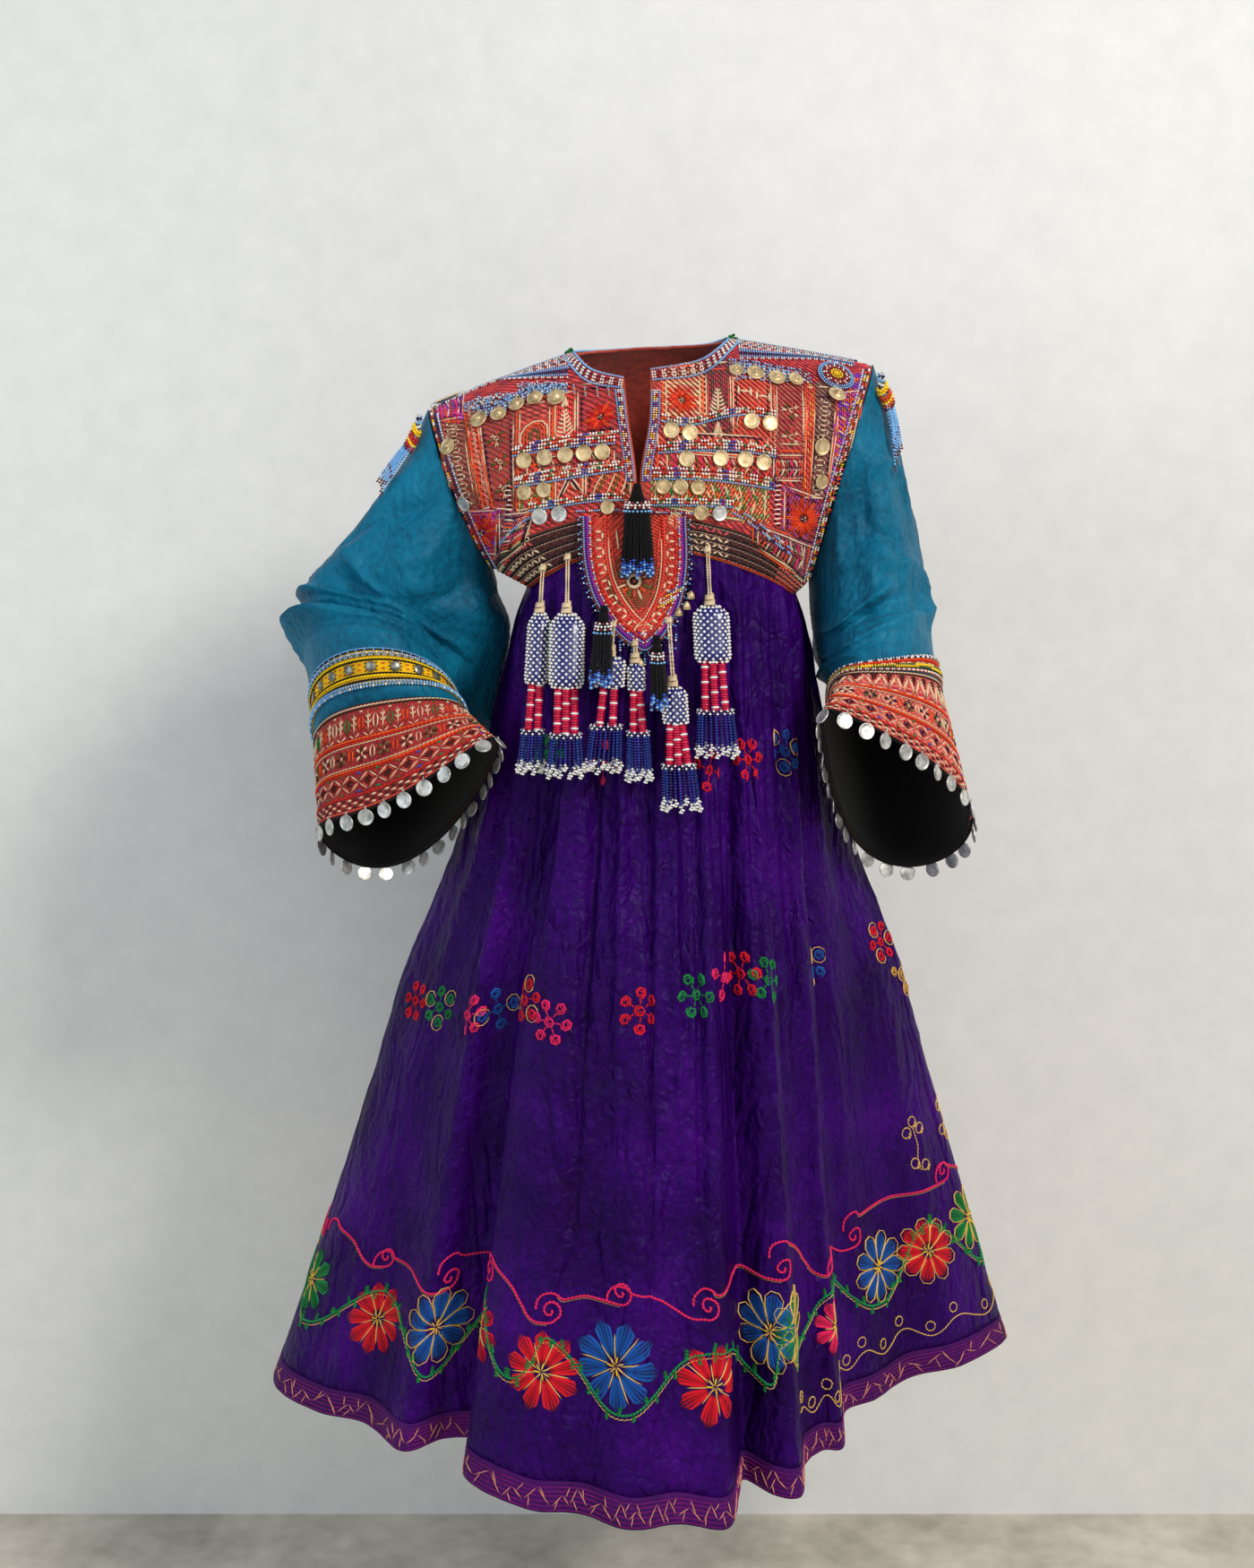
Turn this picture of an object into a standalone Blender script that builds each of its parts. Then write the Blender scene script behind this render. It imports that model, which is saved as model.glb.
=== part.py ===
# Kuchi dress: an embroidered, coin-hung yoke over a deep gathered skirt, with wide cuffed sleeves.
# Metres, +Z up, +X to the viewer's right, front at -Y. The origin is at the neck, where the shoulders hold it up.
# Every cloth piece is a closed wall between an outer grid of points and the same grid moved in.

import bpy
import bmesh
import math
import numpy as np
from mathutils import Vector

# Driving dimensions
COTTON = 0.0014          # sleeve and skirt cloth
QUILTED = 0.0026         # stitched yoke, band and cuffs, with their backing
LINING = 0.0012
SEAM = 0.0004            # clearance between pieces at a seam
ARMHOLE_GAP = 0.0016     # from the armhole's line to the sleeve's first ring, sideways
ROLL = 0.085             # height over which the yoke rolls over the shoulder
SQUARENESS = 2.4         # exponent of the torso's section, 2 for an ellipse
GATHERS = 24             # gather folds round the waist
GATHER_RISE = 0.0038
YOKE_COLUMNS = 14        # of each front
YOKE_BACK_COLUMNS = 21
YOKE_ROWS = 9
BAND_ROWS = 4
SKIRT_COLUMNS = 96       # four for each gather
SKIRT_ROWS = [0.0, 0.025, 0.07, 0.14, 0.25, 0.42, 0.66]   # shares of its length, above the hem band
SKIRT_LENGTH = 0.93
HEM_BAND = 0.027
SLEEVE_COLUMNS = 22
SLEEVE_ROWS = 10
LIFT = 0.0006            # clearance under a piece that lies on a panel
BEAD_BAND = 0.0022       # height of a beaded band over its panel
BEAD_ROW = 0.0032        # half width of a single row of beads
TASSEL_GAP = 0.0015      # between a hanging tassel and the skirt
COIN = 0.0015            # thickness of a coin
COIN_DROP = 0.0015       # how far a coin's rim hangs below the middle of its bead row
BIB_LIFT = 0.0008        # clearance behind the bib
CUFF_OUT = 0.0006        # the cuff's faces, outward and inward of the sleeve's own surface
CUFF_IN = 0.0018
TRIM = 0.0026            # the trim's face over the sleeve
TASSEL_DEPTH = 0.0075    # half depth of a beaded tassel
TASSEL_STRING = 0.0014   # radius
TASSEL_ROD = 0.0035      # radius
STRAND = 0.0022          # radius of a strand of fringe
CORD_DEPTH = 0.0060      # half depth of a cord tassel
CORD_KNOT = 0.0022       # half depth of its knot
TUFT_OUT = 0.0081        # middle of a shoulder tuft over the sleeve
CUFF_COINS = 21
CUFF_COIN = 0.0090       # radius
CUFF_TAPE = 0.0030       # depth of the tape between them

# Torso sections. Columns: height, centre x, half width, front depth, back depth
TORSO = [
    (0.020, 0.013, 0.245, 0.100, 0.078),
    (-0.060, 0.012, 0.245, 0.113, 0.092),
    (-0.130, 0.006, 0.226, 0.126, 0.100),
    (-0.190, 0.009, 0.188, 0.131, 0.098),
    (-0.224, 0.0155, 0.1654, 0.129, 0.092),
    (-0.238, 0.0265, 0.1494, 0.127, 0.089),
    (-0.243, 0.0290, 0.1419, 0.126, 0.087),
    (-0.250, 0.0250, 0.1379, 0.124, 0.085),
]
# Line of the shoulders, over the neck too. Columns: x, height
SHOULDER = [(-0.240, -0.075), (-0.213, -0.065), (-0.140, -0.035), (-0.063, -0.008), (0.012, 0.013),
            (0.090, 0.005), (0.160, -0.006), (0.238, -0.020), (0.265, -0.024)]

# Seams of the yoke as seen from the front; None takes the height of the shoulder line. Columns: x, height
SLIT_LEFT = [(-0.014, -0.028), (-0.009, -0.070), (-0.0022, -0.117), (-0.0006, -0.160)]
SLIT_RIGHT = [(0.012, -0.020), (0.010, -0.070), (0.0022, -0.117), (0.0006, -0.160)]
NECK_LEFT = [(-0.014, -0.028), (-0.045, -0.021), (-0.063, None)]
NECK_RIGHT = [(0.012, -0.020), (0.060, -0.012), (0.090, None)]
NECK_BACK = [(-0.063, None), (-0.040, -0.006), (0.013, -0.003), (0.068, 0.000), (0.090, None)]
SHOULDER_ENDS = {"left": (-0.063, -0.213), "right": (0.090, 0.238)}
ARMHOLE_LEFT = [(-0.213, -0.065), (-0.200, -0.100), (-0.183, -0.146), (-0.163, -0.195), (-0.150, -0.224)]
ARMHOLE_RIGHT = [(0.238, -0.020), (0.219, -0.070), (0.196, -0.145), (0.184, -0.200), (0.176, -0.238)]
YOKE_HEM_LEFT = [(-0.0006, -0.160), (-0.060, -0.166), (-0.123, -0.190), (-0.150, -0.224)]
YOKE_HEM_RIGHT = [(0.0006, -0.160), (0.060, -0.166), (0.123, -0.188), (0.176, -0.238)]
YOKE_HEM_BACK = [(-0.150, -0.224), (-0.090, -0.218), (0.013, -0.218), (0.110, -0.222), (0.176, -0.238)]
WAIST_FRONT = [(-0.113, -0.243), (-0.090, -0.222), (-0.050, -0.202), (0.006, -0.192), (0.070, -0.202),
               (0.130, -0.226), (0.163, -0.250)]
WAIST_BACK = [(-0.113, -0.243), (-0.060, -0.246), (0.025, -0.248), (0.110, -0.249), (0.163, -0.250)]
BIB_LEFT = [(-0.056, -0.161), (-0.054, -0.205), (-0.044, -0.240), (-0.022, -0.272), (0.000, -0.288)]
BIB_RIGHT = [(0.048, -0.161), (0.049, -0.205), (0.043, -0.242), (0.028, -0.272), (0.012, -0.288)]
BIB_LEAN = 0.24          # how far the bib stands forward for its drop below BIB_FREE
BIB_FREE = -0.185

# Beaded bands. Each is an upper and a lower edge. Columns: x, height
NECK_BANDS = {
    "left": ([(-0.0150, -0.0290), (-0.045, -0.0222), (-0.0640, None)],
             [(-0.0170, -0.0400), (-0.050, -0.0345), (-0.0760, None)]),
    "right": ([(0.0130, -0.0212), (0.060, -0.0132), (0.0910, None)],
              [(0.0150, -0.0325), (0.064, -0.0262), (0.1030, None)]),
    "back": ([(-0.0640, None), (-0.040, -0.0072), (0.013, -0.0045), (0.068, -0.0012), (0.0910, None)],
             [(-0.0760, None), (-0.045, -0.0190), (0.013, -0.0155), (0.070, -0.0120), (0.1030, None)]),
}
SLIT_BAND = (-0.0415, -0.126)      # heights of its ends
SLIT_BAND_WIDTH = 0.0095
SHOULDER_BANDS = {"left": (-0.0775, -0.1990), "right": (0.1045, 0.2215)}
ARMHOLE_BAND_WIDTH = 0.009

# Rows of beads on the yoke front, with the coins that hang from each.
# Columns: name, points of the row (x, height), coins (x, radius, height of boss)
COIN_ROWS = [
    ("left_1", [(-0.163, -0.0665), (-0.140, -0.0610), (-0.118, -0.0505), (-0.098, -0.0440), (-0.072, -0.0420)],
     [(-0.157, 0.0094, 0.003), (-0.137, 0.0085, 0.003), (-0.119, 0.0083, 0.003), (-0.101, 0.0086, 0.003),
      (-0.080, 0.0094, 0.003)]),
    ("left_2", [(-0.122, -0.1020), (-0.090, -0.0960), (-0.060, -0.0915), (-0.0235, -0.0885)],
     [(-0.111, 0.0080, 0.0), (-0.091, 0.0080, 0.0), (-0.071, 0.0080, 0.0), (-0.053, 0.0080, 0.0),
      (-0.035, 0.0080, 0.0)]),
    ("left_3", [(-0.120, -0.1305), (-0.092, -0.1265), (-0.055, -0.1200), (-0.0155, -0.1140)],
     [(-0.111, 0.0075, 0.0), (-0.092, 0.0075, 0.0)]),
    ("left_4", [(-0.106, -0.1535), (-0.077, -0.1490), (-0.045, -0.1440), (-0.014, -0.1425)],
     [(-0.096, 0.0080, 0.0), (-0.077, 0.0080, 0.0), (-0.030, 0.0070, 0.0)]),
    ("right_1", [(0.090, -0.0180), (0.116, -0.0205), (0.137, -0.0250), (0.160, -0.0280)],
     [(0.096, 0.0075, 0.003), (0.115, 0.0090, 0.003), (0.136, 0.0090, 0.003), (0.155, 0.0080, 0.003)]),
    ("right_2", [(0.0235, -0.0675), (0.050, -0.0715), (0.085, -0.0640), (0.112, -0.0625), (0.133, -0.0655)],
     [(0.032, 0.0080, 0.0), (0.050, 0.0080, 0.0), (0.110, 0.0080, 0.0), (0.128, 0.0080, 0.0)]),
    ("right_3", [(0.020, -0.0975), (0.060, -0.0955), (0.100, -0.0965), (0.133, -0.1020)],
     [(0.047, 0.0080, 0.0), (0.080, 0.0080, 0.0), (0.104, 0.0080, 0.0), (0.122, 0.0080, 0.0)]),
    ("right_4", [(0.0155, -0.1225), (0.060, -0.1235), (0.100, -0.1275), (0.132, -0.1335)],
     [(0.024, 0.0075, 0.0), (0.041, 0.0075, 0.0), (0.058, 0.0075, 0.0)]),
    ("right_5", [(0.013, -0.1475), (0.060, -0.1480), (0.092, -0.1500)],
     [(0.061, 0.0075, 0.0), (0.079, 0.0075, 0.0)]),
]
# Coins at the armhole bands. Columns: side, row of the yoke's grid, radius, height of boss
ARMHOLE_COINS = [("left", 1.6, 0.0095, 0.003), ("left", 4.4, 0.0085, 0.0), ("right", 4.35, 0.0092, 0.0)]
ROSETTE = (0.196, -0.031, 0.0195)          # x, height, radius
ROSETTE_LIFT = 0.0018                      # of its middle over the panel

# Beaded tassels that hang in front of the skirt. Columns: name, x at the top, x at the bottom,
# heights of the string's top, head's top, rods' top, fringe's top, fringe's end, half width of head, rods, of fringe
TASSELS = [
    ("1", -0.094, -0.1055, -0.212, -0.256, -0.325, -0.368, -0.404, 0.0108, 2, 0.0120),
    ("2", -0.069, -0.0710, -0.200, -0.254, -0.325, -0.368, -0.404, 0.0165, 3, 0.0163),
    ("3", -0.024, -0.0345, -0.262, -0.294, -0.324, -0.360, -0.400, 0.0140, 2, 0.0165),
    ("4", -0.003, 0.0010, -0.280, -0.300, -0.326, -0.366, -0.408, 0.0080, 2, 0.0115),
    ("5", 0.030, 0.0420, -0.258, -0.322, -0.358, -0.397, -0.436, 0.0120, 3, 0.0175),
    ("6", 0.068, 0.0770, -0.192, -0.246, -0.300, -0.346, -0.386, 0.0170, 3, 0.0190),
]
# Black cord tassels. Columns: name, x at the top, x at the bottom, height of top, of collar, of strands' end,
# half width, strands, extra distance that it stands forward of the skirt, or None where it lies on the bib
CORD_TASSELS = [
    ("centre", -0.001, -0.001, -0.128, -0.146, -0.214, 0.015, 10, None),
    ("left", -0.0330, -0.0370, -0.246, -0.262, -0.314, 0.010, 7, 0.016),
    ("right", 0.0180, 0.0200, -0.274, -0.290, -0.336, 0.0075, 7, 0.0),
]


# Plan of the hem's folds. Columns: bearing at the waist (0 front, 90 right), x, y, height
HEM_FOLDS = [
    (-90, -0.408, -0.020, -1.146), (-79, -0.352, -0.088, -1.142), (-70, -0.292, -0.128, -1.134),
    (-61, -0.246, -0.196, -1.128), (-52, -0.205, -0.178, -1.124), (-45, -0.168, -0.186, -1.122),
    (-38, -0.176, -0.256, -1.122), (-28, -0.112, -0.312, -1.124), (-18, -0.058, -0.316, -1.127),
    (-8, -0.008, -0.340, -1.130), (4, 0.040, -0.328, -1.131), (14, 0.088, -0.334, -1.132),
    (21, 0.101, -0.282, -1.128), (27, 0.108, -0.254, -1.126), (33, 0.138, -0.282, -1.127),
    (39, 0.164, -0.284, -1.127), (46, 0.172, -0.226, -1.126), (52, 0.194, -0.196, -1.127),
    (58, 0.216, -0.188, -1.128), (64, 0.224, -0.116, -1.128), (71, 0.262, -0.086, -1.128),
    (78, 0.306, -0.038, -1.128), (85, 0.368, -0.012, -1.127), (93, 0.428, 0.058, -1.128),
    (102, 0.398, 0.116, -1.130), (112, 0.338, 0.136, -1.130), (122, 0.318, 0.204, -1.130),
    (134, 0.244, 0.196, -1.130), (146, 0.214, 0.264, -1.130), (158, 0.132, 0.236, -1.130),
    (170, 0.084, 0.298, -1.130), (182, 0.002, 0.262, -1.130), (194, -0.060, 0.308, -1.130),
    (206, -0.124, 0.240, -1.130), (218, -0.194, 0.266, -1.132), (230, -0.236, 0.196, -1.134),
    (242, -0.304, 0.202, -1.138), (252, -0.330, 0.124, -1.142), (262, -0.396, 0.074, -1.146),
]
# How far the skirt has flared at a share of its length. Columns: share, flare
FLARE = [(0.0, 0.0), (0.14, 0.10), (0.32, 0.27), (0.47, 0.47), (0.70, 0.69), (1.0, 1.0)]

# Sleeve rings after the armhole, each by four points. Columns: outer, inner, front, back
SLEEVE_RINGS = {
    "left": [
        ((-0.244, 0.000, -0.124), (-0.146, 0.000, -0.252), (-0.216, -0.076, -0.178), (-0.214, 0.078, -0.186)),
        ((-0.291, 0.000, -0.187), (-0.134, 0.002, -0.288), (-0.237, -0.088, -0.226), (-0.226, 0.088, -0.246)),
        ((-0.337, -0.002, -0.250), (-0.143, 0.008, -0.336), (-0.252, -0.080, -0.254), (-0.222, 0.092, -0.330)),
        ((-0.352, -0.020, -0.302), (-0.158, 0.016, -0.386), (-0.254, -0.098, -0.266), (-0.236, 0.084, -0.402)),
        ((-0.335, -0.060, -0.350), (-0.186, -0.026, -0.380), (-0.244, -0.140, -0.288), (-0.262, 0.040, -0.452)),
        ((-0.325, -0.100, -0.487), (-0.139, -0.150, -0.382), (-0.238, -0.170, -0.432), (-0.240, -0.030, -0.532)),
    ],
    "right": [
        ((0.262, 0.000, -0.085), (0.180, 0.000, -0.262), (0.219, -0.080, -0.176), (0.218, 0.082, -0.184)),
        ((0.281, 0.000, -0.150), (0.183, -0.004, -0.288), (0.225, -0.096, -0.222), (0.226, 0.082, -0.248)),
        ((0.297, -0.008, -0.235), (0.188, -0.024, -0.316), (0.230, -0.120, -0.262), (0.236, 0.066, -0.322)),
        ((0.305, -0.045, -0.322), (0.196, -0.074, -0.336), (0.236, -0.150, -0.298), (0.238, 0.034, -0.392)),
        ((0.344, -0.080, -0.475), (0.184, -0.136, -0.386), (0.222, -0.180, -0.357), (0.258, -0.020, -0.536)),
    ],
}
# Where each sleeve's cloth and bands end, as shares of the last ring span.
# Columns: side, sleeve end, trim start, trim end, cuff start
CUFFS = {"left": (0.40, 0.02, 0.30, 0.404), "right": (0.20, 0.02, 0.19, 0.206)}

# Long soft folds of a sleeve. Columns: side, bearing on the ring in degrees, width in degrees, rise at the widest
SLEEVE_FOLDS = {
    "left": [(262, 13, 0.007), (292, 15, -0.006), (318, 16, 0.008), (235, 12, -0.004), (40, 18, 0.006),
             (90, 16, -0.005), (140, 18, 0.006)],
    "right": [(238, 15, 0.005), (268, 13, -0.004), (296, 16, 0.005), (330, 14, -0.004), (40, 18, 0.006),
              (90, 16, -0.005), (140, 18, 0.006)],
}


# Small helpers

def clear_scene():
    for obj in list(bpy.data.objects):
        bpy.data.objects.remove(obj, do_unlink=True)


def material(name, colour, roughness=0.8, metallic=0.0):
    mat = bpy.data.materials.get(name)
    if mat is None:
        mat = bpy.data.materials.new(name)
        mat.use_nodes = True
        shader = mat.node_tree.nodes["Principled BSDF"]
        shader.inputs["Base Color"].default_value = (*colour, 1.0)
        shader.inputs["Roughness"].default_value = roughness
        shader.inputs["Metallic"].default_value = metallic
    return mat


def add_object(name, mesh, mat):
    obj = bpy.data.objects.new(name, mesh)
    bpy.context.scene.collection.objects.link(obj)
    mesh.materials.clear()
    mesh.materials.append(mat)
    mesh.shade_smooth()
    mesh.set_sharp_from_angle(angle=math.radians(50))
    return obj


def smooth(value):
    """Eased 0 to 1."""
    value = np.clip(value, 0.0, 1.0)
    return value * value * (3.0 - 2.0 * value)


def unit(vectors):
    return vectors / np.maximum(np.linalg.norm(vectors, axis=-1, keepdims=True), 1e-9)


def spline(rows, shares, closed=False):
    """Points at the given shares of a Catmull-Rom curve through rows of equal parameter steps."""
    rows = np.asarray(rows, float)
    spans = len(rows) if closed else len(rows) - 1
    place = np.clip(np.asarray(shares, float), 0.0, 1.0) * spans
    index = np.minimum(place.astype(int), spans - 1)
    t = (place - index)[:, None]
    if closed:
        p0, p1, p2, p3 = (rows[(index + k) % len(rows)] for k in (-1, 0, 1, 2))
    else:
        first = 2.0 * rows[:1] - rows[1:2]
        last = 2.0 * rows[-1:] - rows[-2:-1]
        padded = np.concatenate([first, rows, last])
        p0, p1, p2, p3 = (padded[index + k] for k in range(4))
    return 0.5 * (2 * p1 + (p2 - p0) * t + (2 * p0 - 5 * p1 + 4 * p2 - p3) * t ** 2
                  + (3 * p1 - p0 - 3 * p2 + p3) * t ** 3)


def along(rows, count, ease=None):
    """count points evenly spaced by length on the curve through rows, or spaced by ease."""
    fine = spline(rows, np.linspace(0.0, 1.0, 400))
    length = np.concatenate([[0.0], np.cumsum(np.linalg.norm(np.diff(fine, axis=0), axis=1))])
    shares = np.linspace(0.0, 1.0, count)
    if ease is not None:
        shares = ease(shares)
    return np.stack([np.interp(shares * length[-1], length, fine[:, k]) for k in range(fine.shape[1])], axis=1)


def table_at(table, value):
    """Columns of a table read at a value of its first column, with straight steps between rows."""
    table = np.asarray(sorted(table), float)
    return [np.interp(value, table[:, 0], table[:, k]) for k in range(1, table.shape[1])]


# The torso that the yoke and band lie on

CROWN = spline(SHOULDER, np.linspace(0.0, 1.0, 400))


def crown(x):
    """Height of the shoulder line at x."""
    return np.interp(x, CROWN[:, 0], CROWN[:, 1])


def filled(points):
    """Points of x and height, with the shoulder line's height where a table leaves it out."""
    return [(x, float(crown(x)) if z is None else z) for x, z in points]


def shoulder_edge(side, count):
    """Points along one shoulder seam from the neck to the tip."""
    xs = np.linspace(*SHOULDER_ENDS[side], count)
    return np.stack([xs, crown(xs)], axis=1)


def torso_depth(x, z, back=False):
    """Depth of the torso in front of or behind the side seams, at x and height z."""
    centre, half_width, front, rear = table_at(TORSO, z)
    across = np.clip(np.abs(x - centre) / half_width, 0.0, 1.0)
    side = (1.0 - across ** SQUARENESS) ** (1.0 / SQUARENESS)
    share = np.clip((crown(x) - z) / ROLL, 0.0, 1.0)
    roll = np.sqrt(1.0 - (1.0 - share) ** 2)
    return (rear if back else front) * side * roll


def on_torso(flat, back=False):
    """World points on the torso for an array whose last axis is x and height."""
    flat = np.asarray(flat, float)
    depth = torso_depth(flat[..., 0], flat[..., 1], back)
    return np.stack([flat[..., 0], depth if back else -depth, flat[..., 1]], axis=-1)


def over_torso(points, count, back=False):
    """count points of x and height on the curve through a table's points, evenly spaced on the torso itself."""
    fine = along(filled(points), 300)
    length = np.linalg.norm(np.diff(on_torso(fine, back), axis=0), axis=1)
    length = np.concatenate([[0.0], np.cumsum(length)])
    places = np.linspace(0.0, length[-1], count)
    return np.stack([np.interp(places, length, fine[:, k]) for k in range(2)], axis=1)


def patch(top, bottom, left, right):
    """Coons patch of four edge curves, as an array of rows by columns."""
    top, bottom, left, right = (np.asarray(edge, float) for edge in (top, bottom, left, right))
    u = np.linspace(0.0, 1.0, len(top))[None, :, None]
    v = np.linspace(0.0, 1.0, len(left))[:, None, None]
    corners = ((1 - u) * (1 - v) * top[0] + u * (1 - v) * top[-1]
               + (1 - u) * v * bottom[0] + u * v * bottom[-1])
    return ((1 - v) * top[None] + v * bottom[None] + (1 - u) * left[:, None] + u * right[:, None] - corners)


# Walls from grids

def normals_of(grid, wrap=False):
    """Unit normals of a grid from the differences between its neighbours."""
    if wrap:
        across = np.roll(grid, -1, axis=1) - np.roll(grid, 1, axis=1)
    else:
        across = np.gradient(grid, axis=1)
    down = np.gradient(grid, axis=0)
    return unit(np.cross(down, across))


def flatten_seams(grid, normals):
    """Normals of edge points on the y = 0 seam plane lose their y part, so that two panels meet squarely."""
    on_plane = np.abs(grid[..., 1]) < 0.0012
    fixed = normals.copy()
    fixed[..., 1] = np.where(on_plane, 0.0, fixed[..., 1])
    return unit(fixed)


def pull_in(grid, top=0.0, bottom=0.0, left=0.0, right=0.0):
    """Moves a grid's edges in by the given lengths, along its rows and columns."""
    grid = grid.copy()
    for amount, edge, inner in ((top, 0, 1), (bottom, -1, -2)):
        if amount:
            grid[edge] = grid[edge] + unit(grid[inner] - grid[edge]) * amount
    for amount, edge, inner in ((left, 0, 1), (right, -1, -2)):
        if amount:
            grid[:, edge] = grid[:, edge] + unit(grid[:, inner] - grid[:, edge]) * amount
    return grid


def wall(name, outer, inner, mat, wrap=False):
    """One closed body between two grids of the same shape, wrapped round by columns or not.
    Both sides are split along the same diagonals, so walls that share a grid stay apart."""
    rows, columns = outer.shape[:2]
    points = np.concatenate([outer.reshape(-1, 3), inner.reshape(-1, 3)])
    index = np.arange(rows * columns).reshape(rows, columns)
    if wrap:
        index = np.concatenate([index, index[:, :1]], axis=1)
    a, b, c, d = index[:-1, :-1], index[:-1, 1:], index[1:, 1:], index[1:, :-1]
    outside = np.stack([a, b, c, d], axis=-1).reshape(-1, 4)
    half = rows * columns
    inside = outside[:, (2, 1, 0, 3)] + half
    strips = []
    edges = [(index[0, :-1], index[0, 1:]), (index[-1, 1:], index[-1, :-1])]
    if not wrap:
        edges += [(index[1:, 0], index[:-1, 0]), (index[:-1, -1], index[1:, -1])]
    for start, end in edges:
        strips.append(np.stack([end, start, start + half, end + half], axis=-1))
    quads = np.concatenate([outside, inside] + strips)
    faces = np.concatenate([quads[:, (0, 1, 2)], quads[:, (0, 2, 3)]])
    mesh = bpy.data.meshes.new(name)
    mesh.from_pydata(points.tolist(), [], faces.tolist())
    bm = bmesh.new()
    bm.from_mesh(mesh)
    bmesh.ops.recalc_face_normals(bm, faces=bm.faces)
    if bm.calc_volume(signed=True) < 0.0:
        bmesh.ops.reverse_faces(bm, faces=bm.faces)
    bm.to_mesh(mesh)
    bm.free()
    return add_object(name, mesh, mat)


def layer(name, grid, normals, inside, outside, mat, wrap=False):
    """A wall whose faces lie inside and outside the grid by the given lengths along the normals."""
    return wall(name, grid + normals * outside, grid + normals * inside, mat, wrap)


# Small solids, made as meshes and joined by union

def tube_mesh(bm, path, radii, sides, turn=0.0):
    """A closed tube through path with one radius for each point."""
    path = [Vector(p) for p in path]
    rings = []
    for k, point in enumerate(path):
        along_it = (path[min(k + 1, len(path) - 1)] - path[max(k - 1, 0)]).normalized()
        side = along_it.orthogonal() if abs(along_it.x) > 0.9 else along_it.cross(Vector((1, 0, 0)))
        side.normalize()
        other = along_it.cross(side)
        ring = []
        for j in range(sides):
            angle = turn + 2.0 * math.pi * j / sides
            ring.append(bm.verts.new(point + (side * math.cos(angle) + other * math.sin(angle)) * radii[k]))
        rings.append(ring)
    for lower, upper in zip(rings, rings[1:]):
        for j in range(sides):
            bm.faces.new((lower[j], lower[(j + 1) % sides], upper[(j + 1) % sides], upper[j]))
    bm.faces.new(list(reversed(rings[0])))
    bm.faces.new(rings[-1])


def disc_mesh(bm, centre, facing, radius, thickness, sides, boss=0.0):
    """A coin: a disc facing outward, with a round boss on its face if boss is its height."""
    matrix = Vector(facing).to_track_quat('Z', 'Y').to_matrix().to_4x4()
    matrix.translation = Vector(centre)
    profile = [(radius, -thickness / 2), (radius, thickness / 2)]
    if boss:
        profile += [(radius * 0.35, thickness / 2 + boss)]
    rings = []
    for size, height in profile:
        ring = []
        for j in range(sides):
            angle = 2.0 * math.pi * (j + 0.5) / sides
            ring.append(bm.verts.new(matrix @ Vector((size * math.cos(angle), size * math.sin(angle), height))))
        rings.append(ring)
    for lower, upper in zip(rings, rings[1:]):
        for j in range(sides):
            bm.faces.new((lower[j], lower[(j + 1) % sides], upper[(j + 1) % sides], upper[j]))
    bm.faces.new(list(reversed(rings[0])))
    bm.faces.new(rings[-1])


def mesh_from(bm, name):
    bmesh.ops.recalc_face_normals(bm, faces=bm.faces)
    mesh = bpy.data.meshes.new(name)
    bm.to_mesh(mesh)
    bm.free()
    return mesh


def united(obj, mesh):
    """Adds a mesh's bodies to an object by union and keeps the result as plain mesh."""
    helper = bpy.data.objects.new("helper", mesh)
    bpy.context.scene.collection.objects.link(helper)
    boolean = obj.modifiers.new("union", 'BOOLEAN')
    boolean.operation = 'UNION'
    boolean.solver = 'EXACT'
    boolean.use_self = True
    boolean.object = helper
    depsgraph = bpy.context.evaluated_depsgraph_get()
    result = bpy.data.meshes.new_from_object(obj.evaluated_get(depsgraph))
    obj.modifiers.clear()
    bm = bmesh.new()
    bm.from_mesh(result)
    bmesh.ops.remove_doubles(bm, verts=bm.verts, dist=0.000002)
    bmesh.ops.dissolve_degenerate(bm, dist=0.000002, edges=bm.edges)
    bm.to_mesh(result)
    bm.free()
    materials = list(obj.data.materials)
    obj.data = result
    obj.data.materials.clear()
    for mat in materials:
        obj.data.materials.append(mat)
    bpy.data.objects.remove(helper, do_unlink=True)
    return obj


# The yoke and its bands

def yoke_materials():
    return {
        "yoke": material("embroidered_yoke", (0.36, 0.07, 0.05)),
        "band": material("stitched_band", (0.10, 0.05, 0.05)),
        "beads_blue": material("blue_bead_band", (0.35, 0.55, 0.75), 0.35),
        "beads_white": material("white_bead_band", (0.75, 0.75, 0.75), 0.35),
        "bib": material("beaded_bib", (0.55, 0.12, 0.08)),
    }


def ease_to_side(shares):
    """Spacing that closes up toward the side seam, where the torso turns."""
    return np.sin(shares * math.pi / 2)


def front_edges(side):
    """The slit, neckline, armhole and lower edge of one side."""
    if side == "left":
        return SLIT_LEFT, NECK_LEFT, ARMHOLE_LEFT, YOKE_HEM_LEFT
    return SLIT_RIGHT, NECK_RIGHT, ARMHOLE_RIGHT, YOKE_HEM_RIGHT


def shoulder_rows(shares):
    """Row spacing that closes up toward the shoulder seam, where the yoke rolls over."""
    return shares ** 1.6


def neck_then_shoulder(neck, side, count):
    """Points along a neckline and on along the shoulder, with a corner where they meet."""
    on_neck = round(count * 0.42)
    first = over_torso(neck, on_neck)
    return np.concatenate([first, shoulder_edge(side, count - on_neck + 1)[1:]])


def ease_to_both(shares):
    """Spacing that closes up toward both side seams."""
    return 0.5 - 0.5 * np.cos(shares * math.pi)


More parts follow.
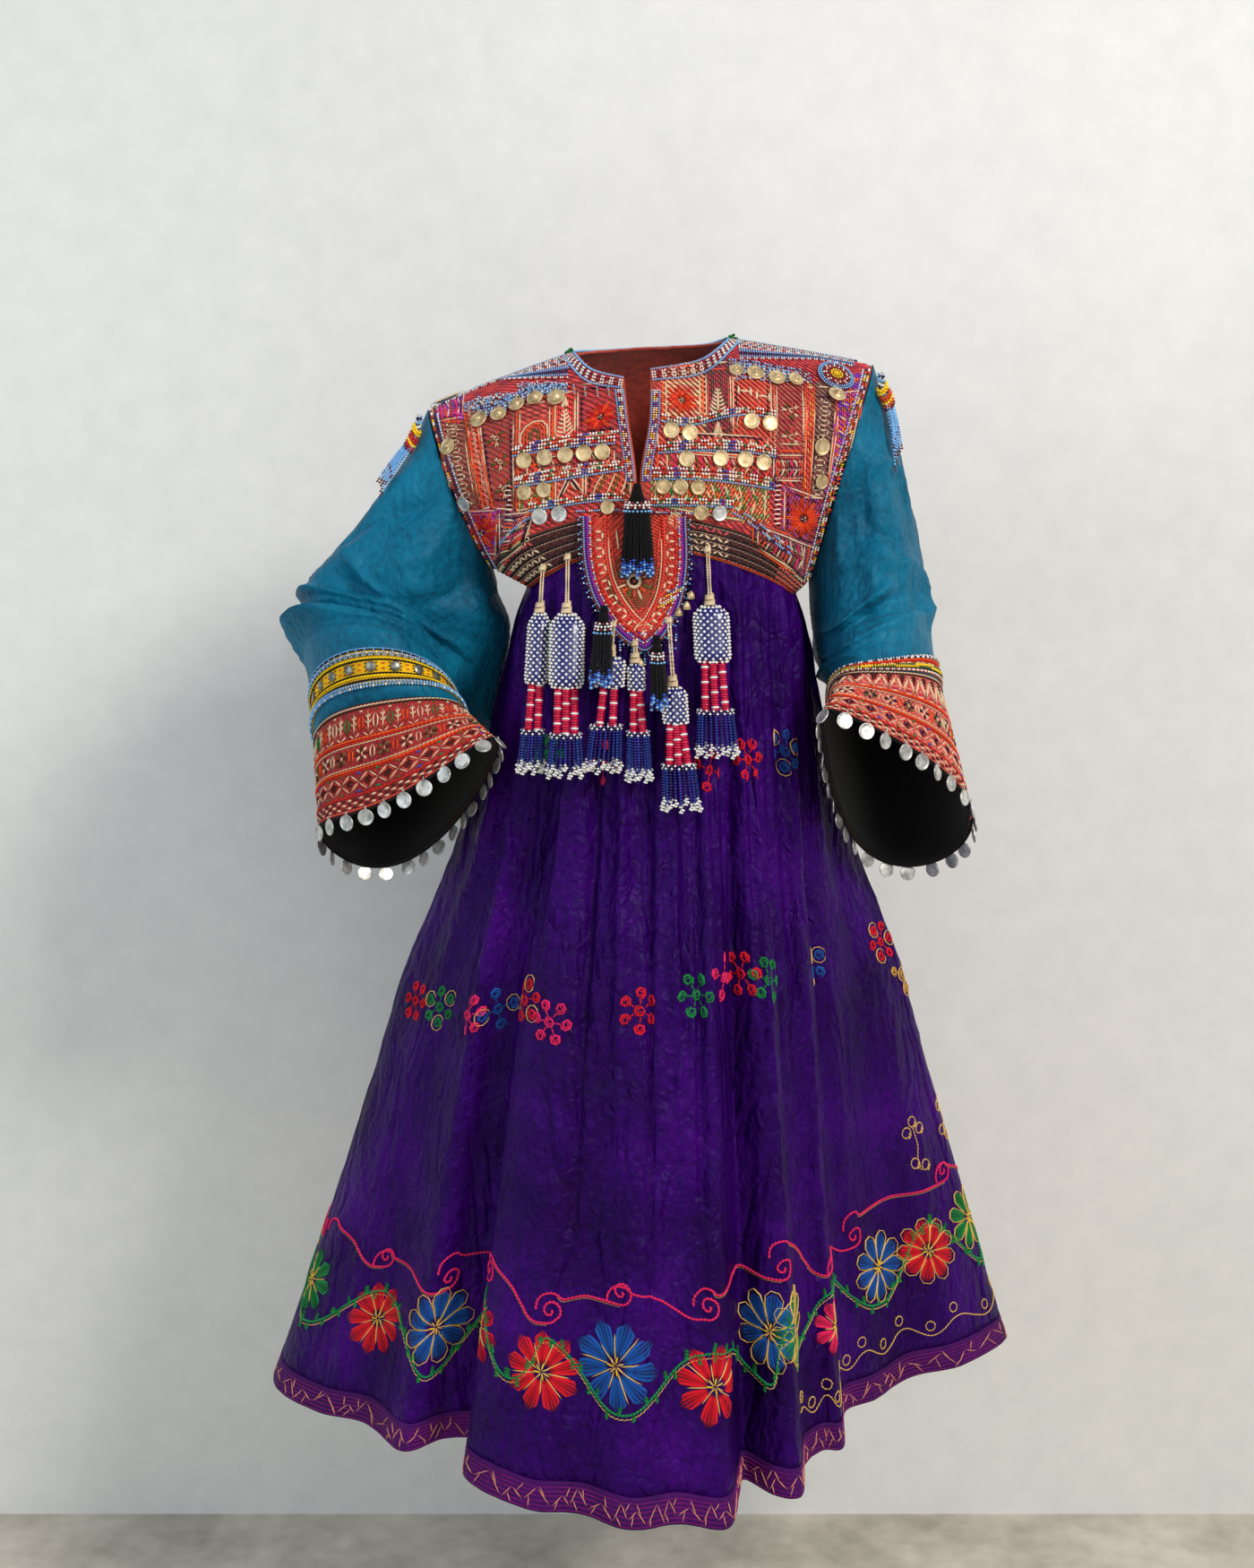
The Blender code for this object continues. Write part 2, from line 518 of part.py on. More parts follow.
def yoke_front_grid(side, columns=YOKE_COLUMNS, rows=YOKE_ROWS):
    slit, neck, armhole, hem = front_edges(side)
    top = neck_then_shoulder(neck, side, columns)
    flat = patch(top, along(hem, columns, ease_to_side),
                 along(slit, rows, shoulder_rows), along(armhole, rows, shoulder_rows))
    grid = on_torso(flat)
    return grid[:, ::-1] if side == "left" else grid


def yoke_back_grid(columns=YOKE_BACK_COLUMNS, rows=YOKE_ROWS):
    ends = columns // 3
    left, right = shoulder_edge("left", ends)[::-1], shoulder_edge("right", ends)
    middle = over_torso(NECK_BACK, columns - 2 * ends + 2, back=True)
    top = np.concatenate([left, middle[1:-1], right])
    bottom = along(YOKE_HEM_BACK, columns, ease_to_both)
    flat = patch(top, bottom, along(ARMHOLE_LEFT, rows, shoulder_rows), along(ARMHOLE_RIGHT, rows, shoulder_rows))
    return on_torso(flat, back=True)


def outward(grid, normals, centre=(0.012, 0.0, -0.14)):
    """Turns a grid's normals so that they point away from the garment's middle."""
    away = grid - np.asarray(centre)
    away[..., 2] *= 0.3
    flip = np.sum(away * normals) < 0.0
    return -normals if flip else normals


def band_grid(top, curve, back):
    """The midriff band from the yoke's lower edge to the waist seam, on the yoke's own columns."""
    share = (top[:, 0] - top[0, 0]) / (top[-1, 0] - top[0, 0])
    bottom_x = curve[0][0] + share * (curve[-1][0] - curve[0][0])
    fine = along(curve, 200)
    bottom = np.stack([bottom_x, np.interp(bottom_x, fine[:, 0], fine[:, 1])], axis=1)
    flat = patch(top, bottom, np.linspace(top[0], bottom[0], BAND_ROWS),
                 np.linspace(top[-1], bottom[-1], BAND_ROWS))
    grid = on_torso(flat, back)
    grid[:, (0, -1), 1] = 0.0
    return grid


def panel_normals(grid):
    return flatten_seams(grid, outward(grid, normals_of(grid)))


def body_grids():
    """Yoke and band grids, left to right, with normals that agree along the seam between them."""
    left, right, back = yoke_front_grid("left"), yoke_front_grid("right"), yoke_back_grid()
    middle = (left[-1, -1:] + right[-1, :1]) / 2
    front_seam = np.concatenate([left[-1, :-1], middle, right[-1, 1:]])
    front_band = band_grid(front_seam[:, (0, 2)], WAIST_FRONT, back=False)
    back_band = band_grid(back[-1][:, (0, 2)], WAIST_BACK, back=True)
    inner = YOKE_COLUMNS - 1
    grids = {
        "yoke_front_left": np.concatenate([left, front_band[1:, :inner + 1]]),
        "yoke_front_right": np.concatenate([right, front_band[1:, inner:]]),
        "yoke_back": np.concatenate([back, back_band[1:]]),
    }
    panels = {name: (grid[:YOKE_ROWS], panel_normals(grid)[:YOKE_ROWS]) for name, grid in grids.items()}
    front_normals, back_normals = panel_normals(front_band), panel_normals(back_band)
    front_normals[0, :inner + 1] = panels["yoke_front_left"][1][-1]
    front_normals[0, inner:] = panels["yoke_front_right"][1][-1]
    back_normals[0] = panels["yoke_back"][1][-1]
    panels["midriff_band_front"] = (front_band, front_normals)
    panels["midriff_band_back"] = (back_band, back_normals)
    return panels


def build_yoke(mats):
    """Three yoke panels and two bands, each a stitched wall with a seam's clearance at its edges."""
    gaps = {
        "yoke_front_left": (SEAM / 2, SEAM, SEAM, SEAM / 2),
        "yoke_front_right": (SEAM / 2, SEAM, SEAM / 2, SEAM),
        "yoke_back": (SEAM / 2, SEAM, SEAM, SEAM),
        "midriff_band_front": (SEAM, SEAM, SEAM / 2, SEAM / 2),
        "midriff_band_back": (SEAM, SEAM, SEAM / 2, SEAM / 2),
    }
    panels = body_grids()
    for name, (grid, normals) in panels.items():
        top, bottom, left, right = gaps[name]
        mat = mats["band"] if "band" in name else mats["yoke"]
        layer(name, pull_in(grid, top, bottom, left, right), normals, -QUILTED, 0.0, mat)
    return panels


# The skirt

def waist_point(bearing):
    """Points of the waist seam at bearings in degrees, 0 at the front and 90 at the viewer's right."""
    angle = np.radians(bearing)
    centre = (WAIST_FRONT[0][0] + WAIST_FRONT[-1][0]) / 2
    half_width = (WAIST_FRONT[-1][0] - WAIST_FRONT[0][0]) / 2
    x = centre + half_width * np.sin(angle)
    front = np.cos(angle) > 0.0
    curve_front = along(WAIST_FRONT, 200)
    curve_back = along(WAIST_BACK, 200)
    z_front = np.interp(x, curve_front[:, 0], curve_front[:, 1])
    z_back = np.interp(x, curve_back[:, 0], curve_back[:, 1])
    z = np.where(front, z_front, z_back)
    y = np.where(front, -torso_depth(x, z_front), torso_depth(x, z_back, back=True))
    ends = np.abs(np.cos(angle)) < 1e-6
    y = np.where(ends, 0.0, y)
    return np.stack([x, y, z], axis=-1)


def hem_point(bearing):
    """Points of the hem at waist bearings: a closed smooth curve through the table of folds."""
    table = np.asarray(HEM_FOLDS, float)
    shares = np.linspace(0.0, 1.0, 2001)[:-1]
    fine = spline(table[:, 1:], shares, closed=True)
    degrees = np.interp(shares * len(table), np.arange(len(table) + 1), np.append(table[:, 0], table[0, 0] + 360.0))
    wrapped = np.mod(np.asarray(bearing) - table[0, 0], 360.0) + table[0, 0]
    degrees = np.append(degrees, table[0, 0] + 360.0)
    fine = np.concatenate([fine, fine[:1]])
    return np.stack([np.interp(wrapped, degrees, fine[:, k]) for k in range(3)], axis=-1)


def skirt_grid(bearings, shares):
    """Skirt points by share of length down and bearing round, with gathers that fade as the folds grow."""
    top, bottom = waist_point(bearings), hem_point(bearings)
    flare = np.interp(shares, [row[0] for row in FLARE], [row[1] for row in FLARE])[:, None]
    share = np.asarray(shares)[:, None]
    grid = np.empty((len(shares), len(bearings), 3))
    for axis in (0, 1):
        grid[..., axis] = top[None, :, axis] + (bottom - top)[None, :, axis] * flare
    grid[..., 2] = top[None, :, 2] + (bottom - top)[None, :, 2] * share
    out = np.stack([np.sin(np.radians(bearings)), -np.cos(np.radians(bearings)), np.zeros(len(bearings))], axis=-1)
    fade = smooth(share / 0.05) * (1.0 - smooth((share - 0.12) / 0.55))
    wave = np.cos(np.radians(bearings) * GATHERS)[None, :] * GATHER_RISE * (0.25 + fade)
    low = 1.0 - smooth((share - 0.35) / 0.4)
    return grid + out[None] * (wave * low)[..., None]


def build_skirt(cloth, band):
    """Front and back panels joined at the sides, and the hem band below them."""
    bearings = -90.0 + np.arange(SKIRT_COLUMNS) * 360.0 / SKIRT_COLUMNS
    shares = SKIRT_ROWS + [1.0 - HEM_BAND / SKIRT_LENGTH]
    grid = skirt_grid(bearings, np.append(shares, 1.0))
    normals = normals_of(grid, wrap=True)
    normals = outward(grid, normals, (0.01, 0.0, -0.6))
    half = SKIRT_COLUMNS // 2
    last = len(shares)
    for name, start in (("front", 0), ("back", half)):
        pick = (start + np.arange(half + 1)) % SKIRT_COLUMNS
        panel = pull_in(grid[:last, pick], top=SEAM, bottom=SEAM / 2, left=SEAM / 2, right=SEAM / 2)
        layer("skirt_" + name, panel, normals[:last, pick], -COTTON, 0.0, cloth)
        strip = grid[last - 1:, pick]
        strip = pull_in(strip, top=SEAM / 2, left=SEAM / 2, right=SEAM / 2)
        layer("hem_band_" + name, strip, normals[last - 1:, pick], -COTTON, 0.0, band)


# Sleeves and cuffs

def ring_points(outer, inner, front, back, angles):
    """A smooth ring through its outer (0), back (90), inner (180) and front (270 degrees) points."""
    outer, inner, front, back = (np.asarray(p, float) for p in (outer, inner, front, back))
    centre = (outer + inner + front + back) / 4
    first, second = (outer - inner) / 2, (back - front) / 2
    skew = ((outer + inner) - (front + back)) / 4
    t = angles[:, None]
    return centre + first * np.cos(t) + second * np.sin(t) + skew * np.cos(2 * t)


def armhole_ring(side, columns, clearance):
    """The armhole's edge as a ring, from the shoulder tip round the back, the underarm and the front."""
    edge = ARMHOLE_LEFT if side == "left" else ARMHOLE_RIGHT
    half = columns // 2 + 1
    back = on_torso(along(edge, half), back=True)
    front = on_torso(along(edge, half))
    ring = np.concatenate([back, front[::-1][1:-1]])
    ring[:, 0] += -clearance if side == "left" else clearance
    return ring


def sleeve_grid(side, stations, columns=SLEEVE_COLUMNS):
    """Sleeve points at stations that count ring spans from the armhole (0) to the cuff's edge."""
    stations = np.asarray(stations, float)
    rows = len(stations)
    angles = np.arange(columns) * 2.0 * math.pi / columns
    rings = [armhole_ring(side, columns, ARMHOLE_GAP)]
    rings += [ring_points(*row, angles) for row in SLEEVE_RINGS[side]]
    rings = np.stack(rings)
    spans = len(rings) - 1
    flat = spline(rings.reshape(len(rings), -1), stations / spans).reshape(rows, columns, 3)
    centre = flat.mean(axis=1, keepdims=True)
    out = unit(flat - centre)
    degrees = np.degrees(angles)
    rise = np.zeros((rows, columns))
    length = (stations / (spans - 1))[:, None]
    swell = np.sin(np.clip(length, 0.0, 1.0) * math.pi) ** 0.8
    for bearing, width, height in SLEEVE_FOLDS[side]:
        gap = (degrees - bearing + 180.0) % 360.0 - 180.0
        rise += height * np.exp(-(gap / width) ** 2)[None, :] * swell
    return flat + out * rise[..., None]


def build_sleeve(side, mats):
    """Sleeve, cuff, cuff lining and trim, which share one run of rings."""
    first = len(SLEEVE_RINGS[side]) - 1
    sleeve_end, trim_start, trim_end, cuff_start = CUFFS[side]
    middle = {"left": (-0.23, 0.0, -0.27), "right": (0.23, -0.02, -0.25)}[side]
    trim_stations = [first + trim_start, first + (trim_start + trim_end) / 2, first + trim_end]

    upper = np.linspace(0.0, first - 0.25, SLEEVE_ROWS - 4)
    grid = sleeve_grid(side, np.concatenate([upper, trim_stations, [first + sleeve_end]]))
    normals = outward(grid, normals_of(grid, wrap=True), middle)
    trim, trim_normals = grid[-4:-1], normals[-4:-1]
    layer("cuff_trim_" + side, trim, trim_normals, SEAM, TRIM, mats["trim_" + side], wrap=True)
    grid = pull_in(grid, bottom=SEAM / 2)
    layer("sleeve_" + side, grid, normals, -COTTON, 0.0, mats["sleeve"], wrap=True)

    cuff = sleeve_grid(side, np.linspace(first + cuff_start, first + 1.0, 3))
    normals = outward(cuff, normals_of(cuff, wrap=True), middle)
    layer("cuff_" + side, pull_in(cuff, top=SEAM), normals, -CUFF_IN, CUFF_OUT, mats["cuff_" + side], wrap=True)
    lining_out = -CUFF_IN - 2.0 * SEAM
    layer("cuff_lining_" + side, pull_in(cuff, top=SEAM, bottom=SEAM), normals,
          lining_out - LINING, lining_out, mats["lining"], wrap=True)
    return cuff, normals


# Beaded bands, bib and rosette

def strip(name, grid, mat, height=BEAD_BAND, lift=LIFT):
    """A raised band over a grid of points that lie on a panel."""
    normals = flatten_seams(grid, outward(grid, normals_of(grid)))
    return layer(name, pull_in(grid, left=SEAM / 2, right=SEAM / 2), normals, lift, lift + height, mat)


def build_neck_bands(mat):
    for side, (upper, lower) in NECK_BANDS.items():
        columns = 13 if side == "back" else 9
        top, bottom = (over_torso(edge, columns, side == "back") for edge in (upper, lower))
        flat = np.stack([top, bottom])
        strip("neck_band_" + side, on_torso(flat, back=side == "back"), mat, lift=2.0 * LIFT)


def build_slit_bands(mat):
    heights = np.linspace(SLIT_BAND[0], SLIT_BAND[1], 6)
    for side, edge, sign in (("left", SLIT_LEFT, -1.0), ("right", SLIT_RIGHT, 1.0)):
        edge = sorted((z, x) for x, z in edge)
        x = np.interp(heights, [row[0] for row in edge], [row[1] for row in edge]) + sign * 0.001
        flat = np.stack([np.stack([x, heights], axis=1), np.stack([x + sign * SLIT_BAND_WIDTH, heights], axis=1)])
        strip("slit_band_" + side, on_torso(flat), mat)


def build_shoulder_bands(mat):
    """A roll of beads along each shoulder seam, lying over the front and back of it."""
    drops = [(0.0012, True), (0.0003, True), (0.0, False), (0.0004, False), (0.0018, False)]
    for side, (start, end) in SHOULDER_BANDS.items():
        xs = np.linspace(start, end, 7)
        rows = []
        for drop, back in drops:
            flat = np.stack([xs, [crown(x) - drop for x in xs]], axis=1)
            rows.append(on_torso(flat, back))
        strip("shoulder_band_" + side, np.stack(rows), mat)


def armhole_band_grid(panels, side):
    """Stations up the front of the armhole, over the shoulder and down the back, each with an outer and inner edge."""
    front, front_normals = panels["yoke_front_" + side]
    back, back_normals = panels["yoke_back"]
    edge, inner = (0, 1) if side == "left" else (-1, -2)
    points = np.concatenate([front[-2::-1, edge], back[1:-1, edge]])
    toward = unit(np.concatenate([front[-2::-1, inner], back[1:-1, inner]]) - points)
    normals = np.concatenate([front_normals[-2::-1, edge], back_normals[1:-1, edge]])
    margin = 0.0025
    return np.stack([points + toward * margin, points + toward * (margin + ARMHOLE_BAND_WIDTH)]), normals


def build_armhole_bands(panels, mats):
    for side in ("left", "right"):
        grid, normals = armhole_band_grid(panels, side)
        normals = np.stack([normals, normals])
        grid = pull_in(grid, left=0.004, right=0.004)
        lift = LIFT + 0.0004
        band = layer("armhole_band_" + side, grid, normals, lift, lift + BEAD_BAND, mats["beads_white"])
        coins = bmesh.new()
        for where, row, radius, boss in ARMHOLE_COINS:
            if where != side:
                continue
            station = YOKE_ROWS - 2 - row
            index = int(station)
            share = station - index
            centre = grid[1, index] * (1 - share) + grid[1, index + 1] * share
            facing = normals[1, index] * (1 - share) + normals[1, index + 1] * share
            centre = centre + facing * (lift + BEAD_BAND + COIN * 0.2)
            disc_mesh(coins, centre, facing, radius, COIN, 8, boss)
        united(band, mesh_from(coins, "coins"))


def torso_normal(x, z):
    """Outward normal of the torso's front at x and height z."""
    step = 0.002
    here = on_torso([(x, z), (x + step, z), (x, z + step)])
    return unit(np.cross(here[1] - here[0], here[2] - here[0]))


def below_row(x, z, distance):
    """Height of the point at a distance down the panel from height z."""
    steps = np.linspace(z, z - distance, 40)
    line = on_torso(np.stack([np.full_like(steps, x), steps], axis=1))
    travelled = np.concatenate([[0.0], np.cumsum(np.linalg.norm(np.diff(line, axis=0), axis=1))])
    return float(np.interp(distance, travelled, steps))


def build_coin_rows(mats):
    """Rows of beads sewn across the yoke, each with its coins hanging over the panel."""
    for name, line, coins in COIN_ROWS:
        centre = along(line, 7)
        flat = np.stack([centre + (0.0, BEAD_ROW), centre - (0.0, BEAD_ROW)])
        row = strip("coin_row_" + name, on_torso(flat), mats["brass"])
        discs = bmesh.new()
        for x, radius, boss in coins:
            z = below_row(x, float(np.interp(x, centre[:, 0], centre[:, 1])), radius + COIN_DROP)
            facing = torso_normal(x, z)
            middle = on_torso([(x, z)])[0] + facing * (LIFT + BEAD_BAND * 0.75)
            disc_mesh(discs, middle, facing, radius, COIN, 7, boss)
        united(row, mesh_from(discs, "coins"))


def build_rosette(mats):
    """A round bead boss near the right shoulder, with a medallion below it."""
    x, z, radius = ROSETTE
    facing = torso_normal(x, z)
    centre = on_torso([(x, z)])[0] + facing * ROSETTE_LIFT
    body = bmesh.new()
    disc_mesh(body, centre, facing, radius, 0.003, 12, 0.002)
    rosette = add_object("rosette", mesh_from(body, "rosette"), mats["beads_blue"])
    down = unit(np.cross((1.0, 0.0, 0.0), facing))
    body = bmesh.new()
    disc_mesh(body, centre + down * (radius + 0.0070), facing, 0.0092, COIN, 8, 0.003)
    united(rosette, mesh_from(body, "coin"))


def bib_depth(x, z):
    """Depth of the bib's back: on the yoke and band above, leaning forward of the gathers below."""
    on_body = torso_depth(x, np.maximum(z, BIB_FREE)) + BIB_LIFT
    return on_body + BIB_LEAN * np.maximum(BIB_FREE - z, 0.0)


def bib_grid(rows=9, columns=9):
    left, right = along(BIB_LEFT, rows), along(BIB_RIGHT, rows)
    share = np.linspace(0.0, 1.0, columns)[None, :, None]
    flat = left[:, None] * (1 - share) + right[:, None] * share
    x, z = flat[..., 0], flat[..., 1]
    return np.stack([x, -bib_depth(x, z), z], axis=-1)


def bib_face(x, z):
    """Depth of the bib's front face."""
    return float(bib_depth(x, z)) + QUILTED


def build_bib(mat):
    grid = bib_grid()
    normals = outward(grid, normals_of(grid))
    layer("bib", grid, normals, 0.0, QUILTED, mat)


# Tassels

def skirt_front(x, z, reach):
    """How far forward the skirt's cloth comes within reach of x, at height z."""
    bearings = np.arange(-80.0, 80.0, 2.0)
    top, bottom = waist_point(bearings)[:, 2], hem_point(bearings)[:, 2]
    share = float(np.clip(np.mean((top - z) / (top - bottom)), 0.0, 1.0))
    ring = skirt_grid(bearings, [share])[0]
    near = np.abs(ring[:, 0] - x) < reach
    return float(-ring[near, 1].min())


def clear_line(top, x_bottom, z_wide, z_bottom, thin, wide, lean):
    """Bottom of a straight tassel that hangs from top, clears the skirt and leans forward by lean or more.
    thin and wide are its half width and half depth above and below z_wide."""
    for z in np.linspace(top.z, z_bottom, 16)[1:]:
        share = (top.z - z) / (top.z - z_bottom)
        x = top.x + (x_bottom - top.x) * share
        half_width, half_depth = wide if z <= z_wide else thin
        needed = skirt_front(x, z, half_width + 0.004) + half_depth + TASSEL_GAP + top.y
        lean = max(lean, needed / (top.z - z))
    return Vector((x_bottom, top.y - lean * (top.z - z_bottom), z_bottom))


def flat_tube(bm, path, widths, depths, sides):
    """A closed tube with an oval section, wider along X."""
    rings = []
    for point, width, depth in zip(path, widths, depths):
        ring = []
        for j in range(sides):
            angle = 2.0 * math.pi * (j + 0.5) / sides
            ring.append(bm.verts.new(Vector(point) + Vector((width * math.cos(angle), depth * math.sin(angle), 0))))
        rings.append(ring)
    for lower, upper in zip(rings, rings[1:]):
        for j in range(sides):
            bm.faces.new((lower[j], lower[(j + 1) % sides], upper[(j + 1) % sides], upper[j]))
    bm.faces.new(list(reversed(rings[0])))
    bm.faces.new(rings[-1])


def body_of(shape, *arguments):
    """A mesh made by one call of a shape function."""
    bm = bmesh.new()
    shape(bm, *arguments)
    return mesh_from(bm, "body")


def build_tassel(row, mats):
    """String, beaded head, wrapped rods and bead fringe, fused into one hanging solid."""
    name, x_top, x_bottom, z_string, z_head, z_rods, z_fringe, z_end, head_half, rods, fringe_half = row
    depth, string = TASSEL_DEPTH, TASSEL_STRING
    on_bib = BIB_LEFT[0][0] < x_top < BIB_RIGHT[0][0]
    lean = BIB_LEAN + 0.03 if on_bib else 0.05
    if on_bib:
        y_top = -bib_face(x_top, z_string) - SEAM - string
    else:
        y_top = -float(torso_depth(x_top, z_string)) - SEAM - string
    top = Vector((x_top, y_top, z_string))
    wide = (max(head_half, fringe_half), depth)
    bottom = clear_line(top, x_bottom, z_head, z_end, (string, string), wide, lean)

    def at(z):
        return top.lerp(bottom, (z_string - z) / (z_string - z_end))

    head_path = [at(z_head), at(z_head - 0.006), at(z_rods + 0.006), at(z_rods)]
    head = bmesh.new()
    flat_tube(head, head_path, [head_half * 0.5, head_half, head_half, head_half * 0.7],
              [depth * 0.5, depth, depth, depth * 0.7], 8)
    tassel = add_object("tassel_" + name, mesh_from(head, "tassel"), mats["tassel"])
    united(tassel, body_of(tube_mesh, [top, at(z_head - 0.004)], [string, string], 4))

    bars = bmesh.new()
    for k in range(rods):
        shift = ((k + 0.5) / rods - 0.5) * 2.0
        upper = at(z_rods + 0.003) + Vector((shift * head_half * 0.75, 0, 0))
        lower = at(z_fringe - 0.002) + Vector((shift * fringe_half * 0.8, 0, 0))
        tube_mesh(bars, [upper, lower], [TASSEL_ROD] * 2, 5)
    united(tassel, mesh_from(bars, "rods"))
    united(tassel, body_of(flat_tube, [at(z_fringe), at(z_fringe - 0.005)], [fringe_half] * 2, [depth * 0.8] * 2, 8))

    fringe = bmesh.new()
    strands = 7
    for k in range(strands):
        angle = 2.0 * math.pi * (k + 0.5) / strands
        root = Vector((math.cos(angle) * fringe_half * 0.8, math.sin(angle) * depth * 0.5, 0))
        tip = Vector((math.cos(angle) * fringe_half * 1.05, math.sin(angle) * depth * 0.7, 0))
        tube_mesh(fringe, [at(z_fringe - 0.003) + root, at(z_end) + tip], [STRAND] * 2, 3)
    united(tassel, mesh_from(fringe, "fringe"))


def build_cord_tassel(row, mats):
    """A black cord tassel: a knot under a bead collar, and loose strands below."""
    name, x_top, x_bottom, z_top, z_collar, z_end, half, strands, forward = row
    depth, knot = CORD_DEPTH, CORD_KNOT
    if forward is None:
        y = -bib_face(x_top, z_end) - depth
        top, bottom = Vector((x_top, y, z_top)), Vector((x_bottom, y, z_end))
    else:
        top = Vector((x_top, -bib_face(x_top, z_top) - SEAM - knot, z_top))
        bottom = clear_line(top, x_bottom, z_collar, z_end, (half, depth), (half, depth + forward), BIB_LEAN + 0.35)

    def at(z):
        return top.lerp(bottom, (z_top - z) / (z_top - z_end))

    body = bmesh.new()
    flat_tube(body, [at(z_top), at(z_top - 0.004), at(z_collar), at(z_collar - 0.006)],
              [0.003, 0.004, half * 0.75, half * 0.9], [knot, 0.003, depth * 0.75, depth * 0.85], 8)
    tassel = add_object("cord_tassel_" + name, mesh_from(body, "tassel"), mats["cord"])
    fringe = bmesh.new()
    for k in range(strands):
        angle = 2.0 * math.pi * (k + 0.5) / strands
        root = Vector((math.cos(angle) * half * 0.6, math.sin(angle) * depth * 0.45, 0))
        tip = Vector((math.cos(angle) * half * 0.95, math.sin(angle) * depth * 0.7, 0))
        tube_mesh(fringe, [at(z_collar - 0.004) + root, at(z_end) + tip], [0.0018, 0.0016], 3)
    united(tassel, mesh_from(fringe, "strands"))


def build_shoulder_tassel(side, mats):
    """A beaded tuft at the shoulder's tip that hangs over the sleeve, just clear of it."""
    grid = sleeve_grid(side, np.linspace(0.0, 1.6, 9))
    middle = {"left": (-0.23, 0.0, -0.27), "right": (0.23, -0.02, -0.25)}[side]
    normals = outward(grid, normals_of(grid, wrap=True), middle)
    column = round(SLEEVE_COLUMNS * 0.86)
    path = [Vector(grid[k, column] + normals[k, column] * TUFT_OUT) for k in range(1, 8)]
    body = bmesh.new()
    tube_mesh(body, path[0:4], [0.004, 0.007, 0.008, 0.005], 8)
    tuft = add_object("shoulder_tassel_" + side, mesh_from(body, "tuft"), mats["beads_blue"])
    strands = bmesh.new()
    count = 7
    for k in range(count):
        shift = Vector(grid[4, column - 1] - grid[4, column + 1]) * (0.5 - k / (count - 1)) * 0.45
        start = path[2] + shift * 0.25
        end = path[3] + (path[5] - path[3]) * (0.75 + 0.25 * (k % 2)) + shift
        tube_mesh(strands, [start, start.lerp(end, 0.5), end], [0.0016] * 3, 3)
    united(tuft, mesh_from(strands, "strands"))


def build_cuff_coins(side, cuff, normals, mats):
    """A tape round the cuff's edge whose lower edge runs round the coins that hang from it."""
    edge, drop = cuff[-1], unit(cuff[-1] - cuff[-2])
    loop = np.concatenate([edge, edge[:1]])
    length = np.concatenate([[0.0], np.cumsum(np.linalg.norm(np.diff(loop, axis=0), axis=1))])
    pitch = length[-1] / CUFF_COINS
    outline = [(-1.0, 0.0), (-0.75, 0.66), (0.0, 1.0), (0.75, 0.66), (1.0, 0.0)]
    across = [k * pitch + share * CUFF_COIN for k in range(CUFF_COINS) for share, _ in outline]
    hang = np.array([CUFF_COIN * (1.0 + low) if low else CUFF_TAPE for _ in range(CUFF_COINS) for _, low in outline])
    places = np.interp(np.mod(across, length[-1]), length, np.arange(SLEEVE_COLUMNS + 1))
    index = places.astype(int) % SLEEVE_COLUMNS
    after = (index + 1) % SLEEVE_COLUMNS
    share = (places - places.astype(int))[:, None]
    point, down, facing = (values[index] * (1 - share) + values[after] * share
                           for values in (edge, drop, normals[-1]))
    rows = np.stack([point + down * SEAM * 2.5, point + down * hang[:, None]])
    spread = np.stack([facing, facing])
    layer("cuff_coins_" + side, rows, spread, -COIN, 0.0, mats["silver"], wrap=True)


def build():
    clear_scene()
    mats = yoke_materials()
    mats.update({
        "sleeve": material("teal_cotton", (0.01, 0.16, 0.26)),
        "trim_left": material("yellow_bead_trim", (0.60, 0.42, 0.03), 0.5),
        "trim_right": material("striped_trim", (0.60, 0.25, 0.08), 0.5),
        "cuff_left": material("red_embroidered_cuff", (0.55, 0.08, 0.06)),
        "cuff_right": material("pink_embroidered_cuff", (0.62, 0.18, 0.16)),
        "lining": material("black_velvet", (0.008, 0.008, 0.012)),
        "skirt": material("purple_cotton", (0.045, 0.006, 0.13)),
        "hem": material("magenta_hem", (0.10, 0.01, 0.13)),
        "brass": material("old_brass", (0.55, 0.40, 0.18), 0.4, 1.0),
        "silver": material("worn_silver", (0.62, 0.62, 0.62), 0.35, 1.0),
        "tassel": material("beaded_tassel", (0.30, 0.05, 0.20), 0.5),
        "cord": material("black_cord", (0.01, 0.01, 0.012)),
    })
    panels = build_yoke(mats)
    build_neck_bands(mats["beads_blue"])
    build_slit_bands(mats["beads_white"])
    build_shoulder_bands(mats["beads_blue"])
    build_armhole_bands(panels, mats)
    build_coin_rows(mats)
    build_rosette(mats)
    build_bib(mats["bib"])
    build_skirt(mats["skirt"], mats["hem"])
    for side in ("left", "right"):
        cuff, normals = build_sleeve(side, mats)
        build_cuff_coins(side, cuff, normals, mats)
        build_shoulder_tassel(side, mats)
    for row in TASSELS:
        build_tassel(row, mats)
    for row in CORD_TASSELS:
        build_cord_tassel(row, mats)


build()
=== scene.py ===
# %% [markdown]
# # A kuchi dress, as it hangs when worn
# The dress has a stiff yoke covered in silk stitches, beads and coins, wide sleeves with deep cuffs, and a
# very full skirt gathered to a high waist. Its plain model is loaded as a fixed frame. Every cell below
# makes one piece or one finish of the real dress in its place, from the same few curves that the plain
# model was worked out from.

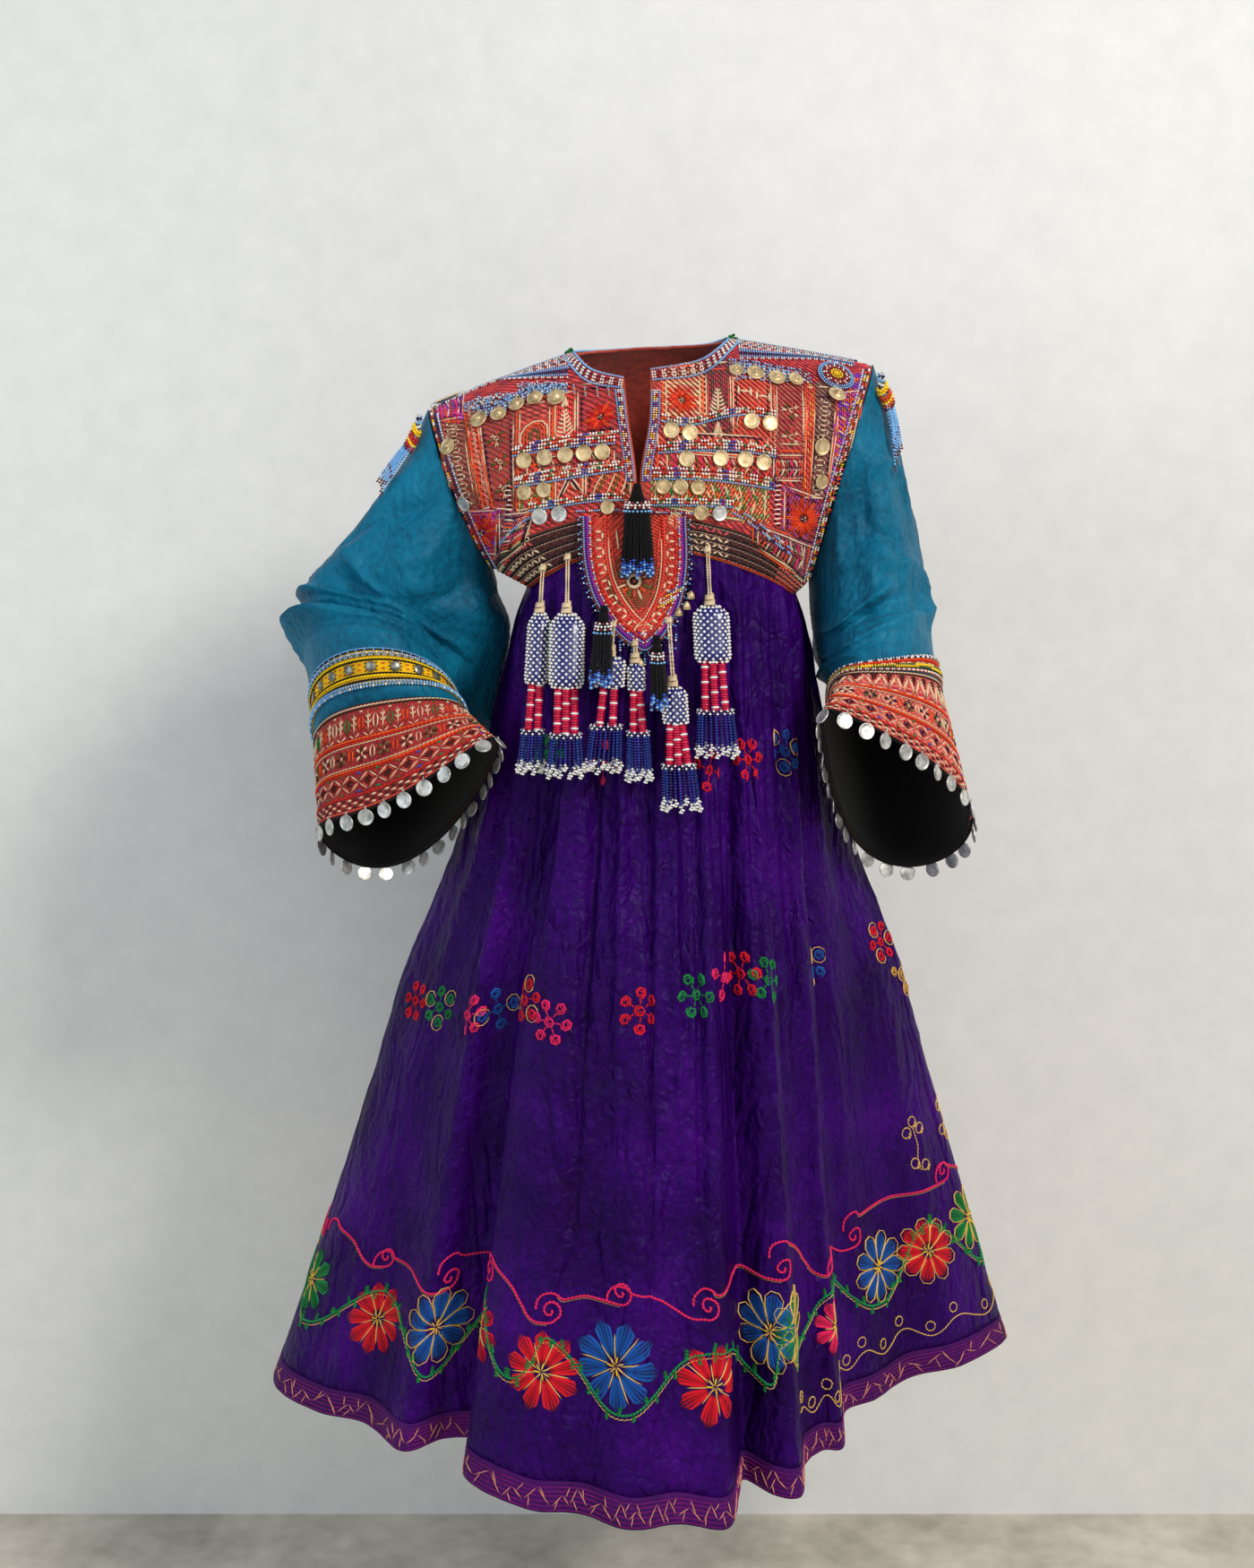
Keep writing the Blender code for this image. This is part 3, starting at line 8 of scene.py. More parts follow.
# %% Load the frame
import bpy
import math
import numpy as np
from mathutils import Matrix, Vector


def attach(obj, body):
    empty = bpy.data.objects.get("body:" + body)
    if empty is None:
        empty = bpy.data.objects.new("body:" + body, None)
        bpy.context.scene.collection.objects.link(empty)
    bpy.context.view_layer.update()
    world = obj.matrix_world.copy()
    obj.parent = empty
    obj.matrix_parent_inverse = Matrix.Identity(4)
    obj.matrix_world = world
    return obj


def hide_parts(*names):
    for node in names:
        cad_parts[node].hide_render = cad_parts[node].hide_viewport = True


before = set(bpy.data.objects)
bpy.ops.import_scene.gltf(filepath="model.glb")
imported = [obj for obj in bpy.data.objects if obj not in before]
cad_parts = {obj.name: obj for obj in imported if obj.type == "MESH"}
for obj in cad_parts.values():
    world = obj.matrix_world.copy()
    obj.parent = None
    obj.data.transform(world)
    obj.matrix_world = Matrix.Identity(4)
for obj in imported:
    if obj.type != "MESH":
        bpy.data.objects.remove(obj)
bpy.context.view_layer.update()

# %% [markdown]
# ## Curves, grids and surfaces
# Cloth is a surface: a grid of points worked out from two parameters. Modelling it by hand would give
# prettier single folds, but a formula keeps every fold editable and lets thread, beads and coins find their
# place on it. These helpers work on whole arrays, so a grid of 50,000 points takes a moment.

# %% Array helpers
def unit(vectors):
    """Vectors divided by their lengths."""
    return vectors / np.maximum(np.linalg.norm(vectors, axis=-1, keepdims=True), 1e-9)


def eased(value):
    """3 v squared minus 2 v cubed, with v held between 0 and 1."""
    value = np.clip(value, 0.0, 1.0)
    return value * value * (3.0 - 2.0 * value)


def circle(angle):
    """Points of a circle of radius one at angles, as x and y."""
    return np.stack([np.cos(angle), np.sin(angle)], axis=-1)


def alike(vector, points):
    """The same vector for each of the points."""
    return np.broadcast_to(vector, np.shape(points))


def spline(points, shares, closed=False):
    """A Catmull-Rom curve through points, read at shares of its length in steps."""
    points = np.asarray(points, float)
    spans = len(points) if closed else len(points) - 1
    place = np.clip(np.asarray(shares, float), 0.0, 1.0) * spans
    index = np.minimum(place.astype(int), spans - 1)
    t = (place - index)[:, None]
    if closed:
        p0, p1, p2, p3 = (points[(index + k) % len(points)] for k in (-1, 0, 1, 2))
    else:
        padded = np.concatenate([2 * points[:1] - points[1:2], points, 2 * points[-1:] - points[-2:-1]])
        p0, p1, p2, p3 = (padded[index + k] for k in range(4))
    return 0.5 * (2 * p1 + (p2 - p0) * t + (2 * p0 - 5 * p1 + 4 * p2 - p3) * t ** 2
                  + (3 * p1 - p0 - 3 * p2 + p3) * t ** 3)


def lengths_of(points):
    """Length travelled at each point of a polyline."""
    return np.concatenate([[0.0], np.cumsum(np.linalg.norm(np.diff(points, axis=0), axis=1))])


def evenly(points, count, smoothly=True):
    """count points at even steps of length along a curve, or along straight lines, through points."""
    fine = spline(points, np.linspace(0, 1, 400)) if smoothly else np.asarray(points, float)
    travelled = lengths_of(fine)
    places = np.linspace(0.0, travelled[-1], count)
    return np.stack([np.interp(places, travelled, fine[:, k]) for k in range(fine.shape[1])], axis=1)


# %% [markdown]
# A mesh is put together from parts, each with its points, faces, colours and UV. One object can then hold
# hundreds of beads or stitches, which keeps the list of pieces short and the files small.

# %% Meshes from arrays
def part(points, faces, colour=(1.0, 1.0, 1.0), uv=None):
    """Points (n, 3), a list of face arrays, a colour for all or for each point, and UV for each point."""
    points = np.asarray(points, float).reshape(-1, 3)
    colour = np.broadcast_to(np.asarray(colour, float), (len(points), 3))
    uv = np.zeros((len(points), 2)) if uv is None else np.asarray(uv, float).reshape(-1, 2)
    return points, faces, colour, uv


def add_piece(name, parts, material, stands_for=()):
    """An object from parts, riding on the dress's only body and standing for the named plain solids."""
    points = np.concatenate([p[0] for p in parts])
    starts = np.cumsum([0] + [len(p[0]) for p in parts])
    faces = [(group + start, group.shape[1]) for p, start in zip(parts, starts) for group in p[1]
             if len(group)]
    corners = np.concatenate([group.ravel() for group, _ in faces]).astype(np.int32)
    sizes = np.concatenate([np.full(len(group), size) for group, size in faces])
    mesh = bpy.data.meshes.new(name)
    mesh.vertices.add(len(points))
    mesh.vertices.foreach_set("co", points.ravel())
    mesh.loops.add(len(corners))
    mesh.loops.foreach_set("vertex_index", corners)
    mesh.polygons.add(len(sizes))
    mesh.polygons.foreach_set("loop_start", np.concatenate([[0], np.cumsum(sizes)[:-1]]).astype(np.int32))
    mesh.update(calc_edges=True)
    colours = np.concatenate([p[2] for p in parts])
    layer = mesh.attributes.new("dye", 'FLOAT_COLOR', 'POINT')
    layer.data.foreach_set("color", np.concatenate([colours, np.ones((len(colours), 1))], axis=1).ravel())
    uv = np.concatenate([p[3] for p in parts])
    mesh.uv_layers.new(name="UVMap").data.foreach_set("uv", uv[corners].ravel())
    mesh.validate()
    mesh.shade_smooth()
    piece = bpy.data.objects.new(name, mesh)
    bpy.context.scene.collection.objects.link(piece)
    mesh.materials.append(material)
    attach(piece, "root")
    if stands_for:
        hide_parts(*stands_for)
    print(name, "faces", len(sizes))
    return piece


def grid_faces(rows, columns, round_it=False):
    """Quads between neighbouring points of a grid, closed round by its columns or not."""
    index = np.arange(rows * columns).reshape(rows, columns)
    if round_it:
        index = np.concatenate([index, index[:, :1]], axis=1)
    quads = np.stack([index[:-1, :-1], index[1:, :-1], index[1:, 1:], index[:-1, 1:]], axis=-1)
    return quads.reshape(-1, 4)


def normals_of(grid, round_it=False):
    """Cross products of the differences down and across a grid, as unit vectors."""
    if round_it:
        across = np.roll(grid, -1, axis=1) - np.roll(grid, 1, axis=1)
    else:
        across = np.gradient(grid, axis=1)
    return unit(np.cross(np.gradient(grid, axis=0), across))


FLATTENED = (1.0, 1.0, 0.2)      # heights count less when it is judged which side faces out
JUST_INSIDE = 1.001              # keeps a place off the last row or column, so that it has a point after it
FORWARD, UPWARD = (0.0, -1.0, 0.0), (0.0, 0.0, 1.0)


def surface(grid, middle, round_it=False):
    """A cloth surface: its grid, outward normals and lengths across and down, for finding places on it."""
    normals = normals_of(grid, round_it)
    outward = np.sum((grid - np.asarray(middle)) * FLATTENED * normals) >= 0
    if not outward:
        normals = -normals
    closed = np.concatenate([grid, grid[:, :1]], axis=1) if round_it else grid
    across = np.linalg.norm(np.diff(closed, axis=1), axis=-1)
    across = np.concatenate([np.zeros((len(grid), 1)), np.cumsum(across, axis=1)], axis=1)
    down = np.linalg.norm(np.diff(grid, axis=0), axis=-1)
    down = np.concatenate([np.zeros((1, grid.shape[1])), np.cumsum(down, axis=0)], axis=0)
    return {"grid": grid, "normals": normals, "round": round_it, "across": across, "down": down,
            "outward": outward}


def cloth_piece(name, cloth, material, thickness, stands_for=()):
    """The surface as a sheet with thickness added inward; UV is the length across and down in metres."""
    rows, columns = cloth["grid"].shape[:2]
    quads = grid_faces(rows, columns, cloth["round"])
    if not cloth["outward"]:
        quads = quads[:, ::-1]
    uv = np.stack([cloth["across"][:, :columns], cloth["down"]], axis=-1)
    piece = add_piece(name, [part(cloth["grid"], [quads], uv=uv)], material, stands_for)
    normal = Vector(piece.data.polygons[len(quads) // 2].normal)
    row, column = divmod(int(quads[len(quads) // 2][0]), columns)
    if normal.dot(Vector(cloth["normals"][row, column])) < 0:
        piece.data.flip_normals()
    wall = piece.modifiers.new("thickness", 'SOLIDIFY')
    wall.thickness = thickness
    wall.offset = -1.0
    return piece


def place_on(cloth, row, column, lift=0.0):
    """Points and normals at fractional rows and columns: the four grid points round each place, mixed."""
    grid, normals = cloth["grid"], cloth["normals"]
    rows, columns = grid.shape[:2]
    row = np.clip(row, 0.0, rows - JUST_INSIDE)
    column = np.mod(column, columns) if cloth["round"] else np.clip(column, 0.0, columns - JUST_INSIDE)
    r, c = row.astype(int), column.astype(int)
    after = (c + 1) % columns
    u, v = (column - c)[..., None], (row - r)[..., None]
    mix = [values[r, c] * (1 - u) * (1 - v) + values[r, after] * u * (1 - v)
           + values[r + 1, c] * (1 - u) * v + values[r + 1, after] * u * v for values in (grid, normals)]
    normal = unit(mix[1])
    return mix[0] + normal * np.asarray(lift)[..., None], normal


def near_on(cloth, centre, u, v, lift=0.0):
    """Places at lengths u across and v down from a grid point (row, column), measured on the cloth itself.
    All rows are laid end to end, a step apart, so that one search finds the column of every place."""
    row0, column0 = int(centre[0]), int(centre[1])
    down, across = cloth["down"][:, column0], cloth["across"]
    row = np.interp(down[row0] + v, down, np.arange(len(down)))
    nearest = np.rint(row).astype(int)
    step = across.max() * 3.0
    flat = (across + np.arange(len(across))[:, None] * step).ravel()
    wanted = across[nearest, column0] + u + nearest * step
    index = np.clip(np.searchsorted(flat, wanted), 1, flat.size - 1)
    share = (wanted - flat[index - 1]) / np.maximum(flat[index] - flat[index - 1], 1e-9)
    column = (index - 1) % across.shape[1] + share
    return place_on(cloth, row, column, lift)


def spot_on(place, x, z, lift):
    """One point and its normal."""
    where, normal = place(np.array([x]), np.array([z]), lift)
    return where[0], normal[0]


# %% [markdown]
# ## Thread, beads and coins
# Real embroidery is thousands of short raised stitches. A picture of them would look flat close up, so each
# stitch is a small spindle of its own that follows the cloth, and a bead is a very short, fat one. Coins
# are turned profiles.

# %% Stitches, beads and turned pieces
def threads(points, normals, width, height, colour, sides=5):
    """Spindles along n paths of k points. Each inner point gets an oval ring: point + side * width *
    cos(angle) + normal * height * sin(angle), and the first and last points close it."""
    count, k = points.shape[:2]
    tangent = unit(np.gradient(points, axis=1))
    side = unit(np.cross(tangent, normals))
    up = unit(np.cross(side, tangent))
    angle = 2.0 * np.pi * (np.arange(sides) + (0.75 if sides == 3 else 0.5)) / sides
    width = np.broadcast_to(np.asarray(width, float), (count, k))[:, 1:-1, None, None]
    height = np.broadcast_to(np.asarray(height, float), (count, k))[:, 1:-1, None, None]
    rings = (points[:, 1:-1, None] + side[:, 1:-1, None] * np.cos(angle)[:, None] * width
             + up[:, 1:-1, None] * np.sin(angle)[:, None] * height)
    verts = np.concatenate([points[:, :1], rings.reshape(count, -1, 3), points[:, -1:]], axis=1)
    each = verts.shape[1]
    start = (np.arange(count) * each)[:, None, None]
    ring = 1 + np.arange((k - 2) * sides).reshape(k - 2, sides)
    turned = np.roll(ring, -1, axis=1)
    quads = np.stack([ring[:-1], turned[:-1], turned[1:], ring[1:]], axis=-1).reshape(-1, 4)
    first = np.stack([np.zeros(sides, int), turned[0], ring[0]], axis=-1)
    last = np.stack([np.full(sides, each - 1), ring[-1], turned[-1]], axis=-1)
    tris = np.concatenate([first, last])
    travelled = np.cumsum(np.linalg.norm(np.diff(points, axis=1, prepend=points[:, :1]), axis=-1), axis=1)
    v = np.concatenate([travelled[:, :1], np.repeat(travelled[:, 1:-1], sides, axis=1), travelled[:, -1:]],
                       axis=1)
    u = np.broadcast_to(np.concatenate([[0.0], np.tile(np.arange(sides) / sides, k - 2), [0.0]]), v.shape)
    colour = np.asarray(colour, float)
    colour = np.broadcast_to(colour if colour.ndim == 1 else colour[:, None], (count, each, 3))
    return part(verts, [(quads + start).reshape(-1, 4), (tris + start).reshape(-1, 3)],
                colour.reshape(-1, 3), np.stack([u, v], axis=-1))


def thread(path, normal, width, height, colour, sides=5):
    """One spindle, with one normal for the whole path or one for each point."""
    return threads(path[None], alike(normal, path)[None], width, height, colour, sides)


def beads(centres, along, normals, radius, half_length, colour, sides=6):
    """Seed beads as double cones, which smooth shading rounds; with many sides, barrels. The directions
    along their holes and their normals are one for all or one for each."""
    along, normals = alike(along, centres), alike(normals, centres)
    radius = np.broadcast_to(np.asarray(radius, float), (len(centres),))[:, None]
    half_length = np.broadcast_to(np.asarray(half_length, float), (len(centres),))[:, None, None]
    steps = np.array([-1.0, 0.0, 1.0] if sides < 7 else [-1.0, -0.55, 0.55, 1.0])[None, :, None]
    points = centres[:, None] + along[:, None] * steps * half_length
    return threads(points, np.broadcast_to(normals[:, None], points.shape), radius, radius, colour, sides)


def turned(centres, facing, up, profile, colour, sides=14):
    """Profiles of (radius, height) turned round the facing axis, from a point in front to a point
    behind."""
    centres, facing, up = (np.asarray(v, float).reshape(-1, 3) for v in (centres, facing, up))
    right = unit(np.cross(up, facing))
    up = unit(np.cross(facing, right))
    profile = np.asarray(profile, float)
    if profile.ndim == 2:
        profile = np.broadcast_to(profile, (len(centres),) + profile.shape)
    angle = 2.0 * np.pi * np.arange(sides) / sides
    spokes = right[:, None] * np.cos(angle)[None, :, None] + up[:, None] * np.sin(angle)[None, :, None]
    inner = profile[:, 1:-1]
    rings = (centres[:, None, None] + spokes[:, None] * inner[..., 0][:, :, None, None]
             + facing[:, None, None] * inner[..., 1][:, :, None, None])
    front = centres + facing * profile[:, 0, 1:2]
    back = centres + facing * profile[:, -1, 1:2]
    verts = np.concatenate([front[:, None], rings.reshape(len(centres), -1, 3), back[:, None]], axis=1)
    each = verts.shape[1]
    start = (np.arange(len(centres)) * each)[:, None, None]
    ring = 1 + np.arange(inner.shape[1] * sides).reshape(-1, sides)
    after = np.roll(ring, -1, axis=1)
    quads = np.stack([ring[:-1], ring[1:], after[1:], after[:-1]], axis=-1).reshape(-1, 4)
    tris = np.concatenate([np.stack([np.zeros(sides, int), ring[0], after[0]], axis=-1),
                           np.stack([np.full(sides, each - 1), after[-1], ring[-1]], axis=-1)])
    colour = np.asarray(colour, float)
    colour = np.broadcast_to(colour if colour.ndim == 1 else colour[:, None], (len(centres), each, 3))
    return part(verts, [(quads + start).reshape(-1, 4), (tris + start).reshape(-1, 3)],
                colour.reshape(-1, 3))


def dye(red, green, blue):
    """A screen colour of 0 to 255 as the linear light that Blender mixes."""
    value = np.array([red, green, blue]) / 255.0
    return np.where(value <= 0.04045, value / 12.92, ((value + 0.055) / 1.055) ** 2.4)


CREAM, WHITE, SKY = dye(222, 196, 160), dye(236, 234, 228), dye(120, 176, 226)
RED, CRIMSON, ORANGE, CORAL = dye(206, 38, 28), dye(196, 14, 44), dye(232, 84, 28), dye(214, 78, 62)
PINK, MAROON, BROWN, BLACK = dye(232, 36, 96), dye(104, 14, 30), dye(74, 34, 30), dye(16, 14, 17)
NAVY, BLUE, YELLOW, GREEN = dye(16, 22, 84), dye(34, 86, 186), dye(250, 206, 12), dye(22, 128, 60)
OLIVE, GOLD, PURPLE, PLUM = dye(92, 98, 44), dye(196, 146, 60), dye(92, 26, 128), dye(52, 20, 44)
BARE = (1.0, 1.0, 1.0)           # for metal, whose material doesn't read the dye

# %% [markdown]
# ## Finishes
# Cloth, thread, glass and metal each get one material from nodes. What they share, such as the weave of a
# cloth and the patchy fading of its dye, is built once as a node group that puts out a height and a mask,
# and each material gives it its own scale. The shader stays in the material, so that gloss and sheen stay
# plain numbers there.

# %% Shared effects as node groups
def node(tree, kind, values=(), **settings):
    """A node with its settings, and its inputs by name: numbers are set, and sockets are linked."""
    made = tree.nodes.new(kind)
    for key, value in settings.items():
        setattr(made, key, value)
    for key, value in dict(values).items():
        if isinstance(value, bpy.types.NodeSocket):
            tree.links.new(value, made.inputs[key])
        else:
            made.inputs[key].default_value = value
    return made


def arithmetic(tree, operation, first, second=0.0):
    return node(tree, 'ShaderNodeMath', {0: first, 1: second}, operation=operation).outputs[0]


def effect(name, inputs, outputs):
    """An empty node group with the named inputs (with their starting values) and outputs."""
    tree = bpy.data.node_groups.new(name, 'ShaderNodeTree')
    for label, value in inputs.items():
        kind = 'NodeSocketVector' if value is None else 'NodeSocketFloat'
        socket = tree.interface.new_socket(label, in_out='INPUT', socket_type=kind)
        if value is not None:
            socket.default_value = value
    for label in outputs:
        tree.interface.new_socket(label, in_out='OUTPUT', socket_type='NodeSocketFloat')
    return tree, tree.nodes.new('NodeGroupInput').outputs, tree.nodes.new('NodeGroupOutput').inputs


def weave_effect():
    """Warp and weft: the height is the larger of two sets of waves, one along each direction of the
    cloth."""
    tree, given, wanted = effect("weave", {"Place": None, "Threads per metre": 900.0}, ["Height"])
    split = node(tree, 'ShaderNodeSeparateXYZ', {0: given["Place"]})
    waves = []
    for axis in ("X", "Y"):
        turns = arithmetic(tree, 'MULTIPLY', split.outputs[axis], given["Threads per metre"])
        waves.append(arithmetic(tree, 'ABSOLUTE', arithmetic(tree, 'SINE', turns)))
    tree.links.new(arithmetic(tree, 'MAXIMUM', waves[0], waves[1]), wanted["Height"])
    return tree


def fading_effect():
    """Uneven dye: slow noise for patches and quicker noise for slubs, mixed into one mask from 0 to 1."""
    tree, given, wanted = effect("fading", {"Place": None, "Patches": 9.0, "Slubs": 160.0}, ["Mask"])
    patches = node(tree, 'ShaderNodeTexNoise', {"Vector": given["Place"], "Scale": given["Patches"],
                                                "Detail": 3.0})
    slubs = node(tree, 'ShaderNodeTexNoise', {"Vector": given["Place"], "Scale": given["Slubs"],
                                              "Detail": 2.0})
    both = arithmetic(tree, 'ADD', arithmetic(tree, 'MULTIPLY', patches.outputs["Fac"], 0.65),
                      arithmetic(tree, 'MULTIPLY', slubs.outputs["Fac"], 0.35))
    tree.links.new(both, wanted["Mask"])
    return tree


def crinkle_effect():
    """Small creases of pressed cotton: noise stretched down the cloth, folded at its middle into sharp
    ridges."""
    tree, given, wanted = effect("crinkles", {"Place": None}, ["Height"])
    ridges = []
    for stretch, scale in (((1.0, 1.0, 0.28), 26.0), ((1.0, 1.0, 0.7), 60.0)):
        stretched = node(tree, 'ShaderNodeMapping', {"Vector": given["Place"], "Scale": stretch})
        noise = node(tree, 'ShaderNodeTexNoise', {"Vector": stretched.outputs["Vector"], "Scale": scale,
                                                  "Detail": 2.0, "Distortion": 0.6})
        ridges.append(arithmetic(tree, 'ABSOLUTE', arithmetic(tree, 'SUBTRACT', noise.outputs["Fac"], 0.5)))
    both = arithmetic(tree, 'ADD', ridges[0], arithmetic(tree, 'MULTIPLY', ridges[1], 0.35))
    tree.links.new(both, wanted["Height"])
    return tree


WEAVE, FADING, CRINKLES = weave_effect(), fading_effect(), crinkle_effect()
TWIST = 2600.0                   # turns of the yarn per metre, in radians


def grouped(tree, group, **values):
    made = tree.nodes.new('ShaderNodeGroup')
    made.node_tree = group
    for key, value in values.items():
        socket = made.inputs[key.replace("_", " ")]
        if isinstance(value, bpy.types.NodeSocket):
            tree.links.new(value, socket)
        else:
            socket.default_value = value
    return made.outputs


def new_material(name, roughness, metallic=0.0, sheen=0.0, coat=0.0, specular=0.5):
    """A material with constant gloss values on its shader; returns it with its tree and shader."""
    made = bpy.data.materials.new(name)
    made.use_nodes = True
    shader = made.node_tree.nodes["Principled BSDF"]
    shader.inputs["Roughness"].default_value = roughness
    shader.inputs["Metallic"].default_value = metallic
    shader.inputs["Sheen Weight"].default_value = sheen
    shader.inputs["Coat Weight"].default_value = coat
    shader.inputs["Specular IOR Level"].default_value = specular
    return made, made.node_tree, shader


def tint(tree, mask, *stops):
    """A colour ramp over a mask; stops are (position, colour)."""
    ramp = node(tree, 'ShaderNodeValToRGB', {"Fac": mask})
    elements = ramp.color_ramp.elements
    while len(elements) < len(stops):
        elements.new(0.5)
    for element, (position, colour) in zip(elements, stops):
        element.position = position
        element.color = (*colour, 1.0)
    return ramp.outputs["Color"]


def woven(name, shade, mid, light, threads_per_metre=1500.0, roughness=0.7, sheen=0.2, depth=0.00025,
          crinkles=0.0, specular=0.14):
    """Cloth: dye that fades in patches between three screen colours, over a weave that follows the piece's
    own UV, and small crinkles if wanted."""
    made, tree, shader = new_material(name, roughness, sheen=sheen, specular=specular)
    where = tree.nodes.new('ShaderNodeTexCoord')
    mask = grouped(tree, FADING, Place=where.outputs["Object"])["Mask"]
    fading = tint(tree, mask, (0.30, dye(*shade)), (0.50, dye(*mid)), (0.72, dye(*light)))
    tree.links.new(fading, shader.inputs["Base Color"])
    weave = grouped(tree, WEAVE, Place=where.outputs["UV"], Threads_per_metre=threads_per_metre)["Height"]
    relief = node(tree, 'ShaderNodeBump', {"Height": weave, "Distance": depth, "Strength": 0.6})
    if crinkles:
        crinkle = grouped(tree, CRINKLES, Place=where.outputs["Object"])["Height"]
        relief = node(tree, 'ShaderNodeBump', {"Height": crinkle, "Distance": crinkles, "Strength": 1.0,
                                               "Normal": relief.outputs["Normal"]})
    tree.links.new(relief.outputs["Normal"], shader.inputs["Normal"])
    return made


def dyed(tree, shader, patches, slubs):
    """Gives the shader the colour of the dye attribute, each spot a little lighter or darker; returns the
    coordinates."""
    colour = node(tree, 'ShaderNodeAttribute', attribute_name="dye")
    where = tree.nodes.new('ShaderNodeTexCoord').outputs
    mask = grouped(tree, FADING, Place=where["Object"], Patches=patches, Slubs=slubs)["Mask"]
    value = arithmetic(tree, 'ADD', mask, 0.5)
    shade = node(tree, 'ShaderNodeHueSaturation', {"Color": colour.outputs["Color"], "Value": value})
    tree.links.new(shade.outputs["Color"], shader.inputs["Base Color"])
    return where


def dyed_thread(name):
    """Thread in its own dye, with a twist round it from its UV."""
    made, tree, shader = new_material(name, 0.6, sheen=0.04, specular=0.12)
    where = dyed(tree, shader, 40.0, 900.0)
    split = node(tree, 'ShaderNodeSeparateXYZ', {0: where["UV"]})
    round_it = arithmetic(tree, 'MULTIPLY', split.outputs["X"], 2.0 * math.pi)
    along_it = arithmetic(tree, 'MULTIPLY', split.outputs["Y"], TWIST)
    wave = arithmetic(tree, 'SINE', arithmetic(tree, 'ADD', round_it, along_it))
    relief = node(tree, 'ShaderNodeBump', {"Height": wave, "Distance": 0.0001, "Strength": 0.5})
    tree.links.new(relief.outputs["Normal"], shader.inputs["Normal"])
    return made


def glass_beads(name):
    """Opaque seed beads in their own dye, under a clear coat."""
    made, tree, shader = new_material(name, 0.28, coat=0.25, specular=0.4)
    dyed(tree, shader, 300.0, 1200.0)
    return made


def stamped_metal(name, dull, bright, roughness):
    """Old metal: bright where it is rubbed, dark in the hollows of a fine stamped relief."""
    made, tree, shader = new_material(name, roughness, metallic=0.6)
    where = tree.nodes.new('ShaderNodeTexCoord')
    mask = grouped(tree, FADING, Place=where.outputs["Object"], Patches=120.0, Slubs=900.0)["Mask"]
    tree.links.new(tint(tree, mask, (0.36, dull), (0.60, bright)), shader.inputs["Base Color"])
    relief = node(tree, 'ShaderNodeBump', {"Height": mask, "Distance": 0.0008, "Strength": 0.45})
    tree.links.new(relief.outputs["Normal"], shader.inputs["Normal"])
    return made


TEAL_COTTON = woven("teal_cotton", (1, 68, 96), (3, 100, 132), (12, 122, 154), roughness=0.5, sheen=0.02,
                    crinkles=0.011)
VIOLET_COTTON = woven("violet_cotton", (26, 1, 54), (42, 2, 86), (68, 4, 118), roughness=0.42, sheen=0.0,
                      crinkles=0.020, specular=0.07)
HEM_COTTON = woven("magenta_hem_cotton", (40, 4, 62), (62, 6, 84), (84, 12, 104), sheen=0.02)
TRIM_YELLOW = woven("yellow_trim_ground", (196, 140, 8), (238, 186, 14), (250, 206, 40), sheen=0.05)
TRIM_STRIPED = woven("striped_trim_ground", (110, 52, 26), (160, 84, 40), (186, 110, 60), sheen=0.05)
YOKE_GROUND = woven("yoke_ground_cotton", (120, 40, 34), (176, 66, 50), (204, 96, 66))
BAND_GROUND = woven("midriff_ground_cotton", (40, 22, 24), (66, 36, 38), (96, 54, 54))
CUFF_RED = woven("red_cuff_ground", (120, 26, 30), (164, 44, 42), (186, 66, 54))
CUFF_PINK = woven("pink_cuff_ground", (150, 44, 44), (190, 72, 62), (208, 98, 80))
VELVET = woven("black_velvet", (3, 3, 5), (8, 8, 11), (16, 15, 20), 2600.0, 0.95, 0.12, 0.0008)
STITCH = dyed_thread("silk_stitches")
BEAD = glass_beads("seed_beads")
BRASS = stamped_metal("old_brass", dye(158, 130, 88), dye(226, 200, 154), 0.46)
SILVER = stamped_metal("worn_silver", dye(140, 140, 136), dye(226, 224, 218), 0.36)
print("materials", len(bpy.data.materials))

# %% [markdown]
# ## The wearer's torso as a formula
# The yoke is stiff with stitching, so it keeps the roundness of the chest and back. Its surface is worked
# out from a short table of sections: the depth falls away to the sides along a squared-off oval, and near
# the shoulder line it rolls over in a quarter circle. A place on it is then just x and a height, as a
# person would point at it.

# %% Torso, neckline and seams
SHOULDER = [(-0.240, -0.075), (-0.213, -0.065), (-0.140, -0.035), (-0.063, -0.008), (0.012, 0.013),
            (0.090, 0.005), (0.160, -0.006), (0.238, -0.020), (0.265, -0.024)]
CROWN = spline(SHOULDER, np.linspace(0.0, 1.0, 400))
# Columns: height, centre x, half width, front depth, back depth
TORSO = np.array([
    (0.020, 0.013, 0.245, 0.100, 0.078), (-0.060, 0.012, 0.245, 0.113, 0.092),
    (-0.130, 0.006, 0.226, 0.126, 0.100), (-0.190, 0.009, 0.188, 0.131, 0.098),
    (-0.224, 0.0155, 0.1654, 0.129, 0.092), (-0.238, 0.0265, 0.1494, 0.127, 0.089),
    (-0.243, 0.0290, 0.1419, 0.126, 0.087), (-0.250, 0.0250, 0.1379, 0.124, 0.085)])[::-1]
ROLL = 0.085             # height over which the yoke rolls over the shoulder
SQUARENESS = 2.4


def crown(x):
    """Height of the shoulder line at x."""
    return np.interp(x, CROWN[:, 0], CROWN[:, 1])


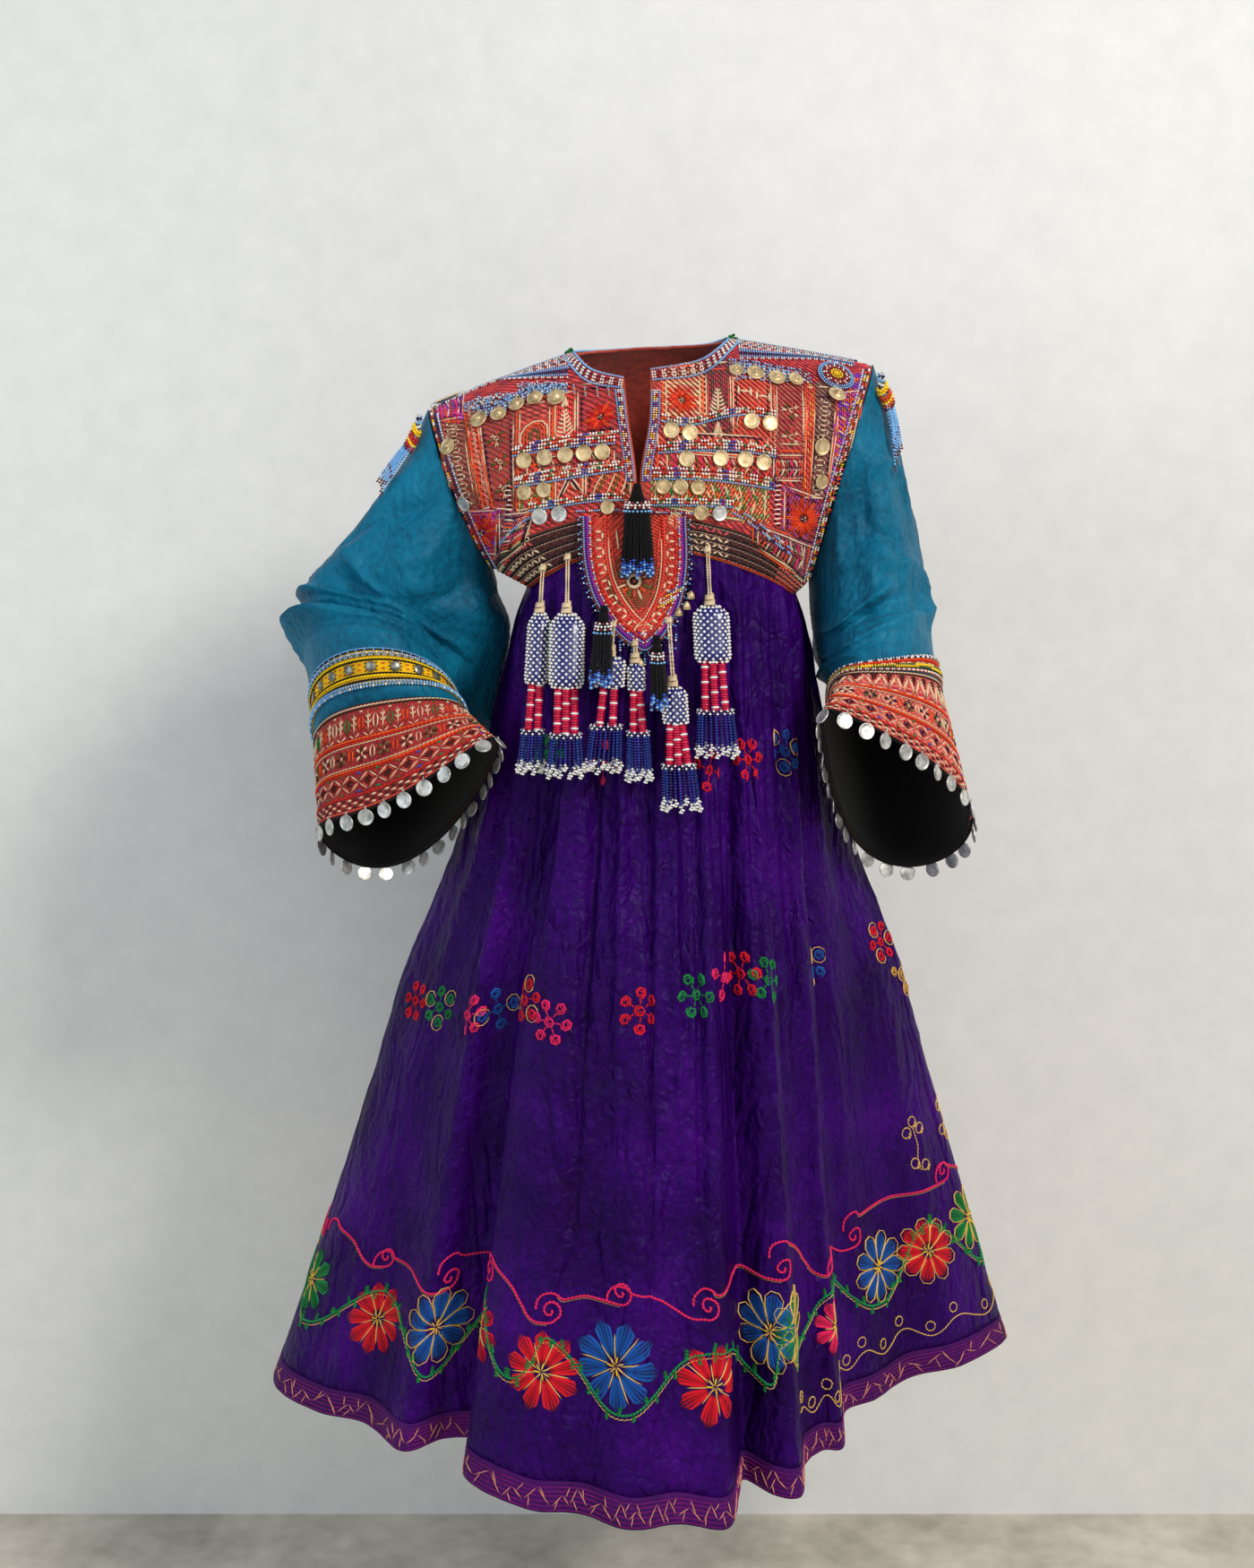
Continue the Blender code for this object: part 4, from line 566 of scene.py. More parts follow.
def torso_depth(x, z, back=False):
    """front * (1 - |x / half width| ^ 2.4) ^ (1 / 2.4) * quarter circle of the drop below the shoulder
    line."""
    centre, half_width, front, rear = (np.interp(z, TORSO[:, 0], TORSO[:, k]) for k in range(1, 5))
    across = np.clip(np.abs(x - centre) / half_width, 0.0, 1.0)
    side = (1.0 - across ** SQUARENESS) ** (1.0 / SQUARENESS)
    share = np.clip((crown(x) - z) / ROLL, 0.0, 1.0)
    return np.where(back, rear, front) * side * np.sqrt(1.0 - (1.0 - share) ** 2)


def on_torso(flat, back=False):
    """World points for an array whose last axis is x and height."""
    flat = np.asarray(flat, float)
    depth = torso_depth(flat[..., 0], flat[..., 1], back)
    return np.stack([flat[..., 0], depth if back else -depth, flat[..., 1]], axis=-1)


def yoke_place(x, z, lift=0.0, back=False):
    """Points raised by lift over the torso, with normals from a small step to the side and down."""
    flat = np.stack([np.asarray(x, float), np.asarray(z, float)], axis=-1)
    step = 0.0015
    here = on_torso(flat, back)
    normal = unit(np.cross(on_torso(flat + (step, 0), back) - on_torso(flat - (step, 0), back),
                           on_torso(flat + (0, step), back) - on_torso(flat - (0, step), back)))
    normal = np.where(normal[..., 1:2] * (1 if back else -1) < 0, -normal, normal)
    return here + normal * np.asarray(lift)[..., None], normal


def filled(points):
    """Points of x and height, with the shoulder line's height where a table leaves it out."""
    return [(x, float(crown(x)) if z is None else z) for x, z in points]


SLIT = {"left": [(-0.014, -0.028), (-0.009, -0.070), (-0.0022, -0.117), (-0.0006, -0.160)],
        "right": [(0.012, -0.020), (0.010, -0.070), (0.0022, -0.117), (0.0006, -0.160)]}
NECK = {"left": [(-0.014, -0.028), (-0.045, -0.021), (-0.063, None)],
        "right": [(0.012, -0.020), (0.060, -0.012), (0.090, None)],
        "back": [(-0.063, None), (-0.040, -0.006), (0.013, -0.003), (0.068, 0.000), (0.090, None)]}
SHOULDER_ENDS = {"left": (-0.063, -0.213), "right": (0.090, 0.238)}
ARMHOLE = {
    "left": [(-0.213, -0.065), (-0.200, -0.100), (-0.183, -0.146), (-0.163, -0.195), (-0.150, -0.224)],
    "right": [(0.238, -0.020), (0.219, -0.070), (0.196, -0.145), (0.184, -0.200), (0.176, -0.238)]}
YOKE_HEM = {"left": [(-0.0006, -0.160), (-0.060, -0.166), (-0.123, -0.190), (-0.150, -0.224)],
            "right": [(0.0006, -0.160), (0.060, -0.166), (0.123, -0.188), (0.176, -0.238)],
            "back": [(-0.150, -0.224), (-0.090, -0.218), (0.013, -0.218), (0.110, -0.222), (0.176, -0.238)]}
WAIST = {"front": [(-0.113, -0.243), (-0.090, -0.222), (-0.050, -0.202), (0.006, -0.192), (0.070, -0.202),
                   (0.130, -0.226), (0.163, -0.250)],
         "back": [(-0.113, -0.243), (-0.060, -0.246), (0.025, -0.248), (0.110, -0.249), (0.163, -0.250)]}
MIDDLE = (0.012, 0.0, -0.14)     # a point inside the torso
SUNK = 0.0008                    # how far the cloth lies under the plane that the stitches are placed from


def patch(top, bottom, left, right):
    """A Coons patch: both pairs of edges mixed across, less the mix of the four corners."""
    u = np.linspace(0, 1, len(top))[None, :, None]
    v = np.linspace(0, 1, len(left))[:, None, None]
    corners = ((1 - u) * (1 - v) * top[0] + u * (1 - v) * top[-1]
               + (1 - u) * v * bottom[0] + u * v * bottom[-1])
    return (1 - v) * top[None] + v * bottom[None] + (1 - u) * left[:, None] + u * right[:, None] - corners


def eased_places(points, count, ease):
    """count points along a curve, at eased shares of its length."""
    fine = spline(points, np.linspace(0, 1, 400))
    travelled = lengths_of(fine)
    places = ease(np.linspace(0, 1, count)) * travelled[-1]
    return np.stack([np.interp(places, travelled, fine[:, k]) for k in range(2)], axis=1)


def close_at_start(shares):
    """Shares that lie closer together at the start of a curve."""
    return shares ** 1.6


def close_at_end(shares):
    """Shares that lie closer together at the end of a curve."""
    return np.sin(shares * np.pi / 2)


def close_at_both(shares):
    """Shares that lie closer together at both ends of a curve."""
    return 0.5 - 0.5 * np.cos(shares * np.pi)


def neck_and_shoulder(side, count):
    """Points along the neckline, with a corner, and on along the shoulder seam."""
    on_neck = round(count * 0.42)
    xs = np.linspace(*SHOULDER_ENDS[side], count - on_neck + 1)
    first = evenly(filled(NECK[side]), on_neck)
    return np.concatenate([first, np.stack([xs, crown(xs)], axis=1)[1:]])


def puckers(grid, amount):
    """Small uneven swells: sums of slow waves across x and height, which stand for the quilting of old
    stitches."""
    x, z = grid[..., 0], grid[..., 2]
    return amount * (np.sin(x * 310 + 2.0 * np.sin(z * 170)) * np.sin(z * 290 + 1.7 * np.sin(x * 140))
                     + 0.6 * np.sin(x * 120 - z * 90 + 1.0))


def yoke_panel(side, columns=56, rows=40):
    """One front of the yoke, or the back, as a grid on the torso with its puckers."""
    if side == "back":
        ends = columns // 3
        left = np.linspace(*SHOULDER_ENDS["left"], ends)[::-1]
        right = np.linspace(*SHOULDER_ENDS["right"], ends)
        middle = evenly(filled(NECK["back"]), columns - 2 * ends + 2)[1:-1]
        top = np.concatenate([np.stack([left, crown(left)], 1), middle, np.stack([right, crown(right)], 1)])
        bottom = eased_places(YOKE_HEM["back"], columns, close_at_both)
        edges = ARMHOLE["left"], ARMHOLE["right"]
    else:
        top = neck_and_shoulder(side, columns)
        bottom = eased_places(YOKE_HEM[side], columns, close_at_end)
        edges = SLIT[side], ARMHOLE[side]
    flat = patch(top, bottom, *(eased_places(edge, rows, close_at_start) for edge in edges))
    grid = on_torso(flat, side == "back")
    cloth = surface(grid, MIDDLE)
    return surface(grid + cloth["normals"] * (puckers(grid, 0.0004) - SUNK)[..., None], MIDDLE)


YOKE = {side: yoke_panel(side, 84 if side == "back" else 56) for side in ("left", "right", "back")}
for side, cloth in YOKE.items():
    node_name = "yoke_back" if side == "back" else "yoke_front_" + side
    cloth_piece("yoke_cloth_" + side, cloth, YOKE_GROUND, 0.0022, [node_name])

# %% [markdown]
# ## The midriff band
# A narrow band of dark cotton, chain stitched from end to end, joins the yoke to the skirt. It dips at the
# middle behind the bib and meets itself at the side seams.

# %% Midriff bands
def band_panel(face, columns=130, rows=14):
    """The band between the yoke's lower edge and the waist seam, straight down between the two curves."""
    if face == "front":
        left = eased_places(YOKE_HEM["left"], columns // 2, close_at_end)[::-1]
        right = eased_places(YOKE_HEM["right"], columns // 2, close_at_end)
        top = np.concatenate([left, right])
    else:
        top = eased_places(YOKE_HEM["back"], columns, close_at_both)
    share = (top[:, 0] - top[0, 0]) / (top[-1, 0] - top[0, 0])
    curve = evenly(WAIST[face], 200)
    x = curve[0, 0] + share * (curve[-1, 0] - curve[0, 0])
    bottom = np.stack([x, np.interp(x, curve[:, 0], curve[:, 1])], axis=1)
    down = np.linspace(0, 1, rows)[:, None, None]
    flat = top[None] * (1 - down) + bottom[None] * down
    grid = on_torso(flat, face == "back")
    grid[:, (0, -1), 1] = 0.0
    cloth = surface(grid, MIDDLE)
    return surface(grid - cloth["normals"] * SUNK, MIDDLE)


BAND = {face: band_panel(face) for face in ("front", "back")}
for face, cloth in BAND.items():
    cloth_piece("midriff_cloth_" + face, cloth, BAND_GROUND, 0.0020, ["midriff_band_" + face])

# %% [markdown]
# ## The skirt
# Several metres of cotton are gathered into a short waist seam. Close to the seam the cloth stands in sharp
# little gathers. Lower down they run together into fewer, larger folds, which swing out at the hem in
# flutes of uneven size. A cloth simulation would find its own folds, but not the ones in view, so the big
# folds come from a plan of the hem, and gathers and creases are added along their normals.

# %% Skirt folds
HEM_FOLDS = np.array([
    (-90, -0.408, -0.020, -1.146), (-79, -0.352, -0.088, -1.142), (-70, -0.292, -0.128, -1.134),
    (-61, -0.246, -0.196, -1.128), (-52, -0.205, -0.178, -1.124), (-45, -0.168, -0.186, -1.122),
    (-38, -0.176, -0.256, -1.122), (-28, -0.112, -0.312, -1.124), (-18, -0.058, -0.316, -1.127),
    (-8, -0.008, -0.340, -1.130), (4, 0.040, -0.328, -1.131), (14, 0.088, -0.334, -1.132),
    (21, 0.101, -0.282, -1.128), (27, 0.108, -0.254, -1.126), (33, 0.138, -0.282, -1.127),
    (39, 0.164, -0.284, -1.127), (46, 0.172, -0.226, -1.126), (52, 0.194, -0.196, -1.127),
    (58, 0.216, -0.188, -1.128), (64, 0.224, -0.116, -1.128), (71, 0.262, -0.086, -1.128),
    (78, 0.306, -0.038, -1.128), (85, 0.368, -0.012, -1.127), (93, 0.428, 0.058, -1.128),
    (102, 0.398, 0.116, -1.130), (112, 0.338, 0.136, -1.130), (122, 0.318, 0.204, -1.130),
    (134, 0.244, 0.196, -1.130), (146, 0.214, 0.264, -1.130), (158, 0.132, 0.236, -1.130),
    (170, 0.084, 0.298, -1.130), (182, 0.002, 0.262, -1.130), (194, -0.060, 0.308, -1.130),
    (206, -0.124, 0.240, -1.130), (218, -0.194, 0.266, -1.132), (230, -0.236, 0.196, -1.134),
    (242, -0.304, 0.202, -1.138), (252, -0.330, 0.124, -1.142), (262, -0.396, 0.074, -1.146)])
FLARE = np.array([(0.0, 0.0), (0.14, 0.10), (0.32, 0.27), (0.47, 0.47), (0.70, 0.69), (1.0, 1.0)])
GATHERS = 24
GATHER_RISE, PLEAT_RISE, CRUMPLE_RISE = 0.0046, 0.0026, 0.0011
CREASE_GAIN = 1.65       # how much deeper the long creases are than their table says
# Long creases. Columns: bearing at the top, bearing at the bottom, start, end (shares down), width in
# degrees, rise
CREASES = np.array([
    (-64, -66, 0.02, 0.62, 2.6, -0.0050), (-52, -55, 0.03, 0.50, 2.2, 0.0045),
    (-43, -41, 0.00, 0.72, 2.0, -0.0055), (-33, -35, 0.02, 0.46, 2.2, 0.0050),
    (-24, -22, 0.05, 0.80, 1.8, -0.0060), (-14, -12, 0.02, 0.58, 2.4, 0.0055),
    (-5, -3, 0.10, 0.86, 1.6, -0.0055), (3, 6, 0.08, 0.60, 2.0, 0.0050),
    (12, 9, 0.04, 0.82, 1.8, -0.0060), (19, 21, 0.02, 0.52, 2.2, 0.0050),
    (28, 25, 0.03, 0.66, 1.8, -0.0055), (36, 38, 0.02, 0.60, 2.0, 0.0055),
    (44, 43, 0.05, 0.70, 2.0, -0.0050), (55, 53, 0.02, 0.52, 2.4, 0.0050),
    (66, 67, 0.03, 0.66, 2.2, -0.0050), (100, 103, 0.02, 0.60, 2.6, 0.0055),
    (113, 111, 0.03, 0.72, 2.4, -0.0055), (127, 129, 0.02, 0.50, 2.2, 0.0050),
    (141, 138, 0.04, 0.78, 2.2, -0.0060), (156, 158, 0.02, 0.56, 2.4, 0.0055),
    (170, 173, 0.03, 0.82, 2.0, -0.0055), (184, 181, 0.02, 0.60, 2.2, 0.0050),
    (198, 200, 0.03, 0.74, 2.2, -0.0060), (213, 210, 0.02, 0.52, 2.4, 0.0055),
    (228, 230, 0.04, 0.70, 2.2, -0.0050), (243, 245, 0.02, 0.60, 2.4, 0.0050),
    (256, 254, 0.03, 0.66, 2.4, -0.0050)])


def waist_points(bearing):
    """The waist seam at bearings in degrees: x by the sine, height from the seam's curve, depth from the
    torso."""
    curve = {face: evenly(points, 200) for face, points in WAIST.items()}
    first, last = WAIST["front"][0][0], WAIST["front"][-1][0]
    x = (first + last) / 2 + (last - first) / 2 * np.sin(np.radians(bearing))
    front = np.cos(np.radians(bearing)) > 0
    z = np.where(front, *(np.interp(x, curve[face][:, 0], curve[face][:, 1]) for face in ("front", "back")))
    y = np.where(front, -1, 1) * torso_depth(x, z, ~front)
    return np.stack([x, np.where(np.abs(np.cos(np.radians(bearing))) < 1e-6, 0.0, y), z], axis=-1)


def hem_points(bearing):
    """A closed smooth curve through the plan of the hem."""
    shares = np.linspace(0, 1, 4001)[:-1]
    fine = spline(HEM_FOLDS[:, 1:], shares, closed=True)
    steps = np.append(HEM_FOLDS[:, 0], HEM_FOLDS[0, 0] + 360)
    degrees = np.interp(shares * len(HEM_FOLDS), np.arange(len(HEM_FOLDS) + 1), steps)
    wrapped = np.mod(bearing - HEM_FOLDS[0, 0], 360) + HEM_FOLDS[0, 0]
    return np.stack([np.interp(wrapped, degrees, fine[:, k], period=360) for k in range(3)], axis=-1)


def skirt_grid(bearings, shares):
    """Straight lines from waist to hem by the flare table, plus gathers, sharper pleats, creases and
    crumples."""
    top, bottom = waist_points(bearings)[None], hem_points(bearings)[None]
    share, bearing = shares[:, None], bearings[None]
    flare = np.interp(shares, FLARE[:, 0], FLARE[:, 1])[:, None, None]
    grid = top + (bottom - top) * flare
    grid[..., 2] = top[..., 2] + (bottom - top)[..., 2] * share
    angle = np.radians(bearing)
    fade = eased(share / 0.05) * (1.0 - eased((share - 0.12) / 0.55))
    low = 1.0 - eased((share - 0.35) / 0.4)
    rise = np.cos(angle * GATHERS) * GATHER_RISE * (0.25 + fade) * low
    sharp = np.abs(np.sin(angle * GATHERS * 1.5 + 1.3 * np.sin(angle * 5) + 2 * share)) ** 0.6
    rise += (sharp - 0.6) * PLEAT_RISE * eased(share / 0.02) * (1.0 - eased((share - 0.05) / 0.40))
    for start_at, end_at, first, last, width, height in CREASES:
        along = np.clip((share - first) / (last - first), 0.0, 1.0)
        gap = (bearing - (start_at + (end_at - start_at) * share) + 180) % 360 - 180
        across = np.exp(-(gap / (width * (0.85 - 0.35 * share))) ** 2)
        rise = rise + CREASE_GAIN * height * across * np.sin(along * np.pi) ** 0.7
    crumple = (np.sin(share * 61 + 3 * np.sin(angle * 9)) * np.sin(angle * 31 + 4 * np.sin(share * 13))
               + 0.7 * np.sin(share * 137 + 5 * np.sin(angle * 17 + share * 7)) * np.sin(angle * 57))
    rise = rise + CRUMPLE_RISE * crumple * eased(share / 0.1) * (1.0 - 0.4 * share)
    out = np.stack([np.sin(angle), -np.cos(angle), np.zeros_like(angle)], axis=-1)
    return grid + out * rise[..., None]


HEM_SHARE = 0.971        # where the hem band starts
HEM_LIFT = 0.0008        # the hem band's face over the skirt
SKIRT_MIDDLE = (0.01, 0.0, -0.6)
FIRST_BEARING, BEARING_STEP = -90.0, 0.9
bearings = FIRST_BEARING + np.arange(400) * BEARING_STEP
shares = np.concatenate([np.linspace(0, 0.12, 16)[:-1], np.linspace(0.12, HEM_SHARE, 52)])
whole = skirt_grid(bearings, shares)
SKIRT = surface(whole, SKIRT_MIDDLE, round_it=True)
half = len(bearings) // 2
for face, first in (("front", 0), ("back", half)):
    pick = (first + np.arange(half + 1)) % len(bearings)
    panel = surface(whole[:, pick], SKIRT_MIDDLE)
    cloth_piece("skirt_cloth_" + face, panel, VIOLET_COTTON, 0.0012, ["skirt_" + face])
hem_shares = np.linspace(HEM_SHARE - 0.004, 1.0, 9)
HEM = surface(skirt_grid(bearings, hem_shares), SKIRT_MIDDLE, round_it=True)
lifted = HEM["grid"] + HEM["normals"] * HEM_LIFT
cloth_piece("hem_cloth", surface(lifted, SKIRT_MIDDLE, True), HEM_COTTON, 0.0020,
            ["hem_band_front", "hem_band_back"])
print("hem", round(float(HEM["across"][-1, -1]), 2), "m round")

# %% [markdown]
# ## Sleeves and cuffs
# A sleeve is a wide tube that hangs from a straight armhole and turns forward at the elbow. Its rings each
# follow four points, outer, inner, front and back, and a curve joins ring to ring. Folds are ridges drawn
# on that tube: each has a place, a direction and a width, as cloth creases where an arm bends.

# %% Sleeve rings and creases
SLEEVE_RINGS = {
    "left": [
        ((-0.244, 0.000, -0.124), (-0.146, 0.000, -0.252), (-0.216, -0.076, -0.178),
         (-0.214, 0.078, -0.186)),
        ((-0.291, 0.000, -0.187), (-0.134, 0.002, -0.288), (-0.237, -0.088, -0.226),
         (-0.226, 0.088, -0.246)),
        ((-0.337, -0.002, -0.250), (-0.143, 0.008, -0.336), (-0.252, -0.080, -0.254),
         (-0.222, 0.092, -0.330)),
        ((-0.352, -0.020, -0.302), (-0.158, 0.016, -0.386), (-0.254, -0.098, -0.266),
         (-0.236, 0.084, -0.402)),
        ((-0.335, -0.060, -0.350), (-0.186, -0.026, -0.380), (-0.244, -0.140, -0.288),
         (-0.262, 0.040, -0.452)),
        ((-0.325, -0.100, -0.487), (-0.139, -0.150, -0.382), (-0.238, -0.170, -0.432),
         (-0.240, -0.030, -0.532))],
    "right": [
        ((0.262, 0.000, -0.085), (0.180, 0.000, -0.262), (0.219, -0.080, -0.176), (0.218, 0.082, -0.184)),
        ((0.281, 0.000, -0.150), (0.183, -0.004, -0.288), (0.225, -0.096, -0.222), (0.226, 0.082, -0.248)),
        ((0.297, -0.008, -0.235), (0.188, -0.024, -0.316), (0.230, -0.120, -0.262), (0.236, 0.066, -0.322)),
        ((0.305, -0.045, -0.322), (0.196, -0.074, -0.336), (0.236, -0.150, -0.298), (0.238, 0.034, -0.392)),
        ((0.344, -0.080, -0.475), (0.184, -0.136, -0.386), (0.222, -0.180, -0.357),
         (0.258, -0.020, -0.536))]}
SLEEVE_MIDDLE = {"left": (-0.23, 0.0, -0.27), "right": (0.23, -0.02, -0.25)}
# Where sleeve, trim and cuff start and end, in spans of the rings
CUFF_AT = {"left": (0.40, 0.02, 0.30, 0.404), "right": (0.20, 0.02, 0.19, 0.206)}
# Long soft swells. Columns: bearing on the ring, width (degrees), rise
SWELLS = {"left": [(262, 13, 0.007), (292, 15, -0.006), (318, 16, 0.008), (235, 12, -0.004),
                   (40, 18, 0.006), (90, 16, -0.005), (140, 18, 0.006)],
          "right": [(238, 15, 0.005), (268, 13, -0.004), (296, 16, 0.005), (330, 14, -0.004),
                    (40, 18, 0.006), (90, 16, -0.005), (140, 18, 0.006)]}
# Creases. Columns: span, bearing, turn of the crease (degrees), half length, width (both in spans), rise
SLEEVE_CREASES = {
    "left": [(3.3, 318, 20, 0.9, 0.16, 0.0065), (3.7, 305, 14, 0.9, 0.14, -0.0060),
             (4.05, 322, 24, 0.8, 0.13, 0.0060), (2.7, 280, -32, 0.9, 0.14, 0.0050),
             (3.1, 255, -24, 0.8, 0.13, -0.0050), (4.2, 286, 10, 0.7, 0.12, 0.0050),
             (1.6, 270, 76, 1.2, 0.13, 0.0045), (1.9, 240, 80, 1.2, 0.13, -0.0050),
             (1.3, 300, 70, 1.0, 0.12, -0.0045), (3.4, 350, 8, 0.8, 0.15, -0.0055),
             (3.9, 5, -6, 0.8, 0.14, 0.0055), (3.0, 40, 14, 0.9, 0.16, 0.0060),
             (3.5, 80, -10, 1.0, 0.16, -0.0060), (2.2, 110, 60, 1.1, 0.15, 0.0060),
             (3.9, 130, 18, 0.9, 0.15, 0.0055), (4.5, 262, 18, 0.6, 0.11, -0.0045),
             (4.4, 330, 12, 0.7, 0.12, -0.0045), (1.0, 200, 70, 0.9, 0.12, 0.0040)],
    "right": [(2.5, 250, 30, 0.9, 0.13, 0.0050), (2.9, 272, 24, 0.9, 0.12, -0.0050),
              (3.3, 244, 16, 0.8, 0.12, 0.0045), (1.5, 262, 78, 1.2, 0.12, 0.0045),
              (1.8, 292, 82, 1.3, 0.12, -0.0045), (1.2, 318, 74, 1.1, 0.12, 0.0040),
              (2.7, 315, 60, 1.0, 0.13, 0.0050), (3.2, 300, 40, 0.9, 0.12, -0.0045),
              (3.5, 330, 22, 0.7, 0.12, 0.0045), (2.4, 10, 68, 1.1, 0.14, -0.0050),
              (2.8, 50, 34, 0.9, 0.15, 0.0055), (3.2, 90, 12, 0.9, 0.15, -0.0055),
              (2.0, 120, 64, 1.1, 0.14, 0.0050), (3.4, 140, 20, 0.8, 0.14, 0.0050),
              (3.6, 214, 30, 0.6, 0.11, 0.0040)]}


SLEEVE_CREASE_GAIN, SLEEVE_CRUMPLE = 2.0, 0.0006
ARMHOLE_GAP = 0.0016             # how far the sleeve starts outside the yoke's edge


def turn_between(degrees, bearing):
    """The way from a bearing to others, in degrees from -180 to 180."""
    return (degrees - bearing + 180) % 360 - 180


def ring_points(outer, inner, front, back, angles):
    """centre + first * cos + second * sin + skew * cos of twice the angle: a ring through its four
    points."""
    outer, inner, front, back = (np.asarray(p, float) for p in (outer, inner, front, back))
    t = angles[:, None]
    skew = ((outer + inner) - (front + back)) / 4
    middle = (outer + inner + front + back) / 4
    return (middle + (outer - inner) / 2 * np.cos(t) + (back - front) / 2 * np.sin(t)
            + skew * np.cos(2 * t))


def armhole_ring(side, columns):
    """The armhole's edge as a ring: tip, back, underarm, front."""
    edge = evenly(ARMHOLE[side], columns // 2 + 1)
    ring = np.concatenate([on_torso(edge, back=True), on_torso(edge)[::-1][1:-1]])
    ring[:, 0] += -ARMHOLE_GAP if side == "left" else ARMHOLE_GAP
    return ring


def sleeve_grid(side, stations, columns, creased=True):
    """Rings joined by a spline, with swells and creases along the way out from each ring's middle."""
    stations = np.asarray(stations, float)
    angles = np.arange(columns) * 2 * np.pi / columns
    rings = np.stack([armhole_ring(side, columns)]
                     + [ring_points(*row, angles) for row in SLEEVE_RINGS[side]])
    spans = len(rings) - 1
    grid = spline(rings.reshape(spans + 1, -1), stations / spans).reshape(len(stations), columns, 3)
    out = unit(grid - grid.mean(axis=1, keepdims=True))
    degrees = np.degrees(angles)[None]
    station = stations[:, None]
    swell = np.sin(np.clip(station / (spans - 1), 0, 1) * np.pi) ** 0.8
    rise = np.zeros(grid.shape[:2])
    for bearing, width, height in SWELLS[side]:
        rise += height * np.exp(-(turn_between(degrees, bearing) / width) ** 2) * swell
    if creased:
        fade = eased(station / 0.5) * (1 - eased((station - (spans - 1.25)) / 0.35))
        for at, bearing, turn, half_length, width, height in SLEEVE_CREASES[side]:
            gap = turn_between(degrees, bearing) / 60.0
            run = station - at
            c, s = math.cos(math.radians(turn)), math.sin(math.radians(turn))
            along, aside = gap * c + run * s, -gap * s + run * c
            aside = aside + 0.12 * np.sin(along * 3.0)
            ridge = np.exp(-np.abs(aside / width * 1.25) ** 1.3 - (along / half_length) ** 4)
            rise += SLEEVE_CREASE_GAIN * height * ridge * fade
        angle = np.radians(degrees)
        crumple = np.sin(station * 19 + 3 * np.sin(angle * 5)) * np.sin(angle * 17 + station * 6)
        rise += SLEEVE_CRUMPLE * crumple * fade
    return grid + out * rise[..., None]


def sleeve_length(side, start, end, rows, columns):
    """The surface of one length of the sleeve, from span to span."""
    return surface(sleeve_grid(side, np.linspace(start, end, rows), columns), SLEEVE_MIDDLE[side], True)


LINING_DEPTH = 0.0026            # how far the velvet lies inside the cuff's face
SLEEVE, CUFF, TRIM = {}, {}, {}
for side in ("left", "right"):
    first = len(SLEEVE_RINGS[side]) - 1
    sleeve_end, trim_start, trim_end, cuff_start = CUFF_AT[side]
    SLEEVE[side] = sleeve_length(side, 0.0, first + sleeve_end, 74, 112)
    cloth_piece("sleeve_cloth_" + side, SLEEVE[side], TEAL_COTTON, 0.0012, ["sleeve_" + side])
    TRIM[side] = sleeve_length(side, first + trim_start, first + trim_end, 8, 160)
    CUFF[side] = sleeve_length(side, first + cuff_start, first + 1.0, 20, 144)
    ground, slot = (CUFF_RED, "red") if side == "left" else (CUFF_PINK, "pink")
    cloth_piece("cuff_cloth_" + side, CUFF[side], ground, 0.0016, ["cuff_" + side])
    lining = sleeve_length(side, first + cuff_start - 0.32, first + 1.0, 18, 120)
    inner = lining["grid"] - lining["normals"] * LINING_DEPTH
    cloth_piece("cuff_velvet_" + side, surface(inner, SLEEVE_MIDDLE[side], True), VELVET, 0.0012,
                ["cuff_lining_" + side])

# %% [markdown]
# ## Sewing on a surface
# A motif is drawn flat, in metres to the right and down, and a "place" function lays it on the cloth where
# it belongs. Satin stitches are spindles side by side, chain stitch is a row of short turned ones, and
# beads are threaded along a line. The same motif can then be sewn on the skirt, the yoke or a cuff.

# %% Strokes, chains and bead rows
STITCH_SHARE, SLANT = 0.62, 0.22         # half length and sideways turn of a chain stitch, in steps


def sewn(place, strokes, points=5, sides=3, lift=0.0002):
    """Spindles along (path, half width, height, colour), whose width follows (4 s (1 - s)) to the power
    0.35."""
    flat = np.stack([evenly(path, points, len(path) > 2) for path, _, _, _ in strokes])
    share = np.linspace(0, 1, points)
    swell = (4 * share * (1 - share)) ** 0.35
    wide, high = (np.array([stroke[k] for stroke in strokes])[:, None] * swell for k in (1, 2))
    where, normal = place(flat[..., 0], flat[..., 1], lift)
    return threads(where, normal, wide, high, np.array([stroke[3] for stroke in strokes]), sides)


def even_places(place, path, step, smoothly=True):
    """Flat points along a path at even steps of its true length on the surface, ends included."""
    fine = evenly(path, 500, smoothly)
    travelled = lengths_of(place(fine[:, 0], fine[:, 1], 0.0)[0])
    count = max(2, round(travelled[-1] / step) + 1)
    places = np.linspace(0.0, travelled[-1], count)
    return np.stack([np.interp(places, travelled, fine[:, k]) for k in range(2)], axis=1)


def chain(place, path, step, width, colour, lift=0.0003):
    """Short stitches end to end along a path, each turned a little from it, as stem and chain stitch
    lie."""
    flat = even_places(place, path, step)
    where, normal = place(flat[:, 0], flat[:, 1], np.full(len(flat), lift))
    normal = unit(normal[1:] + normal[:-1])
    stitch = (where[1:] - where[:-1]) * STITCH_SHARE
    stitch = stitch + np.cross(normal, stitch) * SLANT
    steps = np.array([-1.0, -0.5, 0.5, 1.0])[:, None]
    points = ((where[1:] + where[:-1]) / 2)[:, None] + stitch[:, None] * steps
    normals = np.broadcast_to(normal[:, None], points.shape)
    return threads(points, normals, width, width * 0.8, colour, 3)


